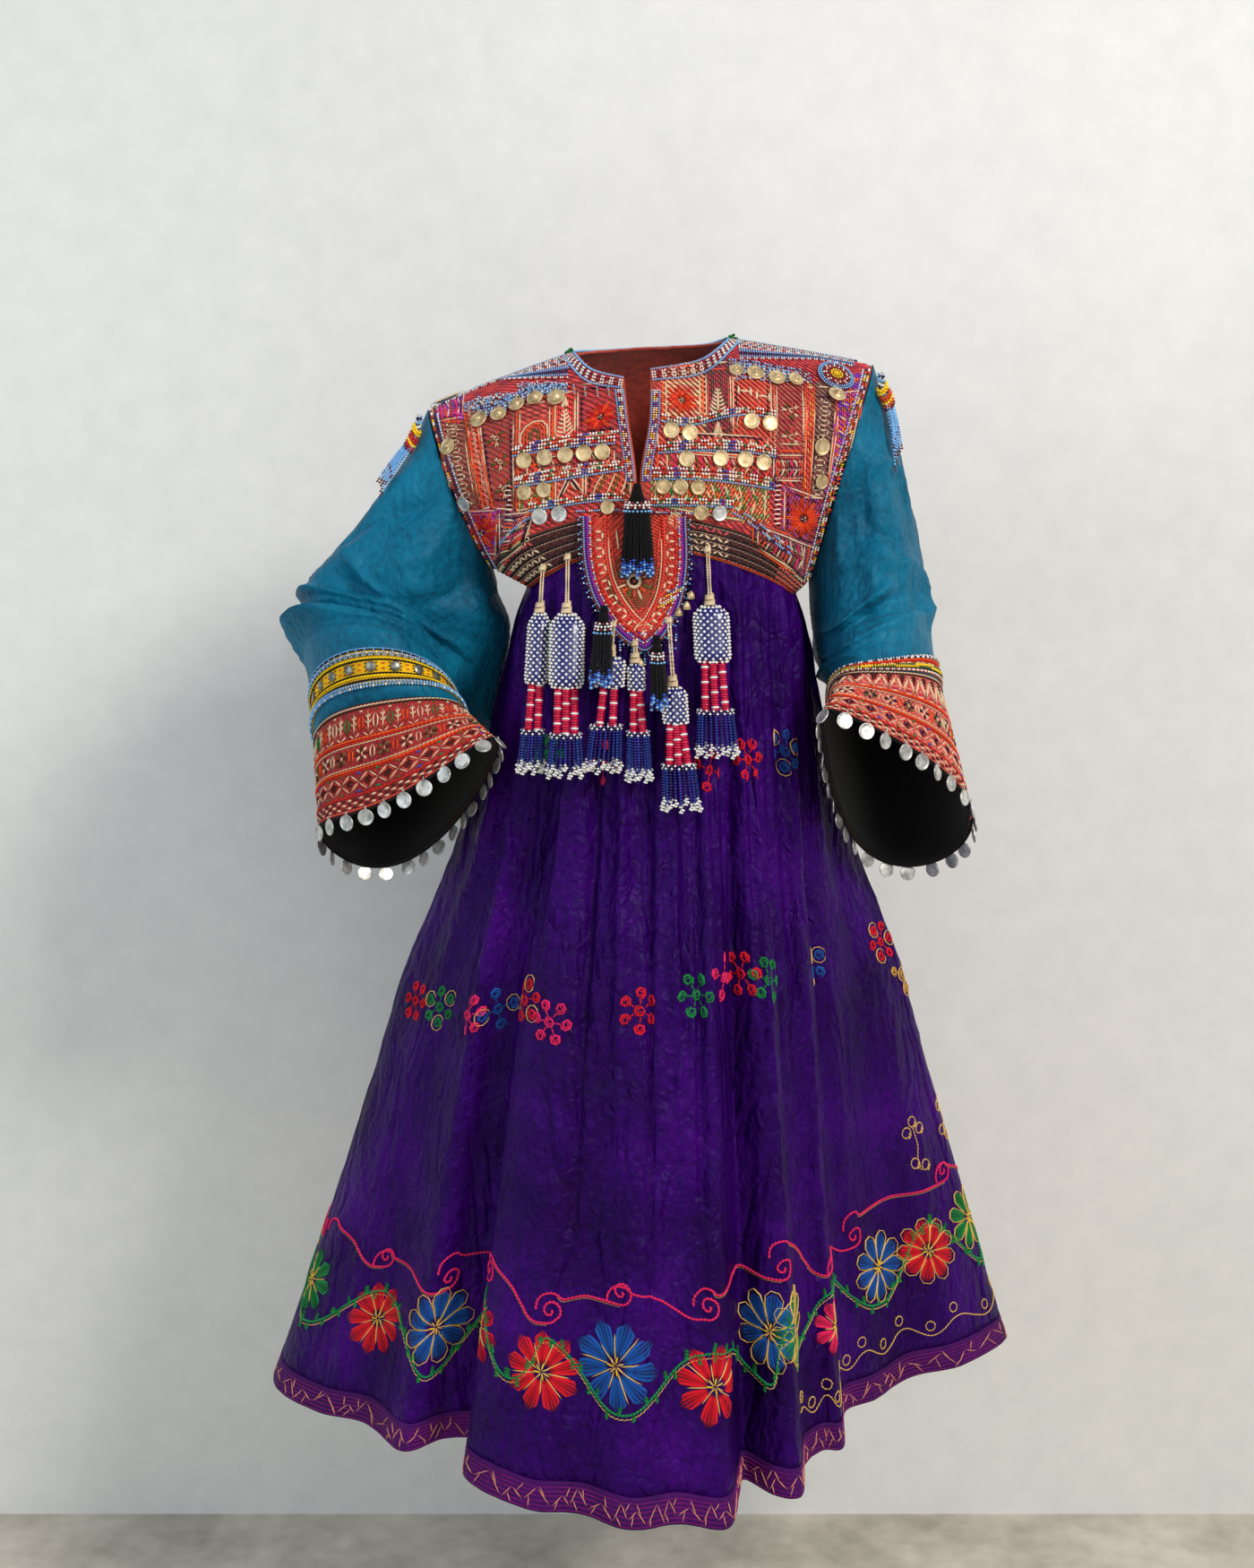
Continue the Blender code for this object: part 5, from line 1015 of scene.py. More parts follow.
def run_of(colours, count):
    """Colours for count beads from (colour, number) blocks that repeat."""
    block = np.concatenate([np.repeat([colour], number, axis=0) for colour, number in colours])
    return block[np.arange(count) % len(block)]


def bead_row(place, path, radius, colours, lift=0.0, smoothly=True):
    """Beads threaded along a path, just touching, half sunk in what they lie on."""
    flat = even_places(place, path, radius * 1.75, smoothly)
    where, normal = place(flat[:, 0], flat[:, 1], radius * 0.8 + lift)
    along = unit(np.gradient(where, axis=0))
    return beads(where, along, normal, radius, radius * 0.8, run_of(colours, len(flat)))


def spiral(turns, radius, count=18, start=0.0, inner=0.15):
    """A flat spiral from the middle out."""
    share = np.linspace(0, 1, count)
    reach = radius * (inner + (1 - inner) * share)
    return circle(np.radians(start) + turns * 2 * np.pi * share) * reach[:, None]


def turned_flat(path, degrees, scale=1.0, shift=(0.0, 0.0)):
    """A flat path turned, scaled and moved."""
    c, s = math.cos(math.radians(degrees)), math.sin(math.radians(degrees))
    return np.asarray(path, float) @ np.array([[c, s], [-s, c]]) * scale + shift


# %% [markdown]
# ## Flowers on the skirt
# Big daisies in satin stitch stand above the hem, each with nine fat petals, metal thread between them and
# a knotted middle. A green vine swings above one flower and below the next, with a leaf knot at every other
# stitch, and a pink line curls over all of them. Half way up is a row of small clusters of coiled knots.
# The folds hide parts of them, so each is placed by its bearing round the skirt, as read from the folds in
# view; the back repeats the same order.

# %% Skirt flowers, vine, scrolls and knots
SKIRT_LENGTH = 0.93      # metres down the cloth from waist to hem


def skirt_spot(bearing, share):
    """Row and column of a place on the skirt."""
    row = np.interp(share, shares, np.arange(len(shares)))
    return np.array([row, (bearing - FIRST_BEARING) / BEARING_STEP])


def on_skirt(bearing, share, lift=0.0):
    """Points straight from bearings and shares, for lines that run round the skirt."""
    row, column = skirt_spot(bearing, share)
    return place_on(SKIRT, row, column, lift)


def near_skirt(bearing, share):
    """A place function for motifs drawn round a spot: right and down in metres, along the cloth's folds."""
    row, column = skirt_spot(bearing, share)

    def place(u, v, lift=0.0):
        return near_on(SKIRT, (row, column % len(bearings)), u, v, lift)
    return place


def near_vine(bearing, share, aside):
    """A place function for knots beside the vine: metres turned into degrees and shares of the skirt."""
    degrees = 360.0 / SKIRT["across"][int(skirt_spot(bearing, share)[0]), -1]

    def place(u, v, lift=0.0):
        return on_skirt(bearing + u * degrees, share + aside + v / SKIRT_LENGTH, lift)
    return place


BRIGHT_GOLD = dye(232, 186, 96)
PETAL_EDGE = [(0.22, 0.05), (0.55, 0.19), (0.86, 0.22), (1.04, 0.0), (0.86, -0.22), (0.55, -0.19),
              (0.22, -0.05)]


def flower(radius, petals, colour, outlined, turn=0.0):
    """Petals of five stitches, light at the edges, gold rays between them, gold outlines if wanted, and
    knots in the middle."""
    strokes, lines = [], []
    for k in range(petals):
        angle = 360.0 * k / petals + turn
        half_width = radius * 0.27
        for j, aside in enumerate((-1.0, -0.5, 0.0, 0.5, 1.0)):
            path = [(0.18, aside * 0.03), (0.50, aside * 0.12), (0.80, aside * 0.17),
                    (1.0 - 0.10 * aside ** 2, aside * 0.09)]
            tone = colour * (1.1, 0.8, 0.6, 0.85, 1.05)[j]
            strokes.append((turned_flat(path, angle, radius), half_width * 0.21, 0.0009, tone))
        ray = turned_flat([(0.08, 0.0), (0.56 + 0.14 * (k % 3), 0.02)], angle + 180.0 / petals, radius)
        strokes.append((ray, 0.0010, 0.0012, BRIGHT_GOLD))
        if outlined:
            lines.append((turned_flat(PETAL_EDGE, angle, radius), 0.0007, 0.0011, BRIGHT_GOLD))
    for k in range(7):
        knot = turned_flat([(0.02, 0.0), (0.20, 0.10)], k * 51.0, radius)
        strokes.append((knot, 0.0013, 0.0016, (BRIGHT_GOLD, YELLOW)[k % 2] * 0.9))
    return strokes, lines


DEEP_RED, DEEP_BLUE = dye(214, 20, 40), dye(22, 80, 160)
# Columns: bearing, share down, radius, colour, gold outlines
FLOWERS = [(-87.5, 0.857, 0.037, GREEN, False), (-72.0, 0.883, 0.041, DEEP_RED, False),
           (-57.5, 0.866, 0.039, DEEP_BLUE, True), (-39.0, 0.846, 0.036, CRIMSON, False),
           (-27.0, 0.866, 0.040, DEEP_RED, False), (-11.0, 0.839, 0.044, DEEP_BLUE, False),
           (12.0, 0.866, 0.040, DEEP_RED, False), (33.5, 0.831, 0.039, DEEP_BLUE, True),
           (42.0, 0.822, 0.036, GREEN, True), (58.5, 0.858, 0.030, PINK, False),
           (75.0, 0.839, 0.038, DEEP_BLUE, True), (84.5, 0.848, 0.037, DEEP_RED, True),
           (92.5, 0.836, 0.036, GREEN, True)]
order = [(DEEP_BLUE, True), (DEEP_RED, False), (GREEN, True), (PINK, False), (DEEP_BLUE, False),
         (DEEP_RED, True)]
FLOWERS += [(101.0 + 9.6 * k, 0.850 + 0.018 * (-1) ** k, 0.037 + 0.003 * (k % 3), *order[k % 6])
            for k in range(18)]
satin, gold_lines = [], []
for k, (bearing, share, radius, colour, outlined) in enumerate(FLOWERS):
    place = near_skirt(bearing, share)
    strokes, lines = flower(radius * 1.07, 9 if k % 3 else 8, colour, outlined, turn=17.0 * k)
    satin.append(sewn(place, strokes, 6))
    if lines:
        gold_lines.append(sewn(place, lines, 10, lift=0.0006))
add_piece("skirt_flowers", satin, STITCH)

# The vine runs under blue and green flowers and over the others, a swing away from their middles
swing = 0.047
sides = [1.0 if colour is DEEP_BLUE or colour is GREEN else -1.0 for _, _, _, colour, _ in FLOWERS]
vine = []
for k, (bearing, share, _, _, _) in enumerate(FLOWERS):
    following = (k + 1) % len(FLOWERS)
    side, after = sides[k], sides[following]
    gap = (FLOWERS[following][0] - bearing) % 360.0
    drop = FLOWERS[following][1] - share + (after - side) * swing
    for part_way in (0.0, 0.2, 0.4, 0.6, 0.8):
        ease = (1.0 - math.cos(part_way * math.pi)) / 2
        dip = side * swing * 1.3 * math.sin(part_way * math.pi) if side == after else 0.0
        vine.append((bearing + gap * part_way, share + side * swing + drop * ease - dip))
vine.append((vine[0][0] + 360.0, vine[0][1]))
green, spaced = [], []
for first in range(0, len(vine) - 1, 15):
    path = vine[first:first + 16]
    green.append(chain(on_skirt, path, 0.0038, 0.0019, dye(22, 140, 72)))
    gold_lines.append(chain(on_skirt, np.asarray(path) + (0.0, 0.0045), 0.0052, 0.0007, BRIGHT_GOLD))
    spaced.append(even_places(on_skirt, path, 0.0150))
for k, (bearing, share) in enumerate(np.concatenate(spaced)):
    place = near_vine(bearing, share, 0.0052 if k % 2 else -0.0052)
    leaf = []
    for j in (-1, 0, 1):
        path = turned_flat([(-0.0034, 0.0), (0.0, 0.001 * j), (0.0034, 0.0)], 40.0 * k,
                           shift=(0.0, 0.0024 * j))
        leaf.append((path, 0.0027, 0.0013, GREEN * (0.8 + 0.2 * j)))
    green.append(sewn(place, leaf))
add_piece("skirt_vine", green, STITCH)

# Spirals of the pink line. Columns: bearing, share; the line runs from the top of one to the foot of the
# next
SCROLLS = [(-86.0, 0.800), (-72.5, 0.806), (-55.0, 0.800), (-38.5, 0.782), (-26.0, 0.800), (-10.5, 0.772),
           (11.0, 0.774), (38.5, 0.752), (60.0, 0.790), (71.0, 0.786), (89.5, 0.762)]
SCROLLS += [(102.5 + 14.0 * k, 0.782) for k in range(12)]
pink = []
for k, (bearing, share) in enumerate(SCROLLS):
    following = SCROLLS[(k + 1) % len(SCROLLS)]
    column = int(skirt_spot(bearing, share)[1] % len(bearings))
    after_row, after_column = (int(value)
                               for value in skirt_spot(*following) % (len(shares), len(bearings)))
    metres = SKIRT["across"][after_row]
    reach = (metres[after_column] - metres[column]) % metres[-1]
    rise = (following[1] - share) * SKIRT_LENGTH
    tail = spiral(1.35, 0.0125, 18, start=-30.0)
    between = [(reach * 0.45, rise * 0.4 - 0.004), (reach * 0.75, rise + 0.012)]
    line = np.concatenate([spiral(0.42, 0.016, 6, 170.0, 1.0), between, (tail + (reach, rise))[::-1]])
    place = near_skirt(bearing, share)
    pink.append(chain(place, line, 0.0040, 0.0018, PINK))
    if k % 3 != 2:
        gold_lines.append(chain(place, line[4:9] + (0.0, 0.0022), 0.0040, 0.0005, GOLD))
add_piece("skirt_scrolls", pink, STITCH)

# Clusters of coiled knots. Columns: bearing, share, colour, number of knots, gold ring round them
CLUSTERS = [(-81.5, 0.497, DEEP_RED, 7, 0), (-72.5, 0.497, GREEN, 7, 1), (-62.0, 0.488, PINK, 7, 0),
            (-51.5, 0.497, DEEP_BLUE, 5, 1), (-37.0, 0.484, DEEP_RED, 7, 1), (-30.5, 0.488, PINK, 7, 0),
            (-6.5, 0.471, DEEP_RED, 7, 0), (10.5, 0.462, GREEN, 7, 0), (20.5, 0.453, PINK, 5, 0),
            (29.0, 0.453, DEEP_RED, 7, 0), (37.0, 0.445, GREEN, 7, 0), (66.0, 0.452, DEEP_BLUE, 7, 1),
            (88.5, 0.443, DEEP_RED, 7, 1), (92.5, 0.492, GOLD, 4, 1), (35.0, 0.212, DEEP_RED, 7, 0),
            (17.0, 0.225, DEEP_RED, 5, 0), (54.0, 0.199, DEEP_BLUE, 7, 1), (-44.0, 0.215, GREEN, 7, 0),
            (-22.0, 0.230, PINK, 5, 0)]
CLUSTERS += [(102.0 + 13.0 * k, 0.470 + 0.02 * (k % 2), (DEEP_RED, GREEN, PINK, DEEP_BLUE)[k % 4], 7, k % 2)
             for k in range(13)]
CLUSTERS += [(112.0 + 28.0 * k, 0.220, (GREEN, DEEP_RED, PINK, DEEP_BLUE, DEEP_RED)[k], 7, 0)
             for k in range(5)]
coils = []
for k, (bearing, share, colour, count, ringed) in enumerate(CLUSTERS):
    place = near_skirt(bearing, share)
    strokes, lines = [], []
    for j in range(count):
        angle = math.radians(j * 360.0 / (count - 1) + 25.0 * k)
        middle = circle(angle) * (0.0 if j == count - 1 else 0.0178)
        strokes.append((spiral(2.1, 0.0062, 18, start=40.0 * j, inner=0.25) + middle, 0.0021, 0.0012,
                        colour * (0.85 + 0.1 * (j % 3))))
        if ringed and j % 2:
            lines.append((spiral(1.0, 0.0090, 14, inner=0.95) + middle, 0.0008, 0.0010, BRIGHT_GOLD))
        if j < count - 1:
            strokes.append(([middle * 0.35, middle * 0.7], 0.0012, 0.0008, colour * 0.8))
    coils.append(sewn(place, strokes, 11))
    if lines:
        gold_lines.append(sewn(place, lines, 10))
add_piece("skirt_knots", coils, STITCH)

# Gold sprigs and curls. Columns: bearing, share, height, turn
SPRIGS = [(85.5, 0.716, 0.052, 0.0), (93.0, 0.690, 0.040, 20.0), (124.0, 0.700, 0.050, 0.0),
          (170.0, 0.705, 0.050, -8.0), (216.0, 0.700, 0.050, 6.0), (262.0, 0.705, 0.050, 0.0)]
for bearing, share, height, turn in SPRIGS:
    place = near_skirt(bearing, share)
    stem = turned_flat([(0.0, -0.5), (0.06, -0.1), (-0.04, 0.2), (0.0, 0.5)], turn, height)
    gold_lines.append(chain(place, stem, 0.0042, 0.0009, BRIGHT_GOLD))
    for x, z in ((-0.22, -0.42), (0.0, -0.62), (0.22, -0.42), (-0.16, 0.30), (0.16, 0.42)):
        loop = spiral(1.2, 0.0075, 14, inner=0.7) + turned_flat([(x, z)], turn, height)[0]
        gold_lines.append(chain(place, loop, 0.0040, 0.0009, BRIGHT_GOLD))
# A thin gold stem that waves along the hem on the right and at the back, with a ring in each hollow
WAVE_SHARE = 0.942
wave = np.arange(45.0, 268.1, 1.6)
path = np.stack([wave, WAVE_SHARE + 0.009 * np.sin(wave * math.pi / 4.0)], axis=1)
gold_lines.append(chain(on_skirt, path, 0.0046, 0.0009, BRIGHT_GOLD))
for k, bearing in enumerate(np.arange(46.0, 267.0, 4.0)):
    place = near_skirt(bearing, WAVE_SHARE + (0.005 if k % 2 else -0.005))
    gold_lines.append(chain(place, spiral(1.0, 0.0062, 12, inner=0.9), 0.0042, 0.0009, BRIGHT_GOLD))
add_piece("skirt_gold_thread", gold_lines, STITCH)

# %% [markdown]
# ## The hem band
# A strip of magenta cotton binds the hem. Rows of machine stitches run round it, and a wandering peach
# thread crackles over them.

# %% Hem stitches
def on_hem(bearing, share, lift=0.0):
    """Points on the hem band from bearings and shares of its height, just over its face."""
    row = np.interp(HEM_SHARE + share * (1 - HEM_SHARE), hem_shares, np.arange(len(hem_shares)))
    return place_on(HEM, row, (bearing - FIRST_BEARING) / BEARING_STEP, np.asarray(lift) + HEM_LIFT)


round_hem = np.arange(0, 241) * 1.5 - 90.0
lines = []
for share in (0.08, 0.24, 0.40, 0.58, 0.76, 0.92):
    where, normal = on_hem(round_hem, np.full(241, share), 0.0001)
    lines.append(thread(where, normal, 0.0005, 0.0005, dye(150, 26, 120), 3))
PEACH = dye(226, 150, 120)
k = np.arange(181)
zigzags = 0.42 * (1 - k % 2 * 2) * (0.65 + 0.35 * np.sin(k * 1.7))
turns = np.stack([2.0 * k + 0.6 * np.sin(k * 5.1), 0.5 + zigzags], axis=1)
turns[-1] = (360.0, turns[0, 1])
for k, (a, b) in enumerate(zip(turns, turns[1:])):
    fork = a + (b - a) * (0.35 + 0.3 * math.sin(k * 2.4) ** 2)
    tip = (fork[0] + 1.3 * math.sin(k * 1.3 + 1.0), 0.5 + 0.46 * math.copysign(1.0, math.sin(k * 3.3)))
    lines.append(sewn(on_hem, [(path, 0.0008, 0.0009, PEACH) for path in ([a, b], [fork, tip])], 4, 3,
                      0.0002))
add_piece("hem_stitches", lines, STITCH)

# %% [markdown]
# ## The yoke's silk ground
# No cloth shows on the yoke: it is a patchwork of small panels, each filled with satin stitches of one or
# two colours in its own direction. The ground below is thousands of short spindles in brick order. Their
# spacing follows the length down the panel, not the height, so that they stay even where the yoke rolls
# over the shoulder.

# %% Places on the yoke
ROLL_LENGTH = 0.157      # length of the quarter turn over the shoulder


def height_at(x, down):
    """Height at a length down from the shoulder line: a quarter turn, then straight."""
    turn = np.clip(down / ROLL_LENGTH, 0.0, 1.0) * np.pi / 2
    return crown(x) - ROLL * (1.0 - np.cos(turn)) - np.maximum(down - ROLL_LENGTH, 0.0)


def length_down(x, z):
    """The other way round: length down from the shoulder line to a height."""
    share = np.clip((crown(x) - z) / ROLL, 0.0, 1.0)
    return np.arccos(1.0 - share) * ROLL_LENGTH * 2 / np.pi + np.maximum(crown(x) - z - ROLL, 0.0)


def on_yoke(x, z, lift=0.0):
    return yoke_place(x, z, lift)


def on_yoke_back(x, z, lift=0.0):
    return yoke_place(x, z, lift, back=True)


def near_yoke(centre, back=False, mirrored=False):
    """A place function for motifs drawn round a centre: right and down in metres."""
    first = float(length_down(centre[0], centre[1]))

    def place(u, v, lift=0.0):
        x = centre[0] + (-u if mirrored else u)
        return yoke_place(x, height_at(x, first + v), lift, back)
    return place


def edge_at(points, z):
    """x of an edge at heights z."""
    table = np.array(filled(points))[::-1]
    return np.interp(z, table[:, 1], table[:, 0])


def inside_yoke(x, z, back=False, margin=0.005):
    """True for places at least a margin inside the yoke's edges."""
    room = (x > edge_at(ARMHOLE["left"], z) + margin) & (x < edge_at(ARMHOLE["right"], z) - margin)
    hem = np.array(YOKE_HEM["back"] if back else YOKE_HEM["left"][::-1] + YOKE_HEM["right"])
    neck = np.array(filled(NECK["back"] if back else NECK["left"][::-1] + NECK["right"]))
    top = np.where((x > neck[0, 0]) & (x < neck[-1, 0]), np.interp(x, neck[:, 0], neck[:, 1]) - 0.002,
                   crown(x) - 0.0006)
    room &= (z < top) & (z > np.interp(x, hem[:, 0], hem[:, 1]) + margin * 0.6)
    if not back:
        slit = (x > edge_at(SLIT["left"], z) - margin) & (x < edge_at(SLIT["right"], z) + margin)
        room &= ~(slit & (z > -0.160))
    return room


def inside_shape(x, z, corners):
    """True inside a convex outline, whichever way it runs round."""
    corners = np.asarray(corners)
    turns = np.stack([(b[0] - a[0]) * (z - a[1]) - (b[1] - a[1]) * (x - a[0])
                      for a, b in zip(corners, np.roll(corners, -1, 0))])
    return (turns >= 0).all(axis=0) | (turns <= 0).all(axis=0)


# %% [markdown]
# Each panel has its corners (x and height on the torso), the direction of its stitches and its two colours.
# They were read off the front in view. The back, which can't be seen, repeats the left front on both sides
# of its middle.

# %% Panels of the yoke
PANELS = [
    ([(-0.214, -0.060), (-0.176, -0.044), (-0.173, -0.070), (-0.204, -0.076)], 80, PURPLE,
     dye(150, 40, 120)),
    ([(-0.204, -0.071), (-0.171, -0.070), (-0.155, -0.162), (-0.186, -0.165)], 20, BROWN, dye(96, 50, 38)),
    ([(-0.173, -0.057), (-0.162, -0.055), (-0.144, -0.158), (-0.155, -0.162)], 80, CORAL, RED),
    ([(-0.162, -0.052), (-0.121, -0.050), (-0.121, -0.160), (-0.144, -0.160)], 50, MAROON, dye(96, 40, 36)),
    ([(-0.121, -0.050), (-0.082, -0.045), (-0.082, -0.100), (-0.121, -0.108)], 0, dye(150, 50, 40),
     dye(110, 34, 30)),
    ([(-0.082, -0.045), (-0.061, -0.040), (-0.061, -0.088), (-0.082, -0.092)], 90, RED, dye(160, 30, 26)),
    ([(-0.061, -0.035), (-0.014, -0.030), (-0.014, -0.082), (-0.061, -0.087)], 30, MAROON,
     dye(130, 18, 30)),
    ([(-0.122, -0.106), (-0.010, -0.092), (-0.010, -0.114), (-0.122, -0.130)], 10, dye(132, 30, 30), BROWN),
    ([(-0.082, -0.116), (-0.053, -0.112), (-0.053, -0.146), (-0.082, -0.152)], 60, CORAL, dye(166, 40, 36)),
    ([(-0.053, -0.112), (-0.006, -0.108), (-0.006, -0.146), (-0.053, -0.146)], 35, dye(206, 70, 40), RED),
    ([(-0.121, -0.128), (-0.082, -0.118), (-0.082, -0.155), (-0.121, -0.165)], 70, OLIVE, dye(186, 80, 50)),
    ([(-0.182, -0.160), (-0.135, -0.155), (-0.136, -0.205), (-0.172, -0.208)], 110, PURPLE,
     dye(128, 20, 70)),
    ([(-0.140, -0.160), (-0.100, -0.156), (-0.112, -0.190), (-0.146, -0.222)], 130, PLUM, dye(96, 40, 60)),
    ([(0.022, -0.018), (0.065, -0.014), (0.065, -0.082), (0.022, -0.078)], 20, dye(206, 120, 84), CORAL),
    ([(0.065, -0.014), (0.091, -0.012), (0.091, -0.086), (0.065, -0.084)], 90, MAROON, BROWN),
    ([(0.091, -0.012), (0.132, -0.020), (0.131, -0.099), (0.091, -0.093)], 60, dye(196, 60, 40), RED),
    ([(0.132, -0.018), (0.166, -0.024), (0.166, -0.103), (0.131, -0.102)], 30, MAROON, dye(110, 46, 40)),
    ([(0.166, -0.034), (0.174, -0.036), (0.169, -0.150), (0.162, -0.150)], 85, ORANGE, RED),
    ([(0.174, -0.034), (0.198, -0.036), (0.186, -0.152), (0.168, -0.150)], 10, BROWN, dye(80, 54, 46)),
    ([(0.198, -0.030), (0.232, -0.026), (0.196, -0.170), (0.184, -0.160)], 85, dye(206, 60, 44), PURPLE),
    ([(0.131, -0.102), (0.166, -0.103), (0.164, -0.130), (0.131, -0.128)], 90, PLUM, MAROON),
    ([(0.014, -0.078), (0.131, -0.085), (0.131, -0.106), (0.014, -0.096)], 25, dye(196, 60, 44),
     dye(150, 40, 36)),
    ([(0.014, -0.095), (0.131, -0.105), (0.131, -0.126), (0.014, -0.120)], 70, dye(160, 44, 38), MAROON),
    ([(0.012, -0.120), (0.130, -0.126), (0.128, -0.172), (0.012, -0.150)], 120, dye(70, 96, 48),
     dye(206, 78, 40)),
    ([(0.142, -0.130), (0.188, -0.148), (0.186, -0.205), (0.142, -0.184)], 110, dye(104, 30, 96), MAROON),
    ([(0.110, -0.165), (0.175, -0.190), (0.170, -0.235), (0.110, -0.190)], 140, PLUM, dye(90, 30, 60)),
]
MIRROR = 0.024           # twice the middle's x, for the back


def silk_ground(back):
    """Spindles in brick order over one face of the yoke."""
    step_across, step_down = (0.0078, 0.0026) if back else (0.0066, 0.0021)
    rows = np.arange(0.003, 0.30, step_down)
    columns = np.arange(-0.24, 0.27, step_across)
    x = (columns[None] + (np.arange(len(rows)) % 3)[:, None] * step_across / 3).ravel()
    down = np.repeat(rows, len(columns))
    z = height_at(x, down)
    room = inside_yoke(x, z, back, 0.006)
    x, z, down = x[room], z[room], down[room]
    seen_x = np.where(x > MIRROR / 2, MIRROR - x, x) if back else x
    turn = np.full(len(x), 15.0)
    colour = np.where((np.arange(len(x)) % 4 < 2)[:, None], MAROON, dye(150, 34, 30))
    for k, (corners, degrees, first, second) in enumerate(PANELS):
        mine = inside_shape(seen_x, z, corners)
        turn = np.where(mine, degrees, turn)
        blotch = np.sin(x * 900 + k) + np.sin(z * 700 + 2 * k) > 0.2
        colour = np.where(mine[:, None], np.where(blotch[:, None], first, second), colour)
    turn = np.where((x > MIRROR / 2) & back, 180.0 - turn, turn)
    angle = np.radians(turn)
    half_stitch = circle(angle) * 0.0042
    flat = np.stack([x, down], axis=1)[:, None] + half_stitch[:, None] * np.array([-1.0, 0.0, 1.0])[:, None]
    where, normal = yoke_place(flat[..., 0], height_at(flat[..., 0], flat[..., 1]), 0.0001, back)
    shade = 2.05 + 1.4 * np.abs(np.sin(np.arange(len(x)) * 12.9898))
    return threads(where, normal, 0.0020 if back else 0.0018, 0.0008,
                   np.minimum(colour * shade[:, None] + 0.035, 0.85), 3)


add_piece("yoke_silk_front", [silk_ground(False)], STITCH)
add_piece("yoke_silk_back", [silk_ground(True)], STITCH)

# %% [markdown]
# ## Motifs on the yoke
# The motifs are a small set, as on most such yokes: bursts of long petals, feathered trees, arches one
# inside the other, crosses round a ring, stepped lines, ladders and zigzags. Each is one function of size
# and colours.

# %% Motifs
MOTIF_LIFT = 0.0007          # motifs lie over the silk ground


def burst(radius, colour, second):
    """Long petals, alternately long and short, in two stitches each, with a small dark eye."""
    strokes = []
    for k in range(18):
        far = radius * (1.0 if k % 2 else 0.78)
        for aside in (-1, 1):
            path = [(radius * 0.12, 0.0), (far * 0.6, aside * radius * 0.055),
                    (far, aside * radius * 0.015)]
            petal = turned_flat(path, 20.0 * k)
            strokes.append((petal, radius * 0.052, 0.0011, colour if k % 3 else second))
    for k in range(6):
        knot = turned_flat([(0.0, 0.0), (radius * 0.16, 0.0)], 60.0 * k)
        strokes.append((knot, 0.0007, 0.0016, CREAM if k % 2 else PLUM))
    return strokes


def feather_tree(tall, colour):
    """A trunk with seven pairs of branches that shorten upward and lean up."""
    strokes = [([(0.0, tall / 2), (0.0, -tall / 2)], 0.0016, 0.0012, colour)]
    for k in range(7):
        v = tall * (0.5 - (k + 0.2) / 7.5)
        reach = tall * 0.27 * (1.0 - 0.72 * k / 6)
        for sign in (-1, 1):
            branch = [(0.0, v), (sign * reach * 0.6, v - reach * 0.30), (sign * reach, v - reach * 0.75)]
            strokes.append((branch, 0.0016, 0.0012, colour))
    return strokes


def arches(radius, colours):
    """Arcs one inside the other, open at the foot, with a post on each side."""
    strokes = []
    for k, colour in enumerate(colours):
        r = radius * (1.0 - k * 0.19)
        angles = np.radians(np.linspace(180, 360, 9))
        path = np.concatenate([[(-r, radius * 0.9)], circle(angles) * r, [(r, radius * 0.9)]])
        strokes.append((path, radius * 0.085, 0.0010, colour))
    return strokes


def cross_flower(radius, colours):
    """Eight stitches round a ring, alternately thick and forked."""
    strokes = [(spiral(1.0, radius * 0.26, 12, inner=0.95), 0.0011, 0.0016, CREAM)]
    for k in range(8):
        colour = colours[k % len(colours)]
        far = radius * (0.8 if k % 2 else 1.0)
        for aside in (-0.14, 0.14):
            path = turned_flat([(radius * 0.34, 0.0), (far, aside * radius)], 45.0 * k)
            strokes.append((path, radius * 0.09, 0.0010, colour))
    return strokes


def knots_and_sides(place, path, step, half):
    """Even places along a path, and the way from each to its left, half a width long."""
    knots = even_places(place, path, step)
    side = np.gradient(knots, axis=0)[:, ::-1] * (-1, 1)
    return knots, side / np.linalg.norm(side, axis=1, keepdims=True) * half


def meander(place, path, colour, step, half, width):
    """A stepped line: square turns to each side of a path."""
    knots, side = knots_and_sides(place, path, step, half)
    swing = np.where(np.arange(len(knots) - 1) % 2, 1.0, -1.0)[:, None]
    aside = np.repeat(side, 2, axis=0)[1:-1] * np.repeat(swing, 2, axis=0)
    points = np.repeat(knots, 2, axis=0)[1:-1] + aside
    strokes = [([a, b], width, 0.0011, colour) for a, b in zip(points, points[1:])
               if np.abs(a - b).sum() > 1e-5]
    return sewn(place, strokes, 4, 3)


def zigzag(place, path, colour, step, half, width=0.0009):
    """Slanting stitches that go from one side of a path to the other."""
    knots, side = knots_and_sides(place, path, step, half)
    points = knots + side * np.where(np.arange(len(knots)) % 2, 1.0, -1.0)[:, None]
    return sewn(place, [([a, b], width, 0.0010, colour) for a, b in zip(points, points[1:])], 4, 3)


def bars(place, path, colours, step, half, width):
    """Short stitches across a path, like the rungs of a ladder, in a repeating run of colours."""
    knots, side = knots_and_sides(place, path, step, half)
    run = run_of(colours, len(knots))
    return sewn(place, [([a - s, a + s], width, 0.0011, c) for a, s, c in zip(knots, side, run)], 4, 3)


def motif(place, strokes, points=5):
    """A motif's strokes, sewn over the silk ground."""
    return sewn(place, strokes, points, lift=MOTIF_LIFT)


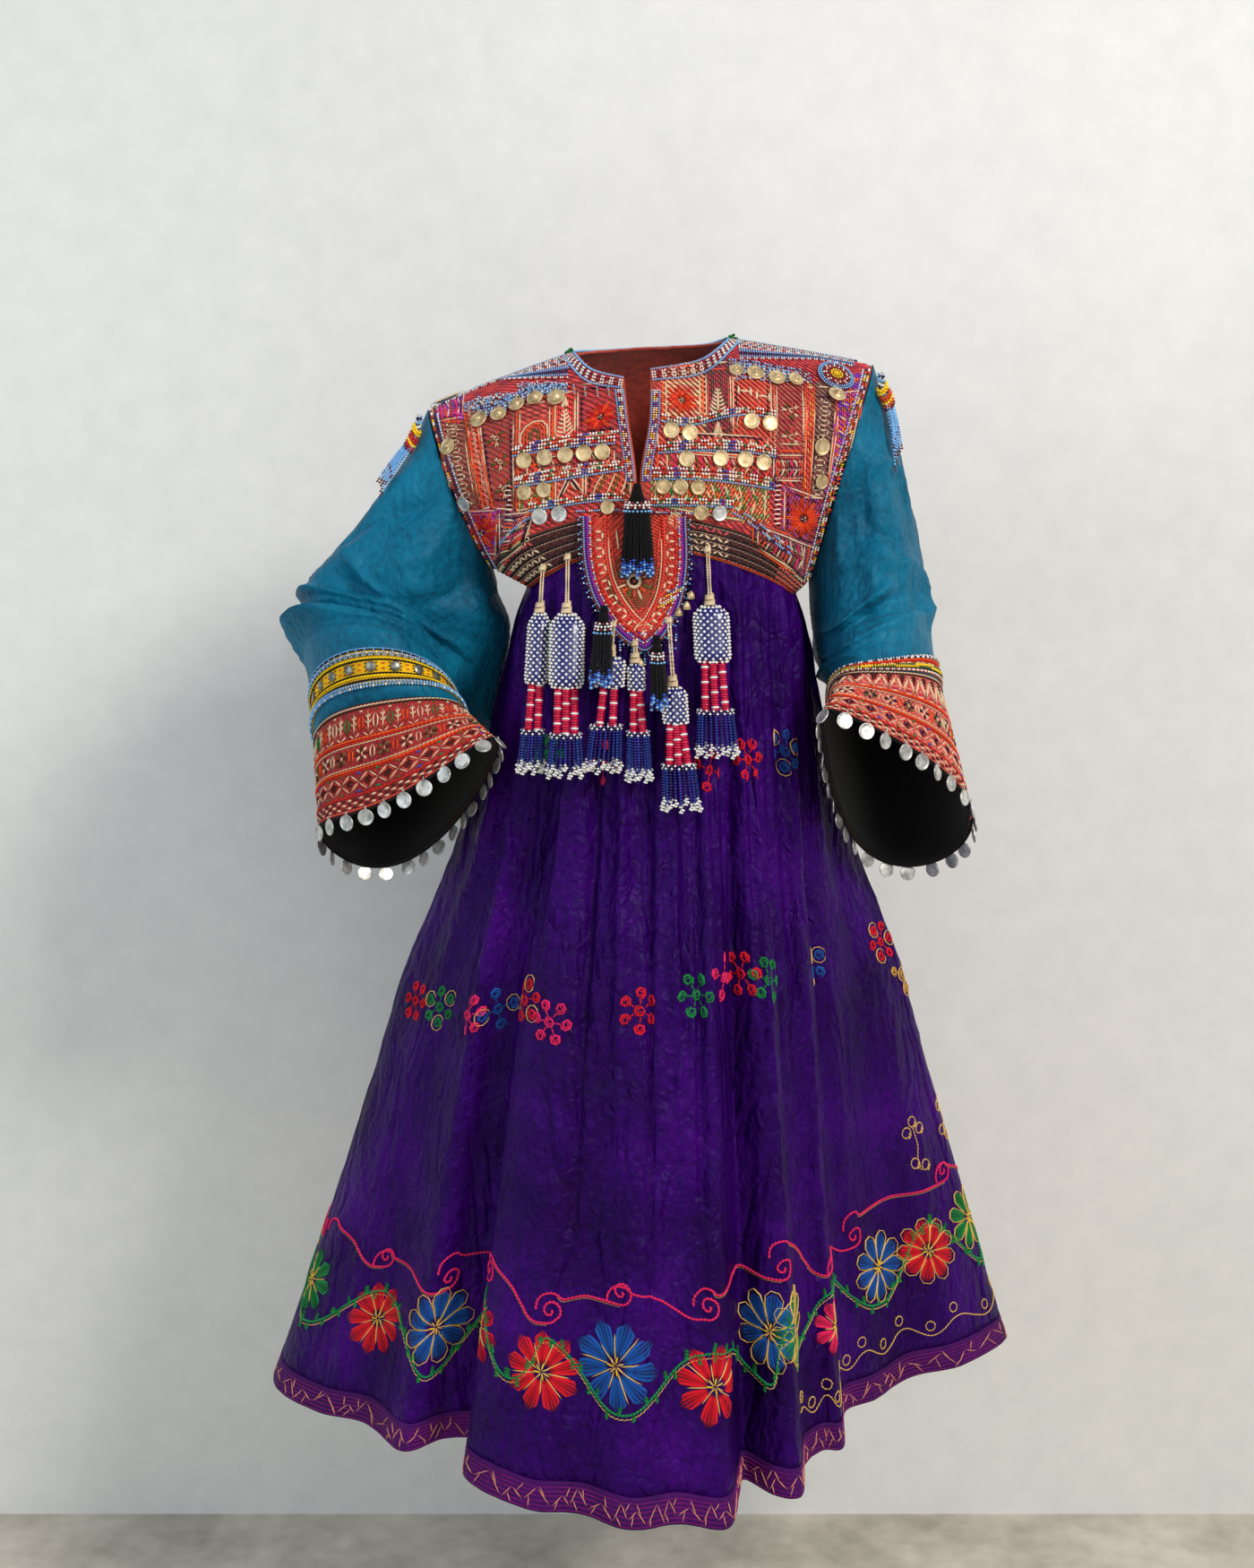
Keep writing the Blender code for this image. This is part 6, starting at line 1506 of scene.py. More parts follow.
TREES = [(-0.072, -0.071, 0.036), (-0.072, -0.052, 0.014), (0.0775, -0.050, 0.034), (0.0775, -0.077, 0.018)]
BURSTS = [(-0.037, -0.066, 0.0185), (-0.156, -0.182, 0.0225), (0.042, -0.050, 0.0190),
          (0.164, -0.167, 0.0215)]
CROSSES = [(-0.139, -0.088), (-0.135, -0.110), (-0.131, -0.136), (0.150, -0.061), (0.150, -0.086)]


def left_motifs(back, mirrored=False):
    """The left front's motifs; on the back they are laid twice, the second time mirrored."""
    def at(x, z):
        return near_yoke((MIRROR - x if mirrored else x, z), back, mirrored)

    def run(path):
        return [(MIRROR - x, z) for x, z in path] if mirrored else path

    face = on_yoke_back if back else on_yoke
    made = []
    for x, z, tall in TREES[:2]:
        made.append(motif(at(x, z), feather_tree(tall, CREAM)))
    for x, z, radius in BURSTS[:2]:
        made.append(motif(at(x, z), burst(radius, RED, ORANGE)))
    for x, z in CROSSES[:3]:
        made.append(motif(at(x, z), cross_flower(0.0105, (CORAL, OLIVE, CREAM))))
    made.append(motif(at(-0.102, -0.082), arches(0.0165, (CORAL, CREAM, ORANGE, CORAL, OLIVE)), 9))
    made.append(meander(face, run([(-0.187, -0.075), (-0.178, -0.120), (-0.168, -0.160)]), CREAM, 0.0048,
                        0.0046, 0.0013))
    for path in ([(-0.175, -0.060), (-0.160, -0.120), (-0.152, -0.158)],
                 [(-0.164, -0.058), (-0.150, -0.120), (-0.143, -0.156)]):
        made.append(chain(face, run(path), 0.0032, 0.0011, ORANGE, 0.0008))
    made.append(zigzag(face, run([(-0.169, -0.060), (-0.155, -0.120), (-0.1475, -0.157)]), CREAM, 0.0026,
                       0.0020, 0.0006))
    made.append(chain(face, run([(-0.195, -0.078), (-0.187, -0.120), (-0.177, -0.162)]), 0.0030, 0.0010,
                      CORAL, 0.0008))
    for k, colour in enumerate((CREAM, PLUM, CREAM, CORAL)):
        tall = 0.024 - 0.0062 * k
        for sign in (-1, 1):
            path = [(sign * tall * 0.62, tall * 0.5), (0.0, -tall * 0.55)]
            made.append(motif(at(-0.067, -0.133), [(path, 0.0012, 0.0011, colour)]))
    for k in range(9):
        path = run([(-0.050 + 0.0045 * k, -0.142), (-0.044 + 0.0045 * k, -0.128),
                    (-0.036 + 0.0035 * k, -0.118)])
        made.append(sewn(face, [(path, 0.0012, 0.0010, (CORAL, CREAM, OLIVE)[k % 3])], 6, lift=0.0008))
    made.append(bars(face, run([(-0.1275, -0.130), (-0.1275, -0.166)]), [(BLACK, 1), (WHITE, 1)], 0.0024,
                     0.0042, 0.0011))
    for k in range(5):
        path = run([(-0.146 + 0.006 * k, -0.168 - 0.008 * k), (-0.124 + 0.004 * k, -0.176 - 0.002 * k),
                    (-0.112, -0.163)])
        made.append(zigzag(face, path, (CREAM, PLUM, PINK, BROWN, CREAM)[k], 0.0040, 0.0016))
    for k in range(5):
        path = run([(-0.207 + 0.006 * k, -0.0655 + 0.002 * k), (-0.199 + 0.005 * k, -0.076)])
        made.append(chain(face, path, 0.0034, 0.0012, (RED, PINK, ORANGE)[k % 3], 0.0008))
    for z in (-0.104, -0.112, -0.137, -0.145, -0.153):
        colour = (CORAL, CREAM, ORANGE)[int(-z * 1000) % 3]
        made.append(chain(face, run([(-0.119, z - 0.012), (-0.084, z - 0.004)]), 0.0034, 0.0012, colour,
                          0.0007))
    return made


def right_motifs():
    """The right front's own motifs."""
    made = []
    for x, z, tall in TREES[2:]:
        made.append(motif(near_yoke((x, z)), feather_tree(tall, CREAM)))
    for (x, z, radius), second in zip(BURSTS[2:], (RED, ORANGE)):
        made.append(motif(near_yoke((x, z)), burst(radius, dye(226, 64, 26), second)))
    for x, z in CROSSES[3:]:
        made.append(motif(near_yoke((x, z)), cross_flower(0.0112, (CORAL, CREAM, OLIVE))))
    made.append(motif(near_yoke((0.104, -0.070)), arches(0.0125, (CREAM, CORAL, CREAM, ORANGE)), 9))
    rail = [(path, 0.0019, 0.0011, CREAM) for path in (
        [(-0.006, -0.007), (-0.006, 0.007)], [(0.006, -0.007), (0.006, 0.007)],
        [(-0.006, 0.0), (0.006, 0.0)])]
    for x, z in ((0.104, -0.042), (0.122, -0.047)):
        made.append(motif(near_yoke((x, z)), rail, 4))
    for path, colour in (([(0.1650, -0.040), (0.1625, -0.148)], ORANGE),
                         ([(0.1735, -0.042), (0.1680, -0.148)], ORANGE),
                         ([(0.1975, -0.044), (0.1865, -0.150)], CORAL)):
        made.append(chain(on_yoke, path, 0.0032, 0.0011, colour, 0.0008))
    made.append(meander(on_yoke, [(0.1855, -0.050), (0.1800, -0.100), (0.1770, -0.148)], CREAM, 0.0048,
                        0.0046, 0.0013))
    made.append(zigzag(on_yoke, [(0.1335, -0.046), (0.1335, -0.100)], CREAM, 0.0030, 0.0016))
    made.append(zigzag(on_yoke, [(0.1640, -0.050), (0.1630, -0.100)], CREAM, 0.0030, 0.0016))
    for z in (-0.109, -0.117, -0.125):
        made.append(zigzag(on_yoke, [(0.134, z), (0.162, z - 0.001)], CREAM, 0.0030, 0.0013))
    made.append(bars(on_yoke, [(0.1365, -0.130), (0.1370, -0.172)], [(BLACK, 1), (WHITE, 1)], 0.0024,
                     0.0048, 0.0011))
    for k in range(11):
        path = [(0.028 + 0.0095 * k, -0.083 - 0.0008 * k), (0.033 + 0.0095 * k, -0.090 - 0.0008 * k)]
        made.append(motif(on_yoke, [(path, 0.0017, 0.0012, (CORAL, CREAM, OLIVE, RED)[k % 4])]))
    for k in range(12):
        x = 0.020 + 0.0092 * k
        dash = [(x, -0.107 - 0.0006 * k), (x + 0.005, -0.112 - 0.0006 * k)]
        made.append(motif(on_yoke, [(dash, 0.0015, 0.0011, (CREAM, CORAL, OLIVE)[k % 3])]))
        dash = [(x, -0.131 - 0.0008 * k), (x + 0.005, -0.141 - 0.0008 * k)]
        made.append(motif(on_yoke, [(dash, 0.0017, 0.0012, (ORANGE, GREEN, CREAM)[k % 3])]))
    for k in range(4):
        path = [(0.118 + 0.003 * k, -0.176 - 0.006 * k), (0.146 + 0.002 * k, -0.192 - 0.003 * k),
                (0.166, -0.206 - 0.002 * k)]
        made.append(zigzag(on_yoke, path, (CREAM, PLUM, CORAL, BROWN)[k], 0.0040, 0.0016))
    return made


add_piece("yoke_motifs_left", left_motifs(False), STITCH)
add_piece("yoke_motifs_right", right_motifs(), STITCH)
add_piece("yoke_motifs_back", left_motifs(True) + left_motifs(True, True)
          + [sewn(near_yoke((0.012, -0.110), True), burst(0.026, RED, ORANGE), 5, lift=MOTIF_LIFT),
             sewn(near_yoke((0.012, -0.178), True), cross_flower(0.016, (CORAL, CREAM, OLIVE)), 5,
                  lift=MOTIF_LIFT)], STITCH)

# %% [markdown]
# Cream and coral lines frame every panel, and the panels without a large motif are filled with rows of
# chevrons. Between the shoulder and the first coins lie rows of beads above a rope of navy and light blue
# ones.

# %% Frames, chevrons and ropes
def framed(panels, first, mirrored=False):
    """Strokes round each panel a little inside its outline, and chevrons down the plain ones."""
    strokes = []
    for k, (corners, _, _, _) in enumerate(panels, first):
        a, b, c, d = np.array(corners) * (-1 if mirrored else 1, 1) + (MIRROR if mirrored else 0.0, 0.0)

        def at(s, t):
            return tuple((a * (1 - s) + b * s) * (1 - t) + (d * (1 - s) + c * s) * t)
        outer, inner = (CREAM, ORANGE, CREAM)[k % 3], (PLUM, CREAM, CORAL)[k % 3]
        for near, colour, width in ((0.04, outer, 0.0014), (0.12, inner, 0.0012)):
            square = [(near, near), (1 - near, near), (1 - near, 1 - near), (near, 1 - near)]
            strokes += [([at(*p), at(*q)], width, 0.0011, colour)
                        for p, q in zip(square, square[1:] + square[:1])]
        if k not in PLAIN_PANELS:
            continue
        wide, tall = np.linalg.norm(b - a), np.linalg.norm(d - a)
        along = tall > wide
        count = max(3, round(max(wide, tall) / 0.0058))
        for j in range(count):
            low, high = 0.12 + 0.76 * j / count, 0.12 + 0.76 * (j + 1.0) / count
            for points in ([(0.16, low), (0.50, high)], [(0.50, high), (0.84, low)]):
                points = points if along else [(q, p) for p, q in points]
                strokes.append(([at(*p) for p in points], 0.0014, 0.0010, CHEVRON_COLOURS[(j + k) % 6]))
    return strokes


PLAIN_PANELS = {0, 7, 10, 12, 19, 20, 21, 22, 23, 25}        # those without a large motif
CHEVRON_COLOURS = (CREAM, CORAL, ORANGE, CREAM, OLIVE, PINK)
on_left, on_right = PANELS[:13], PANELS[13:]
for side, face, outlines in (("left", on_yoke, [framed(on_left, 0)]),
                             ("right", on_yoke, [framed(on_right, 13)]),
                             ("back", on_yoke_back, [framed(on_left, 0, flip) for flip in (False, True)])):
    add_piece("yoke_frames_" + side, [sewn(face, strokes, lift=0.0004) for strokes in outlines], STITCH)

STEEL, PALE = dye(116, 134, 160), dye(170, 196, 220)
BLUE_LINE, NAVY_LINE = [(SKY, 1)], [(NAVY, 1)]
ROPES = [[(-0.194, -0.0585), (-0.169, -0.0470), (-0.145, -0.0370), (-0.105, -0.0300), (-0.0695, -0.0255)],
         [(0.101, -0.0085), (0.141, -0.0110), (0.180, -0.0140), (0.217, -0.0205)]]
rows = []
for rope in ROPES:
    rope = evenly(rope, 40)
    far = length_down(rope[:, 0], rope[:, 1])
    for share, colours in ((0.10, [(WHITE, 3), (RED, 1)]),
                           (0.24, [(CREAM, 2), (GREEN, 1), (CREAM, 2), (RED, 2)]),
                           (0.38, [(SKY, 2), (WHITE, 2)]), (0.52, [(WHITE, 2), (MAROON, 2)]),
                           (0.66, [(WHITE, 4), (ORANGE, 1)]), (0.78, BLUE_LINE), (0.86, BLUE_LINE),
                           (0.95, NAVY_LINE), (1.03, NAVY_LINE), (1.12, BLUE_LINE),
                           (1.22, [(WHITE, 2), (RED, 1)])):
        down = 0.0125 + (far - 0.0125) * share
        rows.append(bead_row(on_yoke, np.stack([rope[:, 0], height_at(rope[:, 0], down)], axis=1), 0.0014,
                             colours, 0.0006))
luck = np.random.default_rng(4)
TANGLED = 104            # loose beads in four rows of 26
for path in ([(-0.172, -0.0585), (-0.145, -0.0500), (-0.120, -0.0470)],
             [(-0.118, -0.0390), (-0.095, -0.0370), (-0.070, -0.0370)],
             [(0.093, -0.0240), (0.130, -0.0270), (0.170, -0.0290)]):
    spots = np.concatenate([evenly(path, TANGLED // 4) + (0.0, -0.0021 * k) for k in range(4)])
    spots = spots + luck.normal(0, 0.0007, (TANGLED, 2))
    where, normal = on_yoke(spots[:, 0], spots[:, 1], 0.0014 + np.abs(luck.normal(0, 0.0006, TANGLED)))
    along = unit(luck.normal(0, 1, (TANGLED, 3)))
    colours = np.array([SKY, STEEL, PALE, WHITE])[luck.integers(0, 4, TANGLED)]
    rows.append(beads(where, along, normal, 0.0013, 0.0013, colours))
add_piece("yoke_ropes", rows, BEAD)

# %% [markdown]
# ## Bead bands along the edges
# Every edge of the yoke is finished with beads: light blue lines with white and dark red checks at the neck
# and slit, a navy and light blue rope along the shoulder seams, and a picot of white and coloured blocks
# round each armhole. Beads are threaded on the same curves as the plain bands they stand for.

# %% Neck, slit, shoulder and armhole beads
DARK_RED = dye(132, 14, 34)
CHECKS = [(WHITE, 2), (DARK_RED, 2)]
BLOCKS = [(WHITE, 2), (RED, 2), (NAVY, 1), (YELLOW, 2), (WHITE, 2), (GREEN, 1), (ORANGE, 2), (NAVY, 2)]
NECK_BANDS = {
    "left": ([(-0.015, -0.029), (-0.045, -0.0222), (-0.064, None)],
             [(-0.017, -0.040), (-0.050, -0.0345), (-0.076, None)]),
    "right": ([(0.013, -0.0212), (0.060, -0.0132), (0.091, None)],
              [(0.015, -0.0325), (0.064, -0.0262), (0.103, None)]),
    "back": ([(-0.064, None), (-0.040, -0.0072), (0.013, -0.0045), (0.068, -0.0012), (0.091, None)],
             [(-0.076, None), (-0.045, -0.019), (0.013, -0.0155), (0.070, -0.012), (0.103, None)])}
for side, (upper, lower) in NECK_BANDS.items():
    upper, lower = evenly(filled(upper), 60), evenly(filled(lower), 60)
    face = on_yoke_back if side == "back" else on_yoke
    rows = []
    for share, colours in ((0.08, BLUE_LINE), (0.32, CHECKS), (0.53, CHECKS), (0.74, CHECKS),
                           (0.94, BLUE_LINE)):
        rows.append(bead_row(face, upper + (lower - upper) * share, 0.0014, colours, 0.0004))
    add_piece("neck_beads_" + side, rows, BEAD, ["neck_band_" + side])
for side, sign in (("left", -1.0), ("right", 1.0)):
    z = np.linspace(-0.0415, -0.126, 30)
    x = edge_at(SLIT[side], z)
    rows = []
    inner = [(WHITE, 3), (YELLOW, 2), (WHITE, 1), (BLUE, 2)] if side == "right" else CHECKS
    outer = [(WHITE, 2), (RED, 2), (WHITE, 2), (BLUE, 2), (WHITE, 1), (YELLOW, 2)]
    for share, colours in ((0.14, BLUE_LINE), (0.40, inner), (0.66, outer), (0.92, BLUE_LINE)):
        path = np.stack([x + sign * (0.001 + 0.0095 * share), z], axis=1)
        rows.append(bead_row(on_yoke, path, 0.0013, colours, 0.0004))
    add_piece("slit_beads_" + side, rows, BEAD, ["slit_band_" + side])
for side, ends in (("left", (-0.0775, -0.199)), ("right", (0.1045, 0.2215))):
    rows = []
    x = np.linspace(*ends, 40)
    for face, down, colours in ((on_yoke_back, 0.0080, CHECKS), (on_yoke_back, 0.0050, BLUE_LINE),
                                (on_yoke_back, 0.0018, NAVY_LINE), (on_yoke, 0.0014, BLUE_LINE),
                                (on_yoke, 0.0046, BLUE_LINE), (on_yoke, 0.0078, NAVY_LINE),
                                (on_yoke, 0.0110, NAVY_LINE)):
        rows.append(bead_row(face, np.stack([x, height_at(x, down)], axis=1), 0.0013, colours, 0.0004))
    add_piece("shoulder_beads_" + side, rows, BEAD, ["shoulder_band_" + side])
for side, sign in (("left", 1.0), ("right", -1.0)):
    edge = np.array(filled(ARMHOLE[side]))
    rows = []
    for face in (on_yoke, on_yoke_back):
        middle = NAVY_LINE if side == "left" else BLOCKS[::-1]
        for inward, colours, radius in ((0.0034, BLOCKS, 0.0014), (0.0066, middle, 0.0013),
                                        (0.0098, [(WHITE, 1), (SKY, 1)], 0.0012)):
            path = evenly(edge, 40)[1:-1] + (sign * inward, 0.0)
            path[:, 1] = np.minimum(path[:, 1], crown(path[:, 0]) - 0.0004)
            rows.append(bead_row(face, path, radius, colours, 0.0006))
    add_piece("armhole_beads_" + side, rows, BEAD, ["armhole_band_" + side])

# %% [markdown]
# ## Bead rows and coins
# Strings of coloured beads cross the yoke, and each holds a few coins: flat brass ones on the chest, and
# larger bossed medallions high on the shoulders. A coin is a turned profile with a raised rim, and hangs
# from a small loop.

# %% Coins
def coin_profile(radius, boss):
    """Radius and height from the front's middle round the rim to the back's middle."""
    middle = [(0.0, 0.0007), (radius * 0.50, 0.0007)]
    if boss:
        middle = [(0.0, boss + 0.0010), (radius * 0.22, boss + 0.0008),
                  (radius * 0.30, boss * 0.6 + 0.0006), (radius * 0.52, 0.0005)]
    return middle + [(radius * 0.84, 0.0006), (radius * 0.90, 0.0009), (radius * 0.97, 0.0008),
                     (radius, 0.0002), (radius, -0.0004), (radius * 0.9, -0.0006), (0.0, -0.0006)]


def coin_parts(centre, facing, up, radius, boss, rings):
    """A coin and the loop of metal above it."""
    made = [turned(centre, facing, up, coin_profile(radius, boss), BARE, 16)]
    right = unit(np.cross(up, facing))
    angle = np.linspace(0, 2 * np.pi, 10)[:, None]
    loop = centre + up * (radius + 0.0012) + (up * np.cos(angle) + facing * np.sin(angle) * 0.6) * 0.0020
    loop = loop + facing * 0.0004
    rings.append(thread(loop, right, 0.0006, 0.0006, BARE, 4))
    return made


def coin_on_yoke(x, z):
    """Middle, face direction and upright direction of a coin that lies on the yoke."""
    centre, facing = spot_on(yoke_place, x, z, 0.0030)
    up = unit(np.cross(facing, (1.0, 0.0, 0.0)))
    return centre, facing, up if up[2] > 0 else -up


# Columns: path, name, height of the boss, coins as x and radius
COIN_ROWS = [
    ([(-0.163, -0.0665), (-0.140, -0.0610), (-0.118, -0.0505), (-0.098, -0.0440), (-0.072, -0.0420)],
     "left_1", 0.003, [(-0.157, 0.0094), (-0.137, 0.0085), (-0.119, 0.0083), (-0.101, 0.0086),
                       (-0.080, 0.0094)]),
    ([(-0.122, -0.1020), (-0.090, -0.0960), (-0.060, -0.0915), (-0.0235, -0.0885)], "left_2", 0.0,
     [(-0.111, 0.008), (-0.091, 0.008), (-0.071, 0.008), (-0.053, 0.008), (-0.035, 0.008)]),
    ([(-0.120, -0.1305), (-0.092, -0.1265), (-0.055, -0.1200), (-0.0155, -0.1140)], "left_3", 0.0,
     [(-0.111, 0.0075), (-0.092, 0.0075)]),
    ([(-0.106, -0.1535), (-0.077, -0.1490), (-0.045, -0.1440), (-0.014, -0.1425)], "left_4", 0.0,
     [(-0.096, 0.008), (-0.077, 0.008), (-0.030, 0.007)]),
    ([(0.090, -0.0180), (0.116, -0.0205), (0.137, -0.0250), (0.160, -0.0280)], "right_1", 0.003,
     [(0.096, 0.0075), (0.115, 0.009), (0.136, 0.009), (0.155, 0.008)]),
    ([(0.0235, -0.0675), (0.050, -0.0715), (0.085, -0.0640), (0.112, -0.0625), (0.133, -0.0655)], "right_2",
     0.0, [(0.032, 0.008), (0.050, 0.008), (0.110, 0.008), (0.128, 0.008)]),
    ([(0.020, -0.0975), (0.060, -0.0955), (0.100, -0.0965), (0.133, -0.1020)], "right_3", 0.0,
     [(0.047, 0.008), (0.080, 0.008), (0.104, 0.008), (0.122, 0.008)]),
    ([(0.0155, -0.1225), (0.060, -0.1235), (0.100, -0.1275), (0.132, -0.1335)], "right_4", 0.0,
     [(0.024, 0.0075), (0.041, 0.0075), (0.058, 0.0075)]),
    ([(0.013, -0.1475), (0.060, -0.1480), (0.092, -0.1500)], "right_5", 0.0,
     [(0.061, 0.0075), (0.079, 0.0075)]),
]
ROW_BEADS = [(WHITE, 3), (RED, 2), (WHITE, 2), (BLUE, 2), (WHITE, 3), (GREEN, 1), (WHITE, 1), (ORANGE, 2)]
SLATE = dye(120, 134, 150)
SILVER_ONES = {"left_4": (-0.096, -0.077), "right_5": (0.079,)}
brass, silver, loops = [], [], []
for line, name, boss, coins in COIN_ROWS:
    dense = evenly(line, 30)
    high = name.endswith("_1")
    upper = [(SKY, 3), (NAVY, 1)] if high else ROW_BEADS
    lower = [(SLATE, 2), (SKY, 2)] if high else ROW_BEADS[::-1]
    rows = [bead_row(on_yoke, dense + (0.0, 0.0036), 0.0017, upper, 0.0008),
            bead_row(on_yoke, dense + (0.0, 0.0004), 0.0017, lower, 0.0010),
            bead_row(on_yoke, dense + (0.0, -0.0024), 0.0014, BLUE_LINE, 0.0008)]
    if high:
        for k in range(12):
            x, z = dense[2 + 2 * k] + (0.0, 0.0010)
            drop = near_yoke((x, z))
            rows.append(bead_row(drop, [(0.0, 0.0), (0.0015 * math.sin(k * 2.0), 0.010)], 0.0013,
                                 [(SKY, 2), (WHITE, 1), (SLATE, 1)], 0.0016))
    add_piece("bead_row_" + name, rows, BEAD, ["coin_row_" + name])
    for x, radius in coins:
        z = float(height_at(x, length_down(x, np.interp(x, dense[:, 0], dense[:, 1])) + radius + 0.0018))
        centre, facing, up = coin_on_yoke(x, z)
        tilt = math.sin(x * 900.0) * 0.12
        facing = unit(facing + np.cross(up, facing) * tilt)
        coins_of = silver if x in SILVER_ONES.get(name, ()) else brass
        coins_of += coin_parts(centre, facing, up, radius, boss, loops)
# Coins on the armholes' bands and lone ones. Columns: x, height, radius, boss
for x, z, radius, boss in [(-0.188, -0.0985, 0.0090, 0.003), (-0.172, -0.1520, 0.0080, 0.0),
                           (0.1800, -0.0960, 0.0085, 0.0), (0.1800, -0.1300, 0.0075, 0.0),
                           (0.0360, -0.1640, 0.0075, 0.0)]:
    centre, facing, up = coin_on_yoke(x, z)
    coins_of = silver if boss == 0.0 and x < 0 else brass
    coins_of += coin_parts(centre, facing, up, radius, boss, loops)
add_piece("brass_coins", brass + loops, BRASS)
add_piece("silver_coins", silver, SILVER)

# Strings of beads between the rows, and the row along the yoke's lower edge
# Columns: path, radius of a bead, colours, lift
STRINGS = [
    ([(-0.119, -0.096), (-0.089, -0.0885), (-0.054, -0.083), (-0.017, -0.079)], 0.0017, ROW_BEADS, 0.0006),
    ([(-0.119, -0.1255), (-0.089, -0.118), (-0.054, -0.1115), (-0.013, -0.108)], 0.0017, ROW_BEADS, 0.0006),
    ([(0.023, -0.0905), (0.065, -0.0885), (0.094, -0.0895), (0.129, -0.095)], 0.0017, ROW_BEADS[::-1],
     0.0006),
    ([(0.014, -0.1145), (0.050, -0.1155), (0.091, -0.1185), (0.127, -0.125)], 0.0017, ROW_BEADS, 0.0006),
    ([(-0.136, -0.190), (-0.123, -0.176), (-0.110, -0.1655), (-0.091, -0.156)], 0.0015,
     [(SKY, 5), (WHITE, 2)], 0.0008),
    ([(0.092, -0.1575), (0.106, -0.166), (0.124, -0.180), (0.149, -0.200)], 0.0015, [(SKY, 5), (NAVY, 2)],
     0.0008),
    ([(0.095, -0.1535), (0.110, -0.163), (0.127, -0.176), (0.150, -0.195)], 0.0014,
     [(WHITE, 2), (RED, 2), (SKY, 4)], 0.0008),
    ([(-0.060, -0.156), (-0.030, -0.1545), (-0.008, -0.1545)], 0.0014, [(SKY, 4), (RED, 1), (WHITE, 2)],
     0.0008),
    ([(0.008, -0.1565), (0.030, -0.157), (0.054, -0.158)], 0.0014, [(SKY, 3), (NAVY, 1), (WHITE, 2)],
     0.0008),
]
extra = [bead_row(on_yoke, *row) for row in STRINGS]
for x, z, count in [(-0.063, -0.0385, 5), (-0.052, -0.0400, 5), (-0.040, -0.0400, 5), (-0.029, -0.0400, 4)]:
    drop = [(0.0, 0.0), (0.001, 0.0022 * count)]
    extra.append(bead_row(near_yoke((x, z)), drop, 0.0014, [(dye(150, 160, 176), 2), (GOLD, 1)], 0.0012))
add_piece("yoke_strings", extra, BEAD)

# %% [markdown]
# ## Rosette, binding knots and shoulder tufts
# A beaded boss sits near the right shoulder, ring within ring, with a medallion below it. Small knots of
# green binding end the neckline, and a tuft of bead strings hangs from the tip of each shoulder.

# %% Rosette and tufts
def round_beads(centre, facing, radius, bead, colours):
    """A ring of touching beads round a facing axis."""
    right = unit(np.cross(UPWARD, facing))
    up = np.cross(facing, right)
    count = max(5, round(2 * np.pi * radius / (bead * 2.0)))
    angle = 2 * np.pi * np.arange(count)[:, None] / count
    spots = centre + (right * np.cos(angle) + up * np.sin(angle)) * radius + facing * bead * 0.6
    along = right * -np.sin(angle) + up * np.cos(angle)
    return beads(spots, along, facing, bead, bead * 0.9, run_of(colours, count))


centre, facing = spot_on(yoke_place, 0.196, -0.031, 0.0018)
BOSS = [(0.0, 0.0034), (0.008, 0.0032), (0.0165, 0.0022), (0.0192, 0.0006), (0.0186, -0.0004),
        (0.0, -0.0006)]
rings = [turned(centre, facing, UPWARD, BOSS, MAROON, 32)]
for radius, rise, colours in ((0.0184, 0.0012, BLUE_LINE), (0.0161, 0.0021, BLUE_LINE),
                              (0.0136, 0.0026, [(DARK_RED, 3), (WHITE, 1)]),
                              (0.0111, 0.0029, [(WHITE, 1), (RED, 1)]), (0.0086, 0.0031, [(DARK_RED, 1)]),
                              (0.0058, 0.0034, [(YELLOW, 1)]), (0.0031, 0.0036, [(YELLOW, 1)])):
    rings.append(round_beads(centre + facing * rise, facing, radius, 0.0013, colours))
rings.append(round_beads(centre + facing * 0.0038, facing, 0.0010, 0.0011, [(YELLOW, 1)]))
add_piece("rosette_beads", rings, BEAD, ["rosette"])
down = unit(np.cross((1.0, 0.0, 0.0), facing))
ring_loops = []
medal = coin_parts(centre + down * 0.0268 + facing * 0.0010, facing, -down, 0.0092, 0.003, ring_loops)
add_piece("rosette_medallion", medal + ring_loops, BRASS)

knots = []
for x, sign in ((-0.067, -1.0), (0.0935, 1.0)):
    z = float(crown(x)) - 0.001
    for k in range(9):
        angle = k * 0.7
        start = np.array([x + 0.0016 * math.cos(angle), 0.0035 * math.sin(angle) - 0.004,
                          z + 0.0010 + 0.0018 * math.sin(angle * 2)])
        end = start + (0.0070 * sign * math.cos(k), -0.006 + 0.003 * k / 3, 0.0026 * math.sin(k * 1.7))
        path = evenly([start, (start + end) / 2 + (0, 0, 0.0024), end], 6)
        knots.append(thread(path, UPWARD, 0.0013, 0.0013, GREEN * (0.5 + 0.1 * (k % 3)), 5))
add_piece("neck_binding_knots", knots, STITCH)


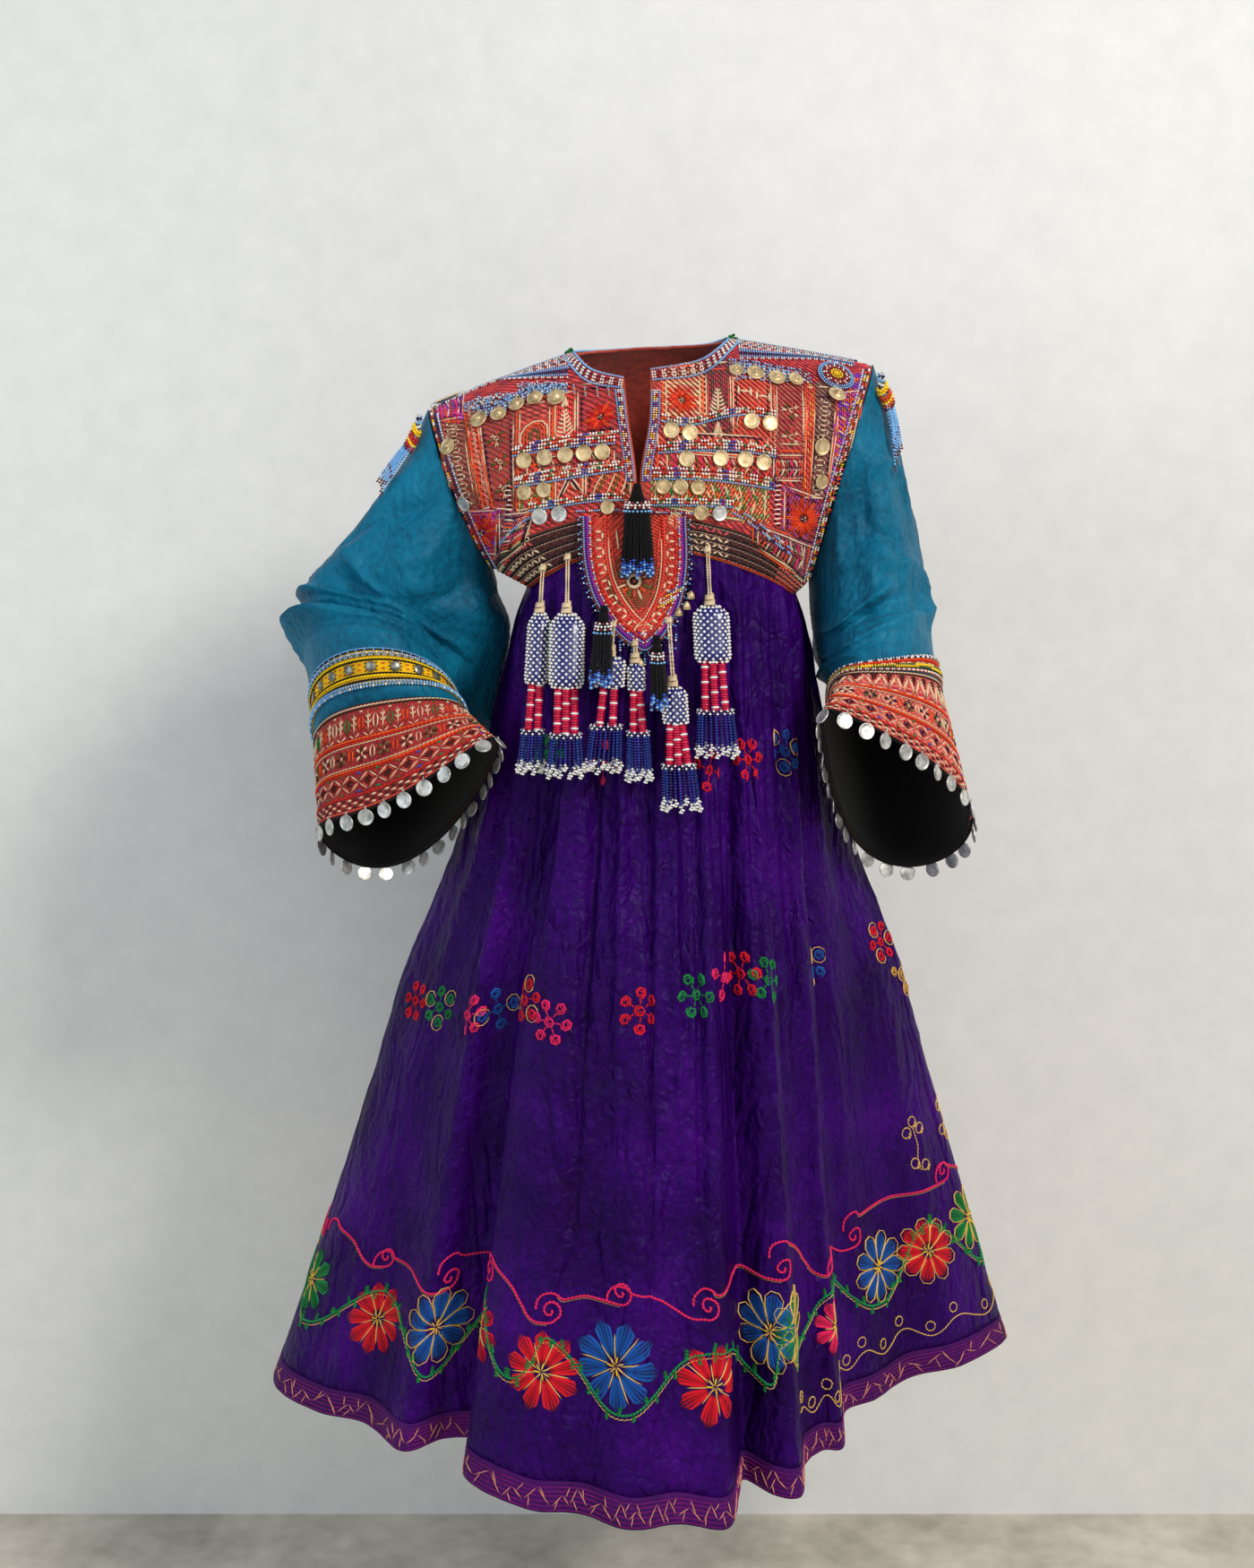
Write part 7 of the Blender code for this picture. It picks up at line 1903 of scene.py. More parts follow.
def tuft(side):
    """Rope, coloured lump and bead strings, down the sleeve from the shoulder's tip."""
    grid = sleeve_grid(side, np.linspace(0.0, 1.6, 9), 56, creased=False)
    cloth = surface(grid, SLEEVE_MIDDLE[side], True)
    column, slim = (49, 0.75) if side == "left" else (50, 1.0)
    steps = np.arange(len(grid))
    columns = np.linspace(55, column - 1, len(grid)).round().astype(int)
    path = grid[steps, columns] + cloth["normals"][steps, columns] * 0.0080
    across = unit(grid[4, column - 1] - grid[4, column + 1])
    line = evenly(path[0:8], 66)[2:62]
    normal = cloth["normals"][4, column]
    made = []
    for k in range(3):
        turn = np.linspace(0, 12, 18) + k * 2.1
        rope = line[:18] + (across * np.cos(turn)[:, None] + normal * np.sin(turn)[:, None]) * 0.0032
        along = unit(np.gradient(rope, axis=0))
        made.append(beads(rope, along, normal, 0.0017, 0.0019, (NAVY, WHITE, SKY)[k]))
    lump = (RED if side == "left" else ORANGE) * 0.8
    for j, colour in ((8, YELLOW), (10, YELLOW * 0.9), (13, lump), (15, lump), (17, YELLOW), (19, lump),
                      (21, MAROON)):
        cos, sin = circle(np.arange(12) * 2 * np.pi / 12).T[..., None]
        spots = line[j] + (across * cos * 0.0074 * slim + normal * sin * 0.0050)
        made.append(beads(spots, unit(line[j + 1] - line[j]), normal, 0.0021, 0.0022, colour))
    strings = 13
    for k in range(strings):
        share = k / (strings - 1) - 0.5
        start = line[18] + across * share * 0.014 * slim + normal * 0.002 * (k % 2)
        end = line[18] + (line[55] - line[18]) * (0.80 + 0.20 * math.sin(k * 2.2))
        end = end + across * share * 0.034 * slim ** 2 + normal * 0.001 * (k % 3)
        middle = (start + end) / 2 + normal * 0.0012
        path = evenly([start, middle, end], 20)
        tips = (MAROON, BROWN)[k % 2]
        made.append(beads(path, unit(np.gradient(path, axis=0)), normal, 0.0016, 0.0015,
                          np.array([SKY if j < 18 else tips for j in range(20)])))
    return made


for side in ("left", "right"):
    add_piece("shoulder_tuft_" + side, tuft(side), BEAD, ["shoulder_tassel_" + side])

# %% [markdown]
# ## The midriff's zigzags
# Black chain lines divide the band into narrow rows, and slanting stitches in pink, red and brown fill
# them. A thin red line and a brown one finish the lower edge. Shares across and down the band place every
# stitch.

# %% Midriff stitches
def on_band(face):
    """A place function by shares across and down a midriff band."""
    rows, columns = BAND[face]["grid"].shape[:2]

    def place(u, v, lift=0.0):
        return place_on(BAND[face], v * (rows - 1), u * (columns - 1), lift)
    return place


ASH, ROSE = dye(176, 138, 118), dye(214, 80, 80)
# Rows of slanting stitches. Columns: upper and lower edge (shares of the band's depth), two colours
BAND_ROWS = [(0.08, 0.24, CREAM * 0.9, ROSE), (0.30, 0.46, ROSE, CREAM), (0.50, 0.66, CORAL, CREAM * 0.9),
             (0.70, 0.86, CORAL, CREAM)]
for face in ("front", "back"):
    place = on_band(face)
    lines = [(v, 0.0040, 0.0011, BLACK * 0.8, 0.0004) for v in (0.05, 0.27, 0.48, 0.68, 0.88)]
    lines += [(line[0] + 0.035, 0.0044, 0.0008, ASH, 0.0004) for line in lines]
    lines = [line for pair in zip(lines[:5], lines[5:]) for line in pair]
    lines += [(0.93, 0.0032, 0.0012, RED * 0.8, 0.0005), (0.98, 0.0032, 0.0013, dye(150, 70, 30), 0.0005)]
    made = [chain(place, [(0.01, v), (0.5, v), (0.99, v)], *look) for v, *look in lines]
    strokes = []
    count = 84 if face == "front" else 60
    wide = 0.976 / count
    for upper, lower, first, second in BAND_ROWS:
        for k in range(count):
            u = 0.012 + 0.976 * k / count
            start, end = (upper + 0.03, lower) if k % 2 else (lower, upper + 0.03)
            slanting = [(u, start), (u + wide, end)]
            strokes.append((slanting, 0.0016, 0.0011, (first, second, BROWN)[(k // 11) % 3]))
    made.append(sewn(place, strokes, 4, 3, 0.0003))
    add_piece("midriff_stitches_" + face, made, STITCH)

# %% [markdown]
# ## The bib
# A rounded flap hangs from the yoke over the middle of the waist. It leans forward of the gathers below it.
# Its border is row within row, from a black and light blue picot to a cream stepped line, round a field
# with a spoked ring.

# %% Bib
BIB_SIDES = {
    "left": [(-0.056, -0.161), (-0.054, -0.205), (-0.044, -0.240), (-0.022, -0.272), (0.000, -0.288)],
    "right": [(0.048, -0.161), (0.049, -0.205), (0.043, -0.242), (0.028, -0.272), (0.012, -0.288)]}
BIB_BEND, BIB_RISE, BIB_LEAN = -0.185, 0.0034, 0.24      # height of the bend, depth over the torso, slope
BIB_CENTRE = np.array([-0.004, -0.222])                  # middle of the spoked ring


def on_bib(x, z, lift=0.0):
    """The torso's depth, then a straight lean forward below the waist, plus the bib's own thickness."""
    def at(x, z):
        free = np.maximum(BIB_BEND - z, 0.0)
        depth = torso_depth(x, np.maximum(z, BIB_BEND)) + BIB_RISE + BIB_LEAN * free
        return np.stack([x, -depth, z], axis=-1)
    x, z = np.asarray(x, float), np.asarray(z, float)
    normal = unit(np.cross(at(x, z - 0.001) - at(x, z + 0.001), at(x + 0.001, z) - at(x - 0.001, z)))
    normal = np.where(normal[..., 1:2] > 0, -normal, normal)
    return at(x, z) + normal * np.asarray(lift)[..., None], normal


left, right = evenly(BIB_SIDES["left"], 50), evenly(BIB_SIDES["right"], 50)
share = np.linspace(0, 1, 50)[None, :, None]
flat = left[:, None] * (1 - share) + right[:, None] * share
BIB = surface(on_bib(flat[..., 0], flat[..., 1], -0.0004)[0], (0.0, 0.0, -0.2))
cloth_piece("bib_cloth", BIB, YOKE_GROUND, 0.0020, ["bib"])


def bib_loop(inset):
    """The bib's outline without its top edge, moved inward."""
    loop = evenly(BIB_SIDES["left"] + [(0.006, -0.290)] + BIB_SIDES["right"][::-1], 90)
    along = unit(np.gradient(loop, axis=0))
    return loop + np.stack([-along[:, 1], along[:, 0]], axis=1) * inset


x, z = np.meshgrid(np.arange(-0.052, 0.048, 0.0062), np.arange(-0.286, -0.158, 0.0021))
x = (x + (np.arange(len(x)) % 3)[:, None] * 0.0021).ravel()
z = z.ravel()
loop = bib_loop(0.003)
half_left, half_right = loop[:45][::-1], loop[45:]
first, last = (np.interp(z, edge[:, 1], edge[:, 0]) for edge in (half_left, half_right))
room = (x > first + 0.003) & (x < last - 0.003)
x, z = x[room], z[room]
angle = np.arctan2(z - BIB_CENTRE[1], x - BIB_CENTRE[0]) + np.pi / 2
reach = circle(angle) * 0.0038
flat = np.stack([x, z], 1)[:, None] + reach[:, None] * np.array([-1.0, 0.0, 1.0])[:, None]
where, normal = on_bib(flat[..., 0], flat[..., 1], 0.0002)
inner = (x - BIB_CENTRE[0]) ** 2 + (z - BIB_CENTRE[1]) ** 2 < 0.027 ** 2
colour = np.where(inner[:, None], dye(110, 66, 40),
                  np.where((z < -0.270)[:, None], PURPLE, dye(196, 60, 50)))
shade = 1.0 + 0.7 * np.abs(np.sin(np.arange(len(x)) * 7.3))
sewing = [threads(where, normal, 0.0013, 0.0007, colour * shade[:, None], 4)]
for inset, colour, width in ((0.0045, PURPLE, 0.0014), (0.0062, dye(170, 60, 190), 0.0010),
                             (0.0125, RED, 0.0015), (0.0235, CORAL, 0.0018), (0.0252, RED, 0.0012)):
    sewing.append(chain(on_bib, bib_loop(inset), 0.0032, width, colour, 0.0008))
sewing.append(meander(on_bib, bib_loop(0.0165)[2:-2], CREAM, 0.0080, 0.0042, 0.0022))
for inset in (0.0265, 0.0300):
    path = bib_loop(inset)[6:-6]
    sewing.append(chain(on_bib, path, 0.0032, 0.0012, (CREAM, CORAL)[inset > 0.028], 0.0008))
for k in range(16):
    far = 0.0205 if k % 2 else 0.0170
    ray = turned_flat([(0.0080, 0.0), (0.0150, 0.0), (far, 0.0)], 22.5 * k, shift=BIB_CENTRE)
    sewing.append(sewn(on_bib, [(ray, 0.0016, 0.0012, (CORAL, CREAM, ORANGE, OLIVE)[k % 4])], 5,
                       lift=0.0009))
for radius, colour in ((0.0052, CREAM), (0.0066, CREAM), (0.0030, BLACK)):
    ring = spiral(1.0, radius, 14, inner=0.98) + BIB_CENTRE
    sewing.append(chain(on_bib, ring, 0.0022, 0.0012, colour, 0.0011))
for k in range(7):
    path = [(-0.030 + 0.0085 * k, -0.172), (-0.028 + 0.0080 * k, -0.184), (-0.026 + 0.0074 * k, -0.194)]
    sewing.append(sewn(on_bib, [(path, 0.0016, 0.0012, (CORAL, CREAM, ORANGE)[k % 3])], 6, lift=0.0009))
add_piece("bib_embroidery", sewing, STITCH)

border = [bead_row(on_bib, bib_loop(0.0088), 0.0013, [(SKY, 2), (WHITE, 1), (RED, 1), (WHITE, 1)], 0.0006),
          bead_row(on_bib, bib_loop(0.0026), 0.0013, BLUE_LINE, 0.0004),
          bead_row(on_bib, bib_loop(-0.0004), 0.0014, [(SKY, 1), (BLACK, 2)], 0.0)]
picots = even_places(on_bib, bib_loop(-0.0004), 0.0046)
for k, spot in enumerate(picots[1:-1]):
    out = unit(spot - np.array([-0.002, -0.215]))
    colours = [(BLACK, 1), ((SKY, WHITE, NAVY)[k % 3], 1)]
    border.append(bead_row(on_bib, [spot, spot + out * 0.0052], 0.0013, colours, 0.0002, smoothly=False))
for row in range(5):
    start = np.array([0.0200 + 0.0025 * row, -0.2470 + 0.0035 * row])
    colours = [((YELLOW, WHITE, RED, YELLOW, BLUE)[row], 3), (WHITE, 1)]
    border.append(bead_row(on_bib, [start, start + (0.0160, 0.0080)], 0.0014, colours, 0.0010))
for k, (x, z) in enumerate([(-0.036, -0.262), (-0.028, -0.271), (-0.018, -0.278), (-0.006, -0.286),
                            (0.006, -0.291), (0.018, -0.287), (0.030, -0.278), (0.037, -0.268)]):
    drop = [(x, z), (x + 0.001 * (-1) ** k, z - 0.014 - 0.004 * (k % 3))]
    border.append(bead_row(on_bib, drop, 0.0015, [(NAVY, 2), (SKY, 2), (WHITE, 1)], 0.0012, smoothly=False))
add_piece("bib_beads", border, BEAD)
BELL = [(0.0, 0.0046), (0.0015, 0.0040), (0.0034, 0.0008), (0.0040, -0.0028), (0.0034, -0.0036),
        (0.0, -0.0020)]
bells = []
for x, z in [(0.039, -0.252), (0.047, -0.246), (0.051, -0.236), (0.002, -0.300), (0.016, -0.299)]:
    where, normal = spot_on(on_bib, x, z, 0.0032)
    bells.append(turned(where, UPWARD, FORWARD, BELL, BARE, 12))
add_piece("bib_bells", bells, BRASS)

# %% [markdown]
# ## Bead tassels
# Six tassels hang from the waist on cream strings: a head netted in white and navy beads, crimson wrapped
# rods with white bands, and a fringe of navy bead strings that end in white. Each one is a straight line
# from its knot, as gravity hangs it, and its parts are laid round that line.

# %% Bead tassels
def line_at(top, bottom, z):
    """The point at height z on the line between two points."""
    top, bottom = np.asarray(top), np.asarray(bottom)
    share = (top[2] - np.asarray(z, float)) / (top[2] - bottom[2])
    return top + (bottom - top) * share[..., None]


def cord(path, radius, colour, strands=2, turns_per_metre=220.0, sides=4):
    """Strands that wind round a path."""
    path = np.asarray(path, float)
    travelled = lengths_of(path)
    made = []
    tangent = unit(np.gradient(path, axis=0))
    side = unit(np.cross(tangent, FORWARD))
    up = np.cross(side, tangent)
    for k in range(strands):
        angle = (travelled * turns_per_metre * 2 * np.pi + 2 * np.pi * k / strands)[:, None]
        line = path + (side * np.cos(angle) + up * np.sin(angle)) * radius * 0.55
        made.append(thread(line, up, radius * 0.6, radius * 0.6, colour, sides))
    return made


def oval(angle, half_width, half_depth, rise=0.0):
    """Level points round an oval from the right by way of the front, with a rise."""
    return np.stack([np.cos(angle) * half_width, -np.sin(angle) * half_depth, rise + angle * 0.0], axis=-1)


def oval_count(half_width, half_depth, step):
    """How many steps fit round an oval."""
    return round(np.pi * math.sqrt((half_width ** 2 + half_depth ** 2) * 2) / step)


def oval_beads(centre, half_width, half_depth, count, shift, bead, colours):
    """One ring of upright beads round an oval."""
    angle = 2 * np.pi * (np.arange(count) + shift) / count
    spots = centre + oval(angle, half_width, half_depth)
    return beads(spots, UPWARD, oval(angle, 1.0, 1.0), bead, bead * 0.95, colours)


def head_size(share):
    """Width of a tassel's head by share down it: it rounds off fast at the top and a little at the foot."""
    top = 0.40 + 0.60 * np.clip(share / 0.16, 0.0, 1.0) ** 0.7
    return np.minimum(top, 1.0 - 0.25 * np.clip((share - 0.9) / 0.1, 0.0, 1.0))


# Columns: top, bottom, heights of the head, rods and fringe, half widths of head and fringe, rods
TASSELS = [
    ((-0.094, -0.1126, -0.212), (-0.1055, -0.1753, -0.404), -0.256, -0.325, -0.368, 0.0108, 0.0120, 2),
    ((-0.069, -0.1243, -0.200), (-0.0710, -0.1952, -0.404), -0.254, -0.325, -0.368, 0.0165, 0.0163, 3),
    ((-0.024, -0.1535, -0.262), (-0.0345, -0.1907, -0.400), -0.294, -0.324, -0.360, 0.0140, 0.0165, 2),
    ((-0.003, -0.1585, -0.280), (0.0010, -0.1931, -0.408), -0.300, -0.326, -0.366, 0.0080, 0.0115, 2),
    ((0.030, -0.1530, -0.258), (0.0420, -0.2011, -0.436), -0.322, -0.358, -0.397, 0.0120, 0.0175, 3),
    ((0.068, -0.1292, -0.192), (0.0770, -0.1857, -0.386), -0.246, -0.300, -0.346, 0.0170, 0.0190, 3)]
DEPTH = 0.0080           # half depth of every tassel
ROD_RED, FRINGE_BLUES = dye(204, 10, 62), (dye(22, 44, 132), dye(14, 26, 92), dye(30, 62, 156))
for number, (top, bottom, z_head, z_rods, z_fringe, head_half, fringe_half, rods) in enumerate(TASSELS, 1):
    head_z = np.linspace(z_head + 0.001, z_rods - 0.001, 12)
    size = head_size(np.linspace(0, 1, 12))
    core = line_at(top, bottom, head_z)
    netting = [thread(core, FORWARD, (head_half - 0.0008) * size, (DEPTH - 0.0008) * size, dye(24, 28, 104),
                      18)]
    levels = np.arange(z_head - 0.0010, z_rods + 0.0008, -0.0032)
    count = max(5, oval_count(head_half, DEPTH, 0.0060))
    for k, z in enumerate(levels):
        size = head_size((z_head - z) / (z_head - z_rods))
        netting.append(oval_beads(line_at(top, bottom, z), head_half * size, DEPTH * size, count,
                                  (k % 2) / 2, 0.0019, np.tile(WHITE, (count, 1))))
    for k in range(rods):
        aside = ((k + 0.5) / rods - 0.5) * 2.0
        upper = line_at(top, bottom, z_rods + 0.002) + (aside * head_half * 0.72, -0.001 * (k % 2), 0.0)
        lower = line_at(top, bottom, z_fringe + 0.001) + (aside * fringe_half * 0.78, -0.001 * (k % 2), 0.0)
        count = round(np.linalg.norm(upper - lower) / 0.0024)
        spots = upper + (lower - upper) * ((np.arange(count) + 0.5) / count)[:, None]
        crimson = ROD_RED * (0.75 + 0.35 * (np.arange(count) % 2))[:, None]
        colours = np.where(((np.arange(count) + 2 * k) % 6 == 2)[:, None], WHITE, crimson)
        netting.append(beads(spots, unit(lower - upper), FORWARD, 0.0040, 0.0014, colours, 9))
    for k, z in enumerate((z_fringe + 0.0020, z_fringe - 0.0008)):
        count = 2 * oval_count(fringe_half / 2, DEPTH * 0.4, 0.0030)
        colours = np.where((np.arange(count) % 2 == k)[:, None], WHITE, NAVY)
        netting.append(oval_beads(line_at(top, bottom, z), fringe_half * 0.92, DEPTH * 0.8, count, 0,
                                  0.0016, colours))
    strings = 22
    for k in range(strings):
        angle = 2 * np.pi * (k + 0.5) / strings
        root = line_at(top, bottom, z_fringe - 0.002) + oval(angle, fringe_half * 0.9, DEPTH * 0.8)
        low = bottom[2] + 0.004 * math.sin(k * 2.4 + number)
        tip = line_at(top, bottom, low) + oval(angle, fringe_half * 1.06, DEPTH * 0.9)
        count = round(np.linalg.norm(tip - root) / 0.0027)
        path = root + (tip - root) * ((np.arange(count) + 0.5) / count)[:, None]
        colours = np.where((np.arange(count) > count - 4)[:, None], WHITE, FRINGE_BLUES[k % 3])
        netting.append(beads(path, unit(tip - root), FORWARD, 0.0017, 0.0013, colours))
        ends = path[-2:] + np.array([[0.0016, -0.0008, 0.0], [-0.0016, -0.0008, 0.0008]])
        netting.append(beads(ends, UPWARD, FORWARD, 0.0017, 0.0015, WHITE))
    add_piece("bead_tassel_%d" % number, netting, BEAD, ["tassel_%d" % number])
    string = line_at(top, bottom, np.linspace(top[2] + 0.004, z_head - 0.002, 26))
    strands = cord(string + (0.0010, 0.0, 0.0), 0.0012, CREAM)
    strands += cord(string - (0.0014, 0.0, 0.0), 0.0012, CREAM * 0.9)
    for z, size in ((z_head + 0.003, 0.0048), (z_head + 0.008, 0.0040), (top[2] - 0.001, 0.0028)):
        angle = np.linspace(0, 2 * np.pi, 9)
        for k in range(3):
            middle = line_at(top, bottom, z + 0.0016 * (k - 1))
            ring = middle + oval(angle, size, size * 0.8, 0.0012 * np.sin(angle + k))
            strands.append(thread(ring, UPWARD, 0.0016, 0.0016, CREAM * (1.0 - 0.08 * k), 5))
    add_piece("tassel_string_%d" % number, strands, STITCH)

# %% [markdown]
# ## Black cord tassels
# A thick one hangs from the foot of the slit: a wrapped knot, a collar of white and dark red beads, a light
# blue ring, and twisted black cords whose ends carry blue beads. Two thin ones hang below the bib.

# %% Cord tassels
# Columns: name, top, bottom, height of the collar, half width, cords
CORDS = [("centre", (-0.001, -0.1469, -0.128), (-0.001, -0.1469, -0.214), -0.146, 0.0150, 26),
         ("left", (-0.033, -0.1498, -0.246), (-0.037, -0.1928, -0.314), -0.262, 0.0100, 16),
         ("right", (0.018, -0.1579, -0.274), (0.020, -0.1945, -0.336), -0.290, 0.0075, 12)]
CORD_DEPTH = 0.0070      # half depth of every cord tassel
for name, top, bottom, collar, half_width, count in CORDS:
    wrapped, beaded = [], []
    angle = np.linspace(0, 2 * np.pi, 13)
    for k, z in enumerate(np.arange(top[2], collar, -0.0017)):
        share = (top[2] - z) / (top[2] - collar)
        wide = 0.0030 + (half_width * 0.60 - 0.0030) * share ** 1.3
        thick = 0.0024 + (CORD_DEPTH * 0.75 - 0.0024) * share
        ring = line_at(top, bottom, z) + oval(angle, wide, thick, 0.0004 * np.sin(angle + k))
        wrapped.append(thread(ring, UPWARD, 0.0012, 0.0010, BLACK, 5))
    for k, (z, colours, grow) in enumerate([
            (collar + 0.0010, (WHITE, DARK_RED), 0.72), (collar - 0.0016, (WHITE, WHITE), 0.78),
            (collar - 0.0042, (DARK_RED, WHITE), 0.80), (collar - 0.0074, (SKY, SKY), 0.88)]):
        wide, thick = half_width * grow, CORD_DEPTH * grow
        number = 2 * oval_count(wide / 2, thick / 2, 0.0032)
        run = np.where((np.arange(number) % 2 == 0)[:, None], *colours)
        beaded.append(oval_beads(line_at(top, bottom, z), wide, thick, number, k % 2, 0.0016, run))
    for k in range(count):
        angle = 2 * np.pi * (k + 0.5) / count
        root = line_at(top, bottom, collar - 0.003) + oval(angle, half_width * 0.70, CORD_DEPTH * 0.6)
        low = bottom[2] + 0.004 * math.sin(k * 1.9)
        tip = line_at(top, bottom, low) + oval(angle, half_width, CORD_DEPTH * 0.9)
        middle = (root + tip) / 2 + (0.0010 * math.sin(k * 3.1), -0.0012, 0.0)
        path = evenly([root, middle, tip], 24)
        wrapped += cord(path[:20], 0.0021, BLACK * (0.8 + 0.5 * (k % 2)), 2, 160.0, 3)
        ends = path[19:] + (0.0, -0.0006 * (k % 2), 0.0)
        beaded.append(beads(ends, unit(np.gradient(ends, axis=0)), FORWARD, 0.0022, 0.0018,
                            np.array([(NAVY, BLUE, SKY, BLUE, SKY), (BLUE, NAVY, BLUE, SKY, NAVY)][k % 2])))
    add_piece("cord_strands_" + name, wrapped, STITCH, ["cord_tassel_" + name])
    add_piece("cord_beads_" + name, beaded, BEAD)

# %% [markdown]
# ## Cuffs
# The deep cuffs are stitched all over in rows: leaves in zigzag, crosses, a chain of diamonds and a checked
# edge, with orange lines between them. A place on a cuff is a length round it and a depth below its upper
# edge, taken along the middle of the cuff, so that each row closes evenly on itself.

# %% Cuff rows
CUFF_DEPTH = 0.11
# Lines round a cuff. Columns: depth, colour, half width
CUFF_LINES = [(0.0018, CREAM, 0.0011), (0.0040, BROWN, 0.0011), (0.0345, ORANGE, 0.0016),
              (0.0372, RED, 0.0013), (0.0395, CREAM, 0.0009), (0.0615, CREAM, 0.0009),
              (0.0640, ORANGE, 0.0016), (0.0665, RED, 0.0012), (0.0905, RED, 0.0013),
              (0.1062, CORAL, 0.0014), (0.1088, BROWN, 0.0013)]


def round_tube(cloth, depth, rise):
    """A place function by metres round a tube and by depth down it, over the tube's face by a rise; and the
    length round the tube's middle."""
    rows, columns = cloth["grid"].shape[:2]
    lengths = cloth["across"][rows // 2]

    def place(u, v, lift=0.0):
        column = np.interp(np.mod(u, lengths[-1]), lengths, np.arange(columns + 1))
        return place_on(cloth, v / depth * (rows - 1), column, np.asarray(lift) + rise)
    return place, float(lengths[-1])


def ring_path(round_it, v):
    """A path once round a tube at one depth, which stops just short of its start."""
    return np.stack([np.linspace(0, round_it * 0.9999, 40), np.full(40, v)], axis=1)


def bar(u, v, reach, width, colour, height=0.0012):
    """A straight stroke along a cuff, to both sides of its middle."""
    return [(u - reach, v), (u + reach, v)], width, height, colour


def cuff_stitches(side):
    """Every row of one cuff, as strokes of (path, half width, height, colour)."""
    place, round_it = round_tube(CUFF[side], CUFF_DEPTH, 0.0)
    if side == "left":
        field, dark = (dye(176, 54, 50), dye(160, 36, 54)), BROWN
    else:
        field, dark = (dye(244, 142, 124), dye(236, 112, 110)), dye(52, 24, 60)
    strokes, made = [], []
    step = round_it / round(round_it / 0.0074)
    for row, v in enumerate(np.arange(0.004, CUFF_DEPTH - 0.004, 0.0035)):
        for k in range(round(round_it / step)):
            u = (k + (row % 3) / 3) * step
            tone = field[(k // 4 + row // 3) % 2] * (0.8 + 0.35 * abs(math.sin(k * 12.9 + row * 7.2)))
            strokes.append(([(u - 0.0036, v - 0.0007), (u + 0.0036, v + 0.0007)], 0.0019, 0.0005, tone))
    made.append(sewn(place, strokes, 3, 3, 0.0))
    strokes = []
    count = round(round_it / (0.0170 if side == "left" else 0.0205))
    pitch = round_it / count
    for k in range(count):
        u = k * pitch
        if side == "right":
            for near in (0.0, 0.0026):
                strokes += [([(u, 0.0070 + near), (u + pitch / 2, 0.0300 + near)], 0.0012, 0.0012, CREAM),
                            ([(u + pitch / 2, 0.0300 + near), (u + pitch, 0.0070 + near)], 0.0012, 0.0012,
                             CREAM)]
            for j in range(4):
                reach = pitch * (0.30 - 0.075 * j)
                strokes.append(bar(u + pitch / 2, 0.0080 + 0.0034 * j, reach, 0.0018,
                                   (BROWN, BROWN, MAROON, BROWN)[j]))
                strokes.append(bar(u, 0.0325 - 0.0034 * j, reach, 0.0016,
                                   (CREAM, PINK * 0.8, dye(226, 150, 130), CORAL)[j]))
            continue
        for sign in (-1, 1):
            for j in range(4):
                v = 0.0110 + 0.0058 * j
                far = u + pitch / 2 + sign * pitch * (0.17 + 0.07 * j)
                strokes.append(([(u + pitch / 2, v + 0.0050), (far, v)], 0.0010, 0.0012,
                                (CREAM, CREAM, CORAL, CREAM)[j]))
            leaf = [(u, 0.0100), (u + sign * 0.0032, 0.0190), (u, 0.0290)]
            strokes.append((leaf, 0.0011, 0.0012, (ORANGE, GREEN, CREAM)[k % 3]))
        strokes.append(([(u + pitch / 2, 0.0060), (u + pitch / 2, 0.0320)], 0.0011, 0.0013, CREAM))
        strokes.append(bar(u, 0.0070, 0.0024, 0.0015, (CREAM, OLIVE)[k % 2]))
    count = round(round_it / 0.0250)
    pitch = round_it / count
    for k in range(count):
        u = k * pitch
        for j in range(8):
            arm = turned_flat([(0.0022, 0.0), (0.0088, 0.0)], 45.0 * j, shift=(u, 0.0500))
            strokes.append((arm, 0.0019, 0.0013, dark if j % 2 == 0 else (CREAM, OLIVE)[k % 2]))
        strokes.append((spiral(1.0, 0.0022, 8, inner=0.9) + (u, 0.0500), 0.0008, 0.0016, CREAM))
        for sign in (-1, 1):
            leaf = [(u + pitch / 2, 0.0420), (u + pitch / 2 + sign * 0.0030, 0.0500),
                    (u + pitch / 2, 0.0580)]
            strokes.append((leaf, 0.0010, 0.0012, (ORANGE, CREAM)[k % 2]))
    count = round(round_it / 0.0215)
    pitch = round_it / count
    for k in range(count):
        u = k * pitch
        for size, colour in ((1.0, CREAM), (0.72, CORAL), (0.45, dark), (0.22, dark)):
            wide, tall = pitch / 2 * size, 0.0095 * size
            corners = [(u - wide, 0.0775), (u, 0.0775 - tall), (u + wide, 0.0775), (u, 0.0775 + tall)]
            for a, b in zip(corners, corners[1:] + corners[:1]):
                strokes.append(([a, b], 0.0011, 0.0012, colour))
        for v in (0.0680, 0.0870):
            strokes.append(bar(u + pitch / 2, v, 0.0028, 0.0018, (OLIVE, GREEN, BLUE)[k % 3]))
    count = round(round_it / 0.0072)
    for k in range(count):
        u = k * round_it / count
        for row, v in enumerate((0.0945, 0.0985, 0.1025)):
            height, colour = (0.0012, CREAM) if (k + row) % 2 else (0.0009, BROWN)
            strokes.append(bar(u, v, 0.0030, 0.0017, colour, height))
    made.append(sewn(place, strokes, 4, 3, 0.0004))
    for v, colour, width in CUFF_LINES:
        made.append(chain(place, ring_path(round_it, v), 0.0044, width, colour, 0.0007))
    return made


for side in ("left", "right"):
    add_piece("cuff_stitches_" + side, cuff_stitches(side), STITCH)

# %% [markdown]
# ## Trims above the cuffs
# The left trim is a yellow band with small round mirrors in dark rings, between a black and light blue
# scallop and a rope of light blue beads. The right one is narrower, with picots, an orange line and a cream
# wave.

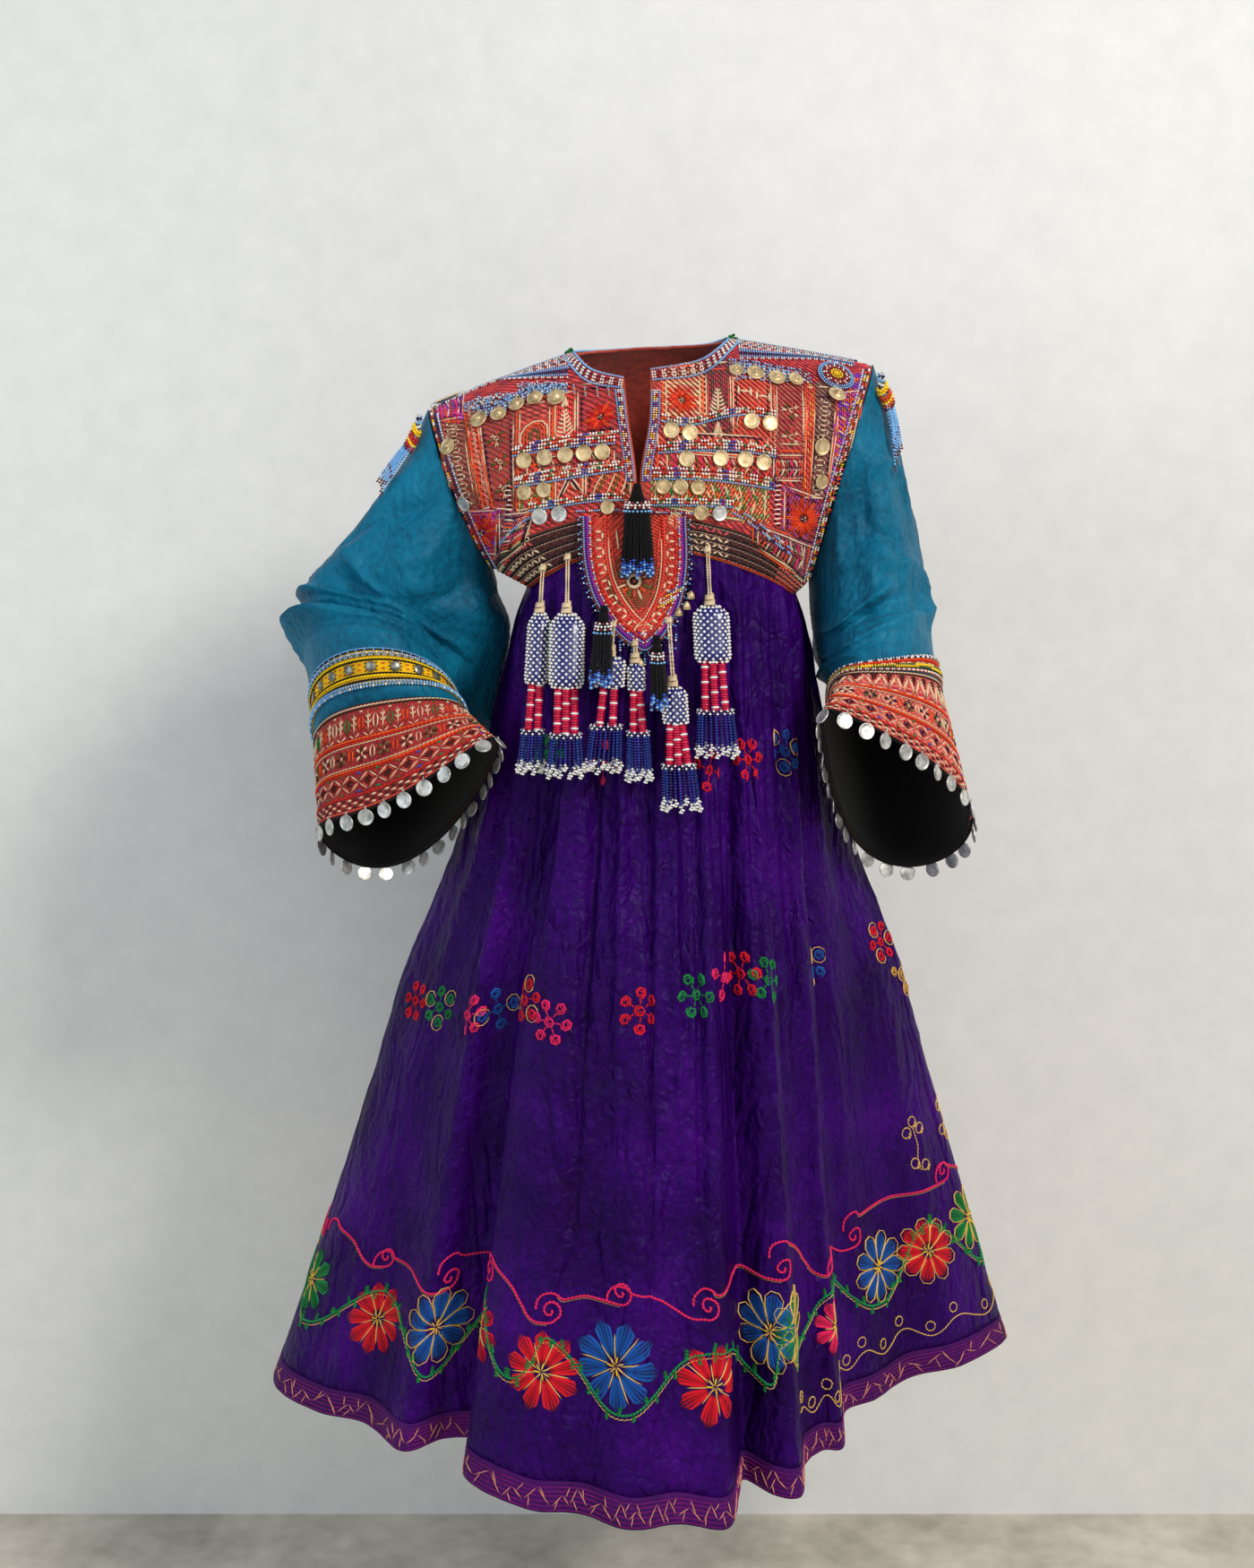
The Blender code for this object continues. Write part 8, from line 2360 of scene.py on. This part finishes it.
# %% Trims and mirrors
TRIM_RISE = 0.0012       # the trim's face over the sleeve
MIRROR_DEPTH = 0.535     # the mirrors' middles, as a share of the trim's depth
mirrors = []
for side, bands in (("left", [(0.03, BLACK, 0.0016), (0.30, YELLOW, 0.0018), (0.35, BLACK, 0.0012),
                              (0.72, BLACK, 0.0012), (0.77, YELLOW, 0.0018), (0.86, BLACK, 0.0014)]),
                    ("right", [(0.22, ORANGE, 0.0016), (0.34, RED, 0.0012), (0.62, dye(70, 84, 40), 0.0018),
                               (0.74, GREEN * 0.6, 0.0016), (0.86, BROWN, 0.0014)])):
    cloth = surface(TRIM[side]["grid"] + TRIM[side]["normals"] * TRIM_RISE, SLEEVE_MIDDLE[side], True)
    ground, slot = (TRIM_YELLOW, "yellow_trim") if side == "left" else (TRIM_STRIPED, "striped_trim")
    cloth_piece("cuff_trim_cloth_" + side, cloth, ground, 0.0010, ["cuff_trim_" + side])
    place, round_it = round_tube(TRIM[side], 1.0, TRIM_RISE)
    made = [chain(place, ring_path(round_it, v), 0.0034, width, colour, 0.0006)
            for v, colour, width in bands]
    depth = float(TRIM[side]["down"][-1].mean())
    count = round(round_it / 0.0235)
    for k in range(count):
        u = (k + 0.5) * round_it / count
        if side == "left":
            for j in range(12):
                reach = np.array([[0.0050], [0.0072]]) / (1.0, depth)
                ray = circle(2 * np.pi * j / 12) * reach + (u, MIRROR_DEPTH)
                made.append(sewn(place, [(ray, 0.0014, 0.0011, BROWN if j % 2 else OLIVE)], 4))
            for v in (0.46, 0.60):
                dash = [(u + 0.0095, v), (u + 0.0140, v)]
                made.append(sewn(place, [(dash, 0.0012, 0.0010, (ORANGE, RED)[k % 2])], 4))
            where, normal = spot_on(place, u, MIRROR_DEPTH, 0.0006)
            profile = [(0.0, 0.0006), (0.0046, 0.0006), (0.0053, 0.0001), (0.0, -0.0004)]
            mirrors.append(turned(where, normal, UPWARD, profile, BARE, 14))
        else:
            waves = [[(at, 0.54), (at + 0.0045, 0.42), (at + 0.0090, 0.54)] for at in (u - 0.0090, u)]
            made.append(sewn(place, [(wave, 0.0011, 0.0012, CREAM) for wave in waves], 6))
    add_piece("cuff_trim_stitches_" + side, made, STITCH)
    if side == "left":
        strings = [(0.93, BLUE_LINE, 0.0019), (1.03, [(SKY, 3), (WHITE, 1)], 0.0018),
                   (0.14, [(SKY, 3), (WHITE, 1)], 0.0014), (0.21, [(BLACK, 1), (SKY, 2)], 0.0013)]
        scallop, height, colours = 0.0090, 0.0050, BLUE_LINE
    else:
        mixed = [(YELLOW, 9), (YELLOW * 0.8, 3), (OLIVE, 9)]
        strings = [(0.10, [(NAVY, 2), (WHITE, 2)], 0.0014), (0.60, mixed, 0.0017), (0.70, mixed, 0.0016),
                   (0.93, [(WHITE, 2), (RED, 1)], 0.0013)]
        scallop, height, colours = 0.0070, 0.0042, [(NAVY, 1), (WHITE, 1)]
    ropes = [bead_row(place, ring_path(round_it, v), radius, run, 0.0004) for v, run, radius in strings]
    count = round(round_it / scallop)
    arc = circle(np.radians(np.linspace(180, 360, 7))) * (scallop / 2, height / depth) + (scallop / 2, 0.05)
    for k in range(count):
        ropes.append(bead_row(place, arc + (k * round_it / count, 0.0), 0.0012, colours, 0.0))
    add_piece("cuff_trim_beads_" + side, ropes, BEAD)
add_piece("trim_mirrors", mirrors, stamped_metal("mirror_glass", dye(46, 50, 48), dye(150, 150, 140), 0.25))

# %% [markdown]
# ## Coins round the cuffs
# Thin silver coins hang side by side from the cuff's edge, each on a small ring, a little turned. They lie
# in the line of the cuff, which gathers them where the edge turns.

# %% Silver coins on the cuffs
CUFF_COINS, CUFF_COIN_RADIUS = 27, 0.0083
for side in ("left", "right"):
    cuff_edge, above = CUFF[side]["grid"][-1], CUFF[side]["grid"][-2]
    drop, out = unit(cuff_edge - above), CUFF[side]["normals"][-1]
    lengths = CUFF[side]["across"][-1]
    coins, rings = [], []
    for k in range(CUFF_COINS):
        at = np.interp(k * lengths[-1] / CUFF_COINS, lengths, np.arange(len(lengths)))
        index = int(at) % len(cuff_edge)
        fall = unit(drop[index] + (0.0, 0.0, -0.25))
        level = out[index] - fall * np.dot(out[index], fall)
        facing = unit(level + np.cross(fall, out[index]) * 0.25 * math.sin(k * 2.1))
        centre = cuff_edge[index] + fall * 0.0070 + out[index] * 0.0018
        coins += coin_parts(centre, facing, -fall, CUFF_COIN_RADIUS, 0.0, rings)
    add_piece("cuff_coins_silver_" + side, coins + rings, SILVER, ["cuff_coins_" + side])
    round_edge = np.concatenate([cuff_edge, cuff_edge[:1]]) - drop[[*range(len(drop)), 0]] * 0.0004
    tape = threads(round_edge[None], out[[*range(len(drop)), 0]][None], 0.0017, 0.0019, BLACK, 6)
    add_piece("cuff_edge_" + side, [tape], STITCH)

# %% [markdown]


# %% [markdown]
# ## Stage, light and camera
# A pale plaster wall close behind and a worn floor. The wall is clear as seen from its back, so that the
# dress can be looked at from all sides. One large soft lamp stands high on the right in front, so that a
# soft shadow falls on the wall to the left. Weaker cool light comes from the left. The camera looks a
# little down.

# %% Stage, lights, camera
def stage_sheet(name, corners, colours, patches):
    """A flat rectangle with blotchy paint on its front and nothing on its back."""
    made, tree, shader = new_material(name, 0.9, specular=0.1)
    where = tree.nodes.new('ShaderNodeTexCoord')
    mask = grouped(tree, FADING, Place=where.outputs["Object"], Patches=patches, Slubs=30.0)["Mask"]
    tree.links.new(tint(tree, mask, (0.3, colours[0]), (0.7, colours[1])), shader.inputs["Base Color"])
    side = tree.nodes.new('ShaderNodeNewGeometry')
    tree.links.new(arithmetic(tree, 'SUBTRACT', 1.0, side.outputs["Backfacing"]), shader.inputs["Alpha"])
    mesh = bpy.data.meshes.new(name)
    mesh.from_pydata(corners, [], [(0, 1, 2, 3)])
    mesh.materials.append(made)
    sheet = bpy.data.objects.new(name, mesh)
    bpy.context.scene.collection.objects.link(sheet)


FLOOR, WALL = -1.62, 0.485
stage_sheet("plaster_wall", [(-4, WALL, FLOOR), (4, WALL, FLOOR), (4, WALL, 3), (-4, WALL, 3)],
            (dye(224, 224, 222), dye(240, 239, 236)), 0.9)
stage_sheet("worn_floor", [(-4, -4, FLOOR), (4, -4, FLOOR), (4, WALL, FLOOR), (-4, WALL, FLOOR)],
            (dye(170, 163, 150), dye(226, 218, 204)), 6.0)


def lamp(name, place, target, size, watts, colour):
    """A square soft light that faces its target."""
    light = bpy.data.lights.new(name, 'AREA')
    light.size = size
    light.energy = watts
    light.color = colour
    made = bpy.data.objects.new(name, light)
    made.location = place
    made.rotation_euler = (Vector(target) - Vector(place)).to_track_quat('-Z', 'Y').to_euler()
    bpy.context.scene.collection.objects.link(made)


lamp("key", (1.9, -2.4, 1.7), (0.0, 0.0, -0.5), 0.9, 96.0, (1.0, 0.97, 0.92))
lamp("cool", (-2.7, -1.9, 0.5), (0.0, 0.0, -0.5), 2.4, 34.0, (0.74, 0.88, 1.0))
lamp("front", (0.2, -3.2, 0.7), (0.0, 0.0, -0.6), 1.6, 12.0, (1.0, 0.99, 0.97))
world = bpy.data.worlds.new("studio")
world.use_nodes = True
world.node_tree.nodes["Background"].inputs["Color"].default_value = (0.86, 0.90, 0.94, 1.0)
world.node_tree.nodes["Background"].inputs["Strength"].default_value = 0.36
bpy.context.scene.world = world
bpy.context.scene.view_settings.view_transform = 'Standard'

camera = bpy.data.cameras.new("camera")
camera.sensor_fit = 'VERTICAL'
camera.sensor_height = 36.0
camera.lens = 49.8
eye = bpy.data.objects.new("camera", camera)
eye.location = (-0.011, -2.247, 0.0608)
eye.rotation_euler = (math.radians(77.0), 0.0, 0.0)
bpy.context.scene.collection.objects.link(eye)
bpy.context.scene.camera = eye
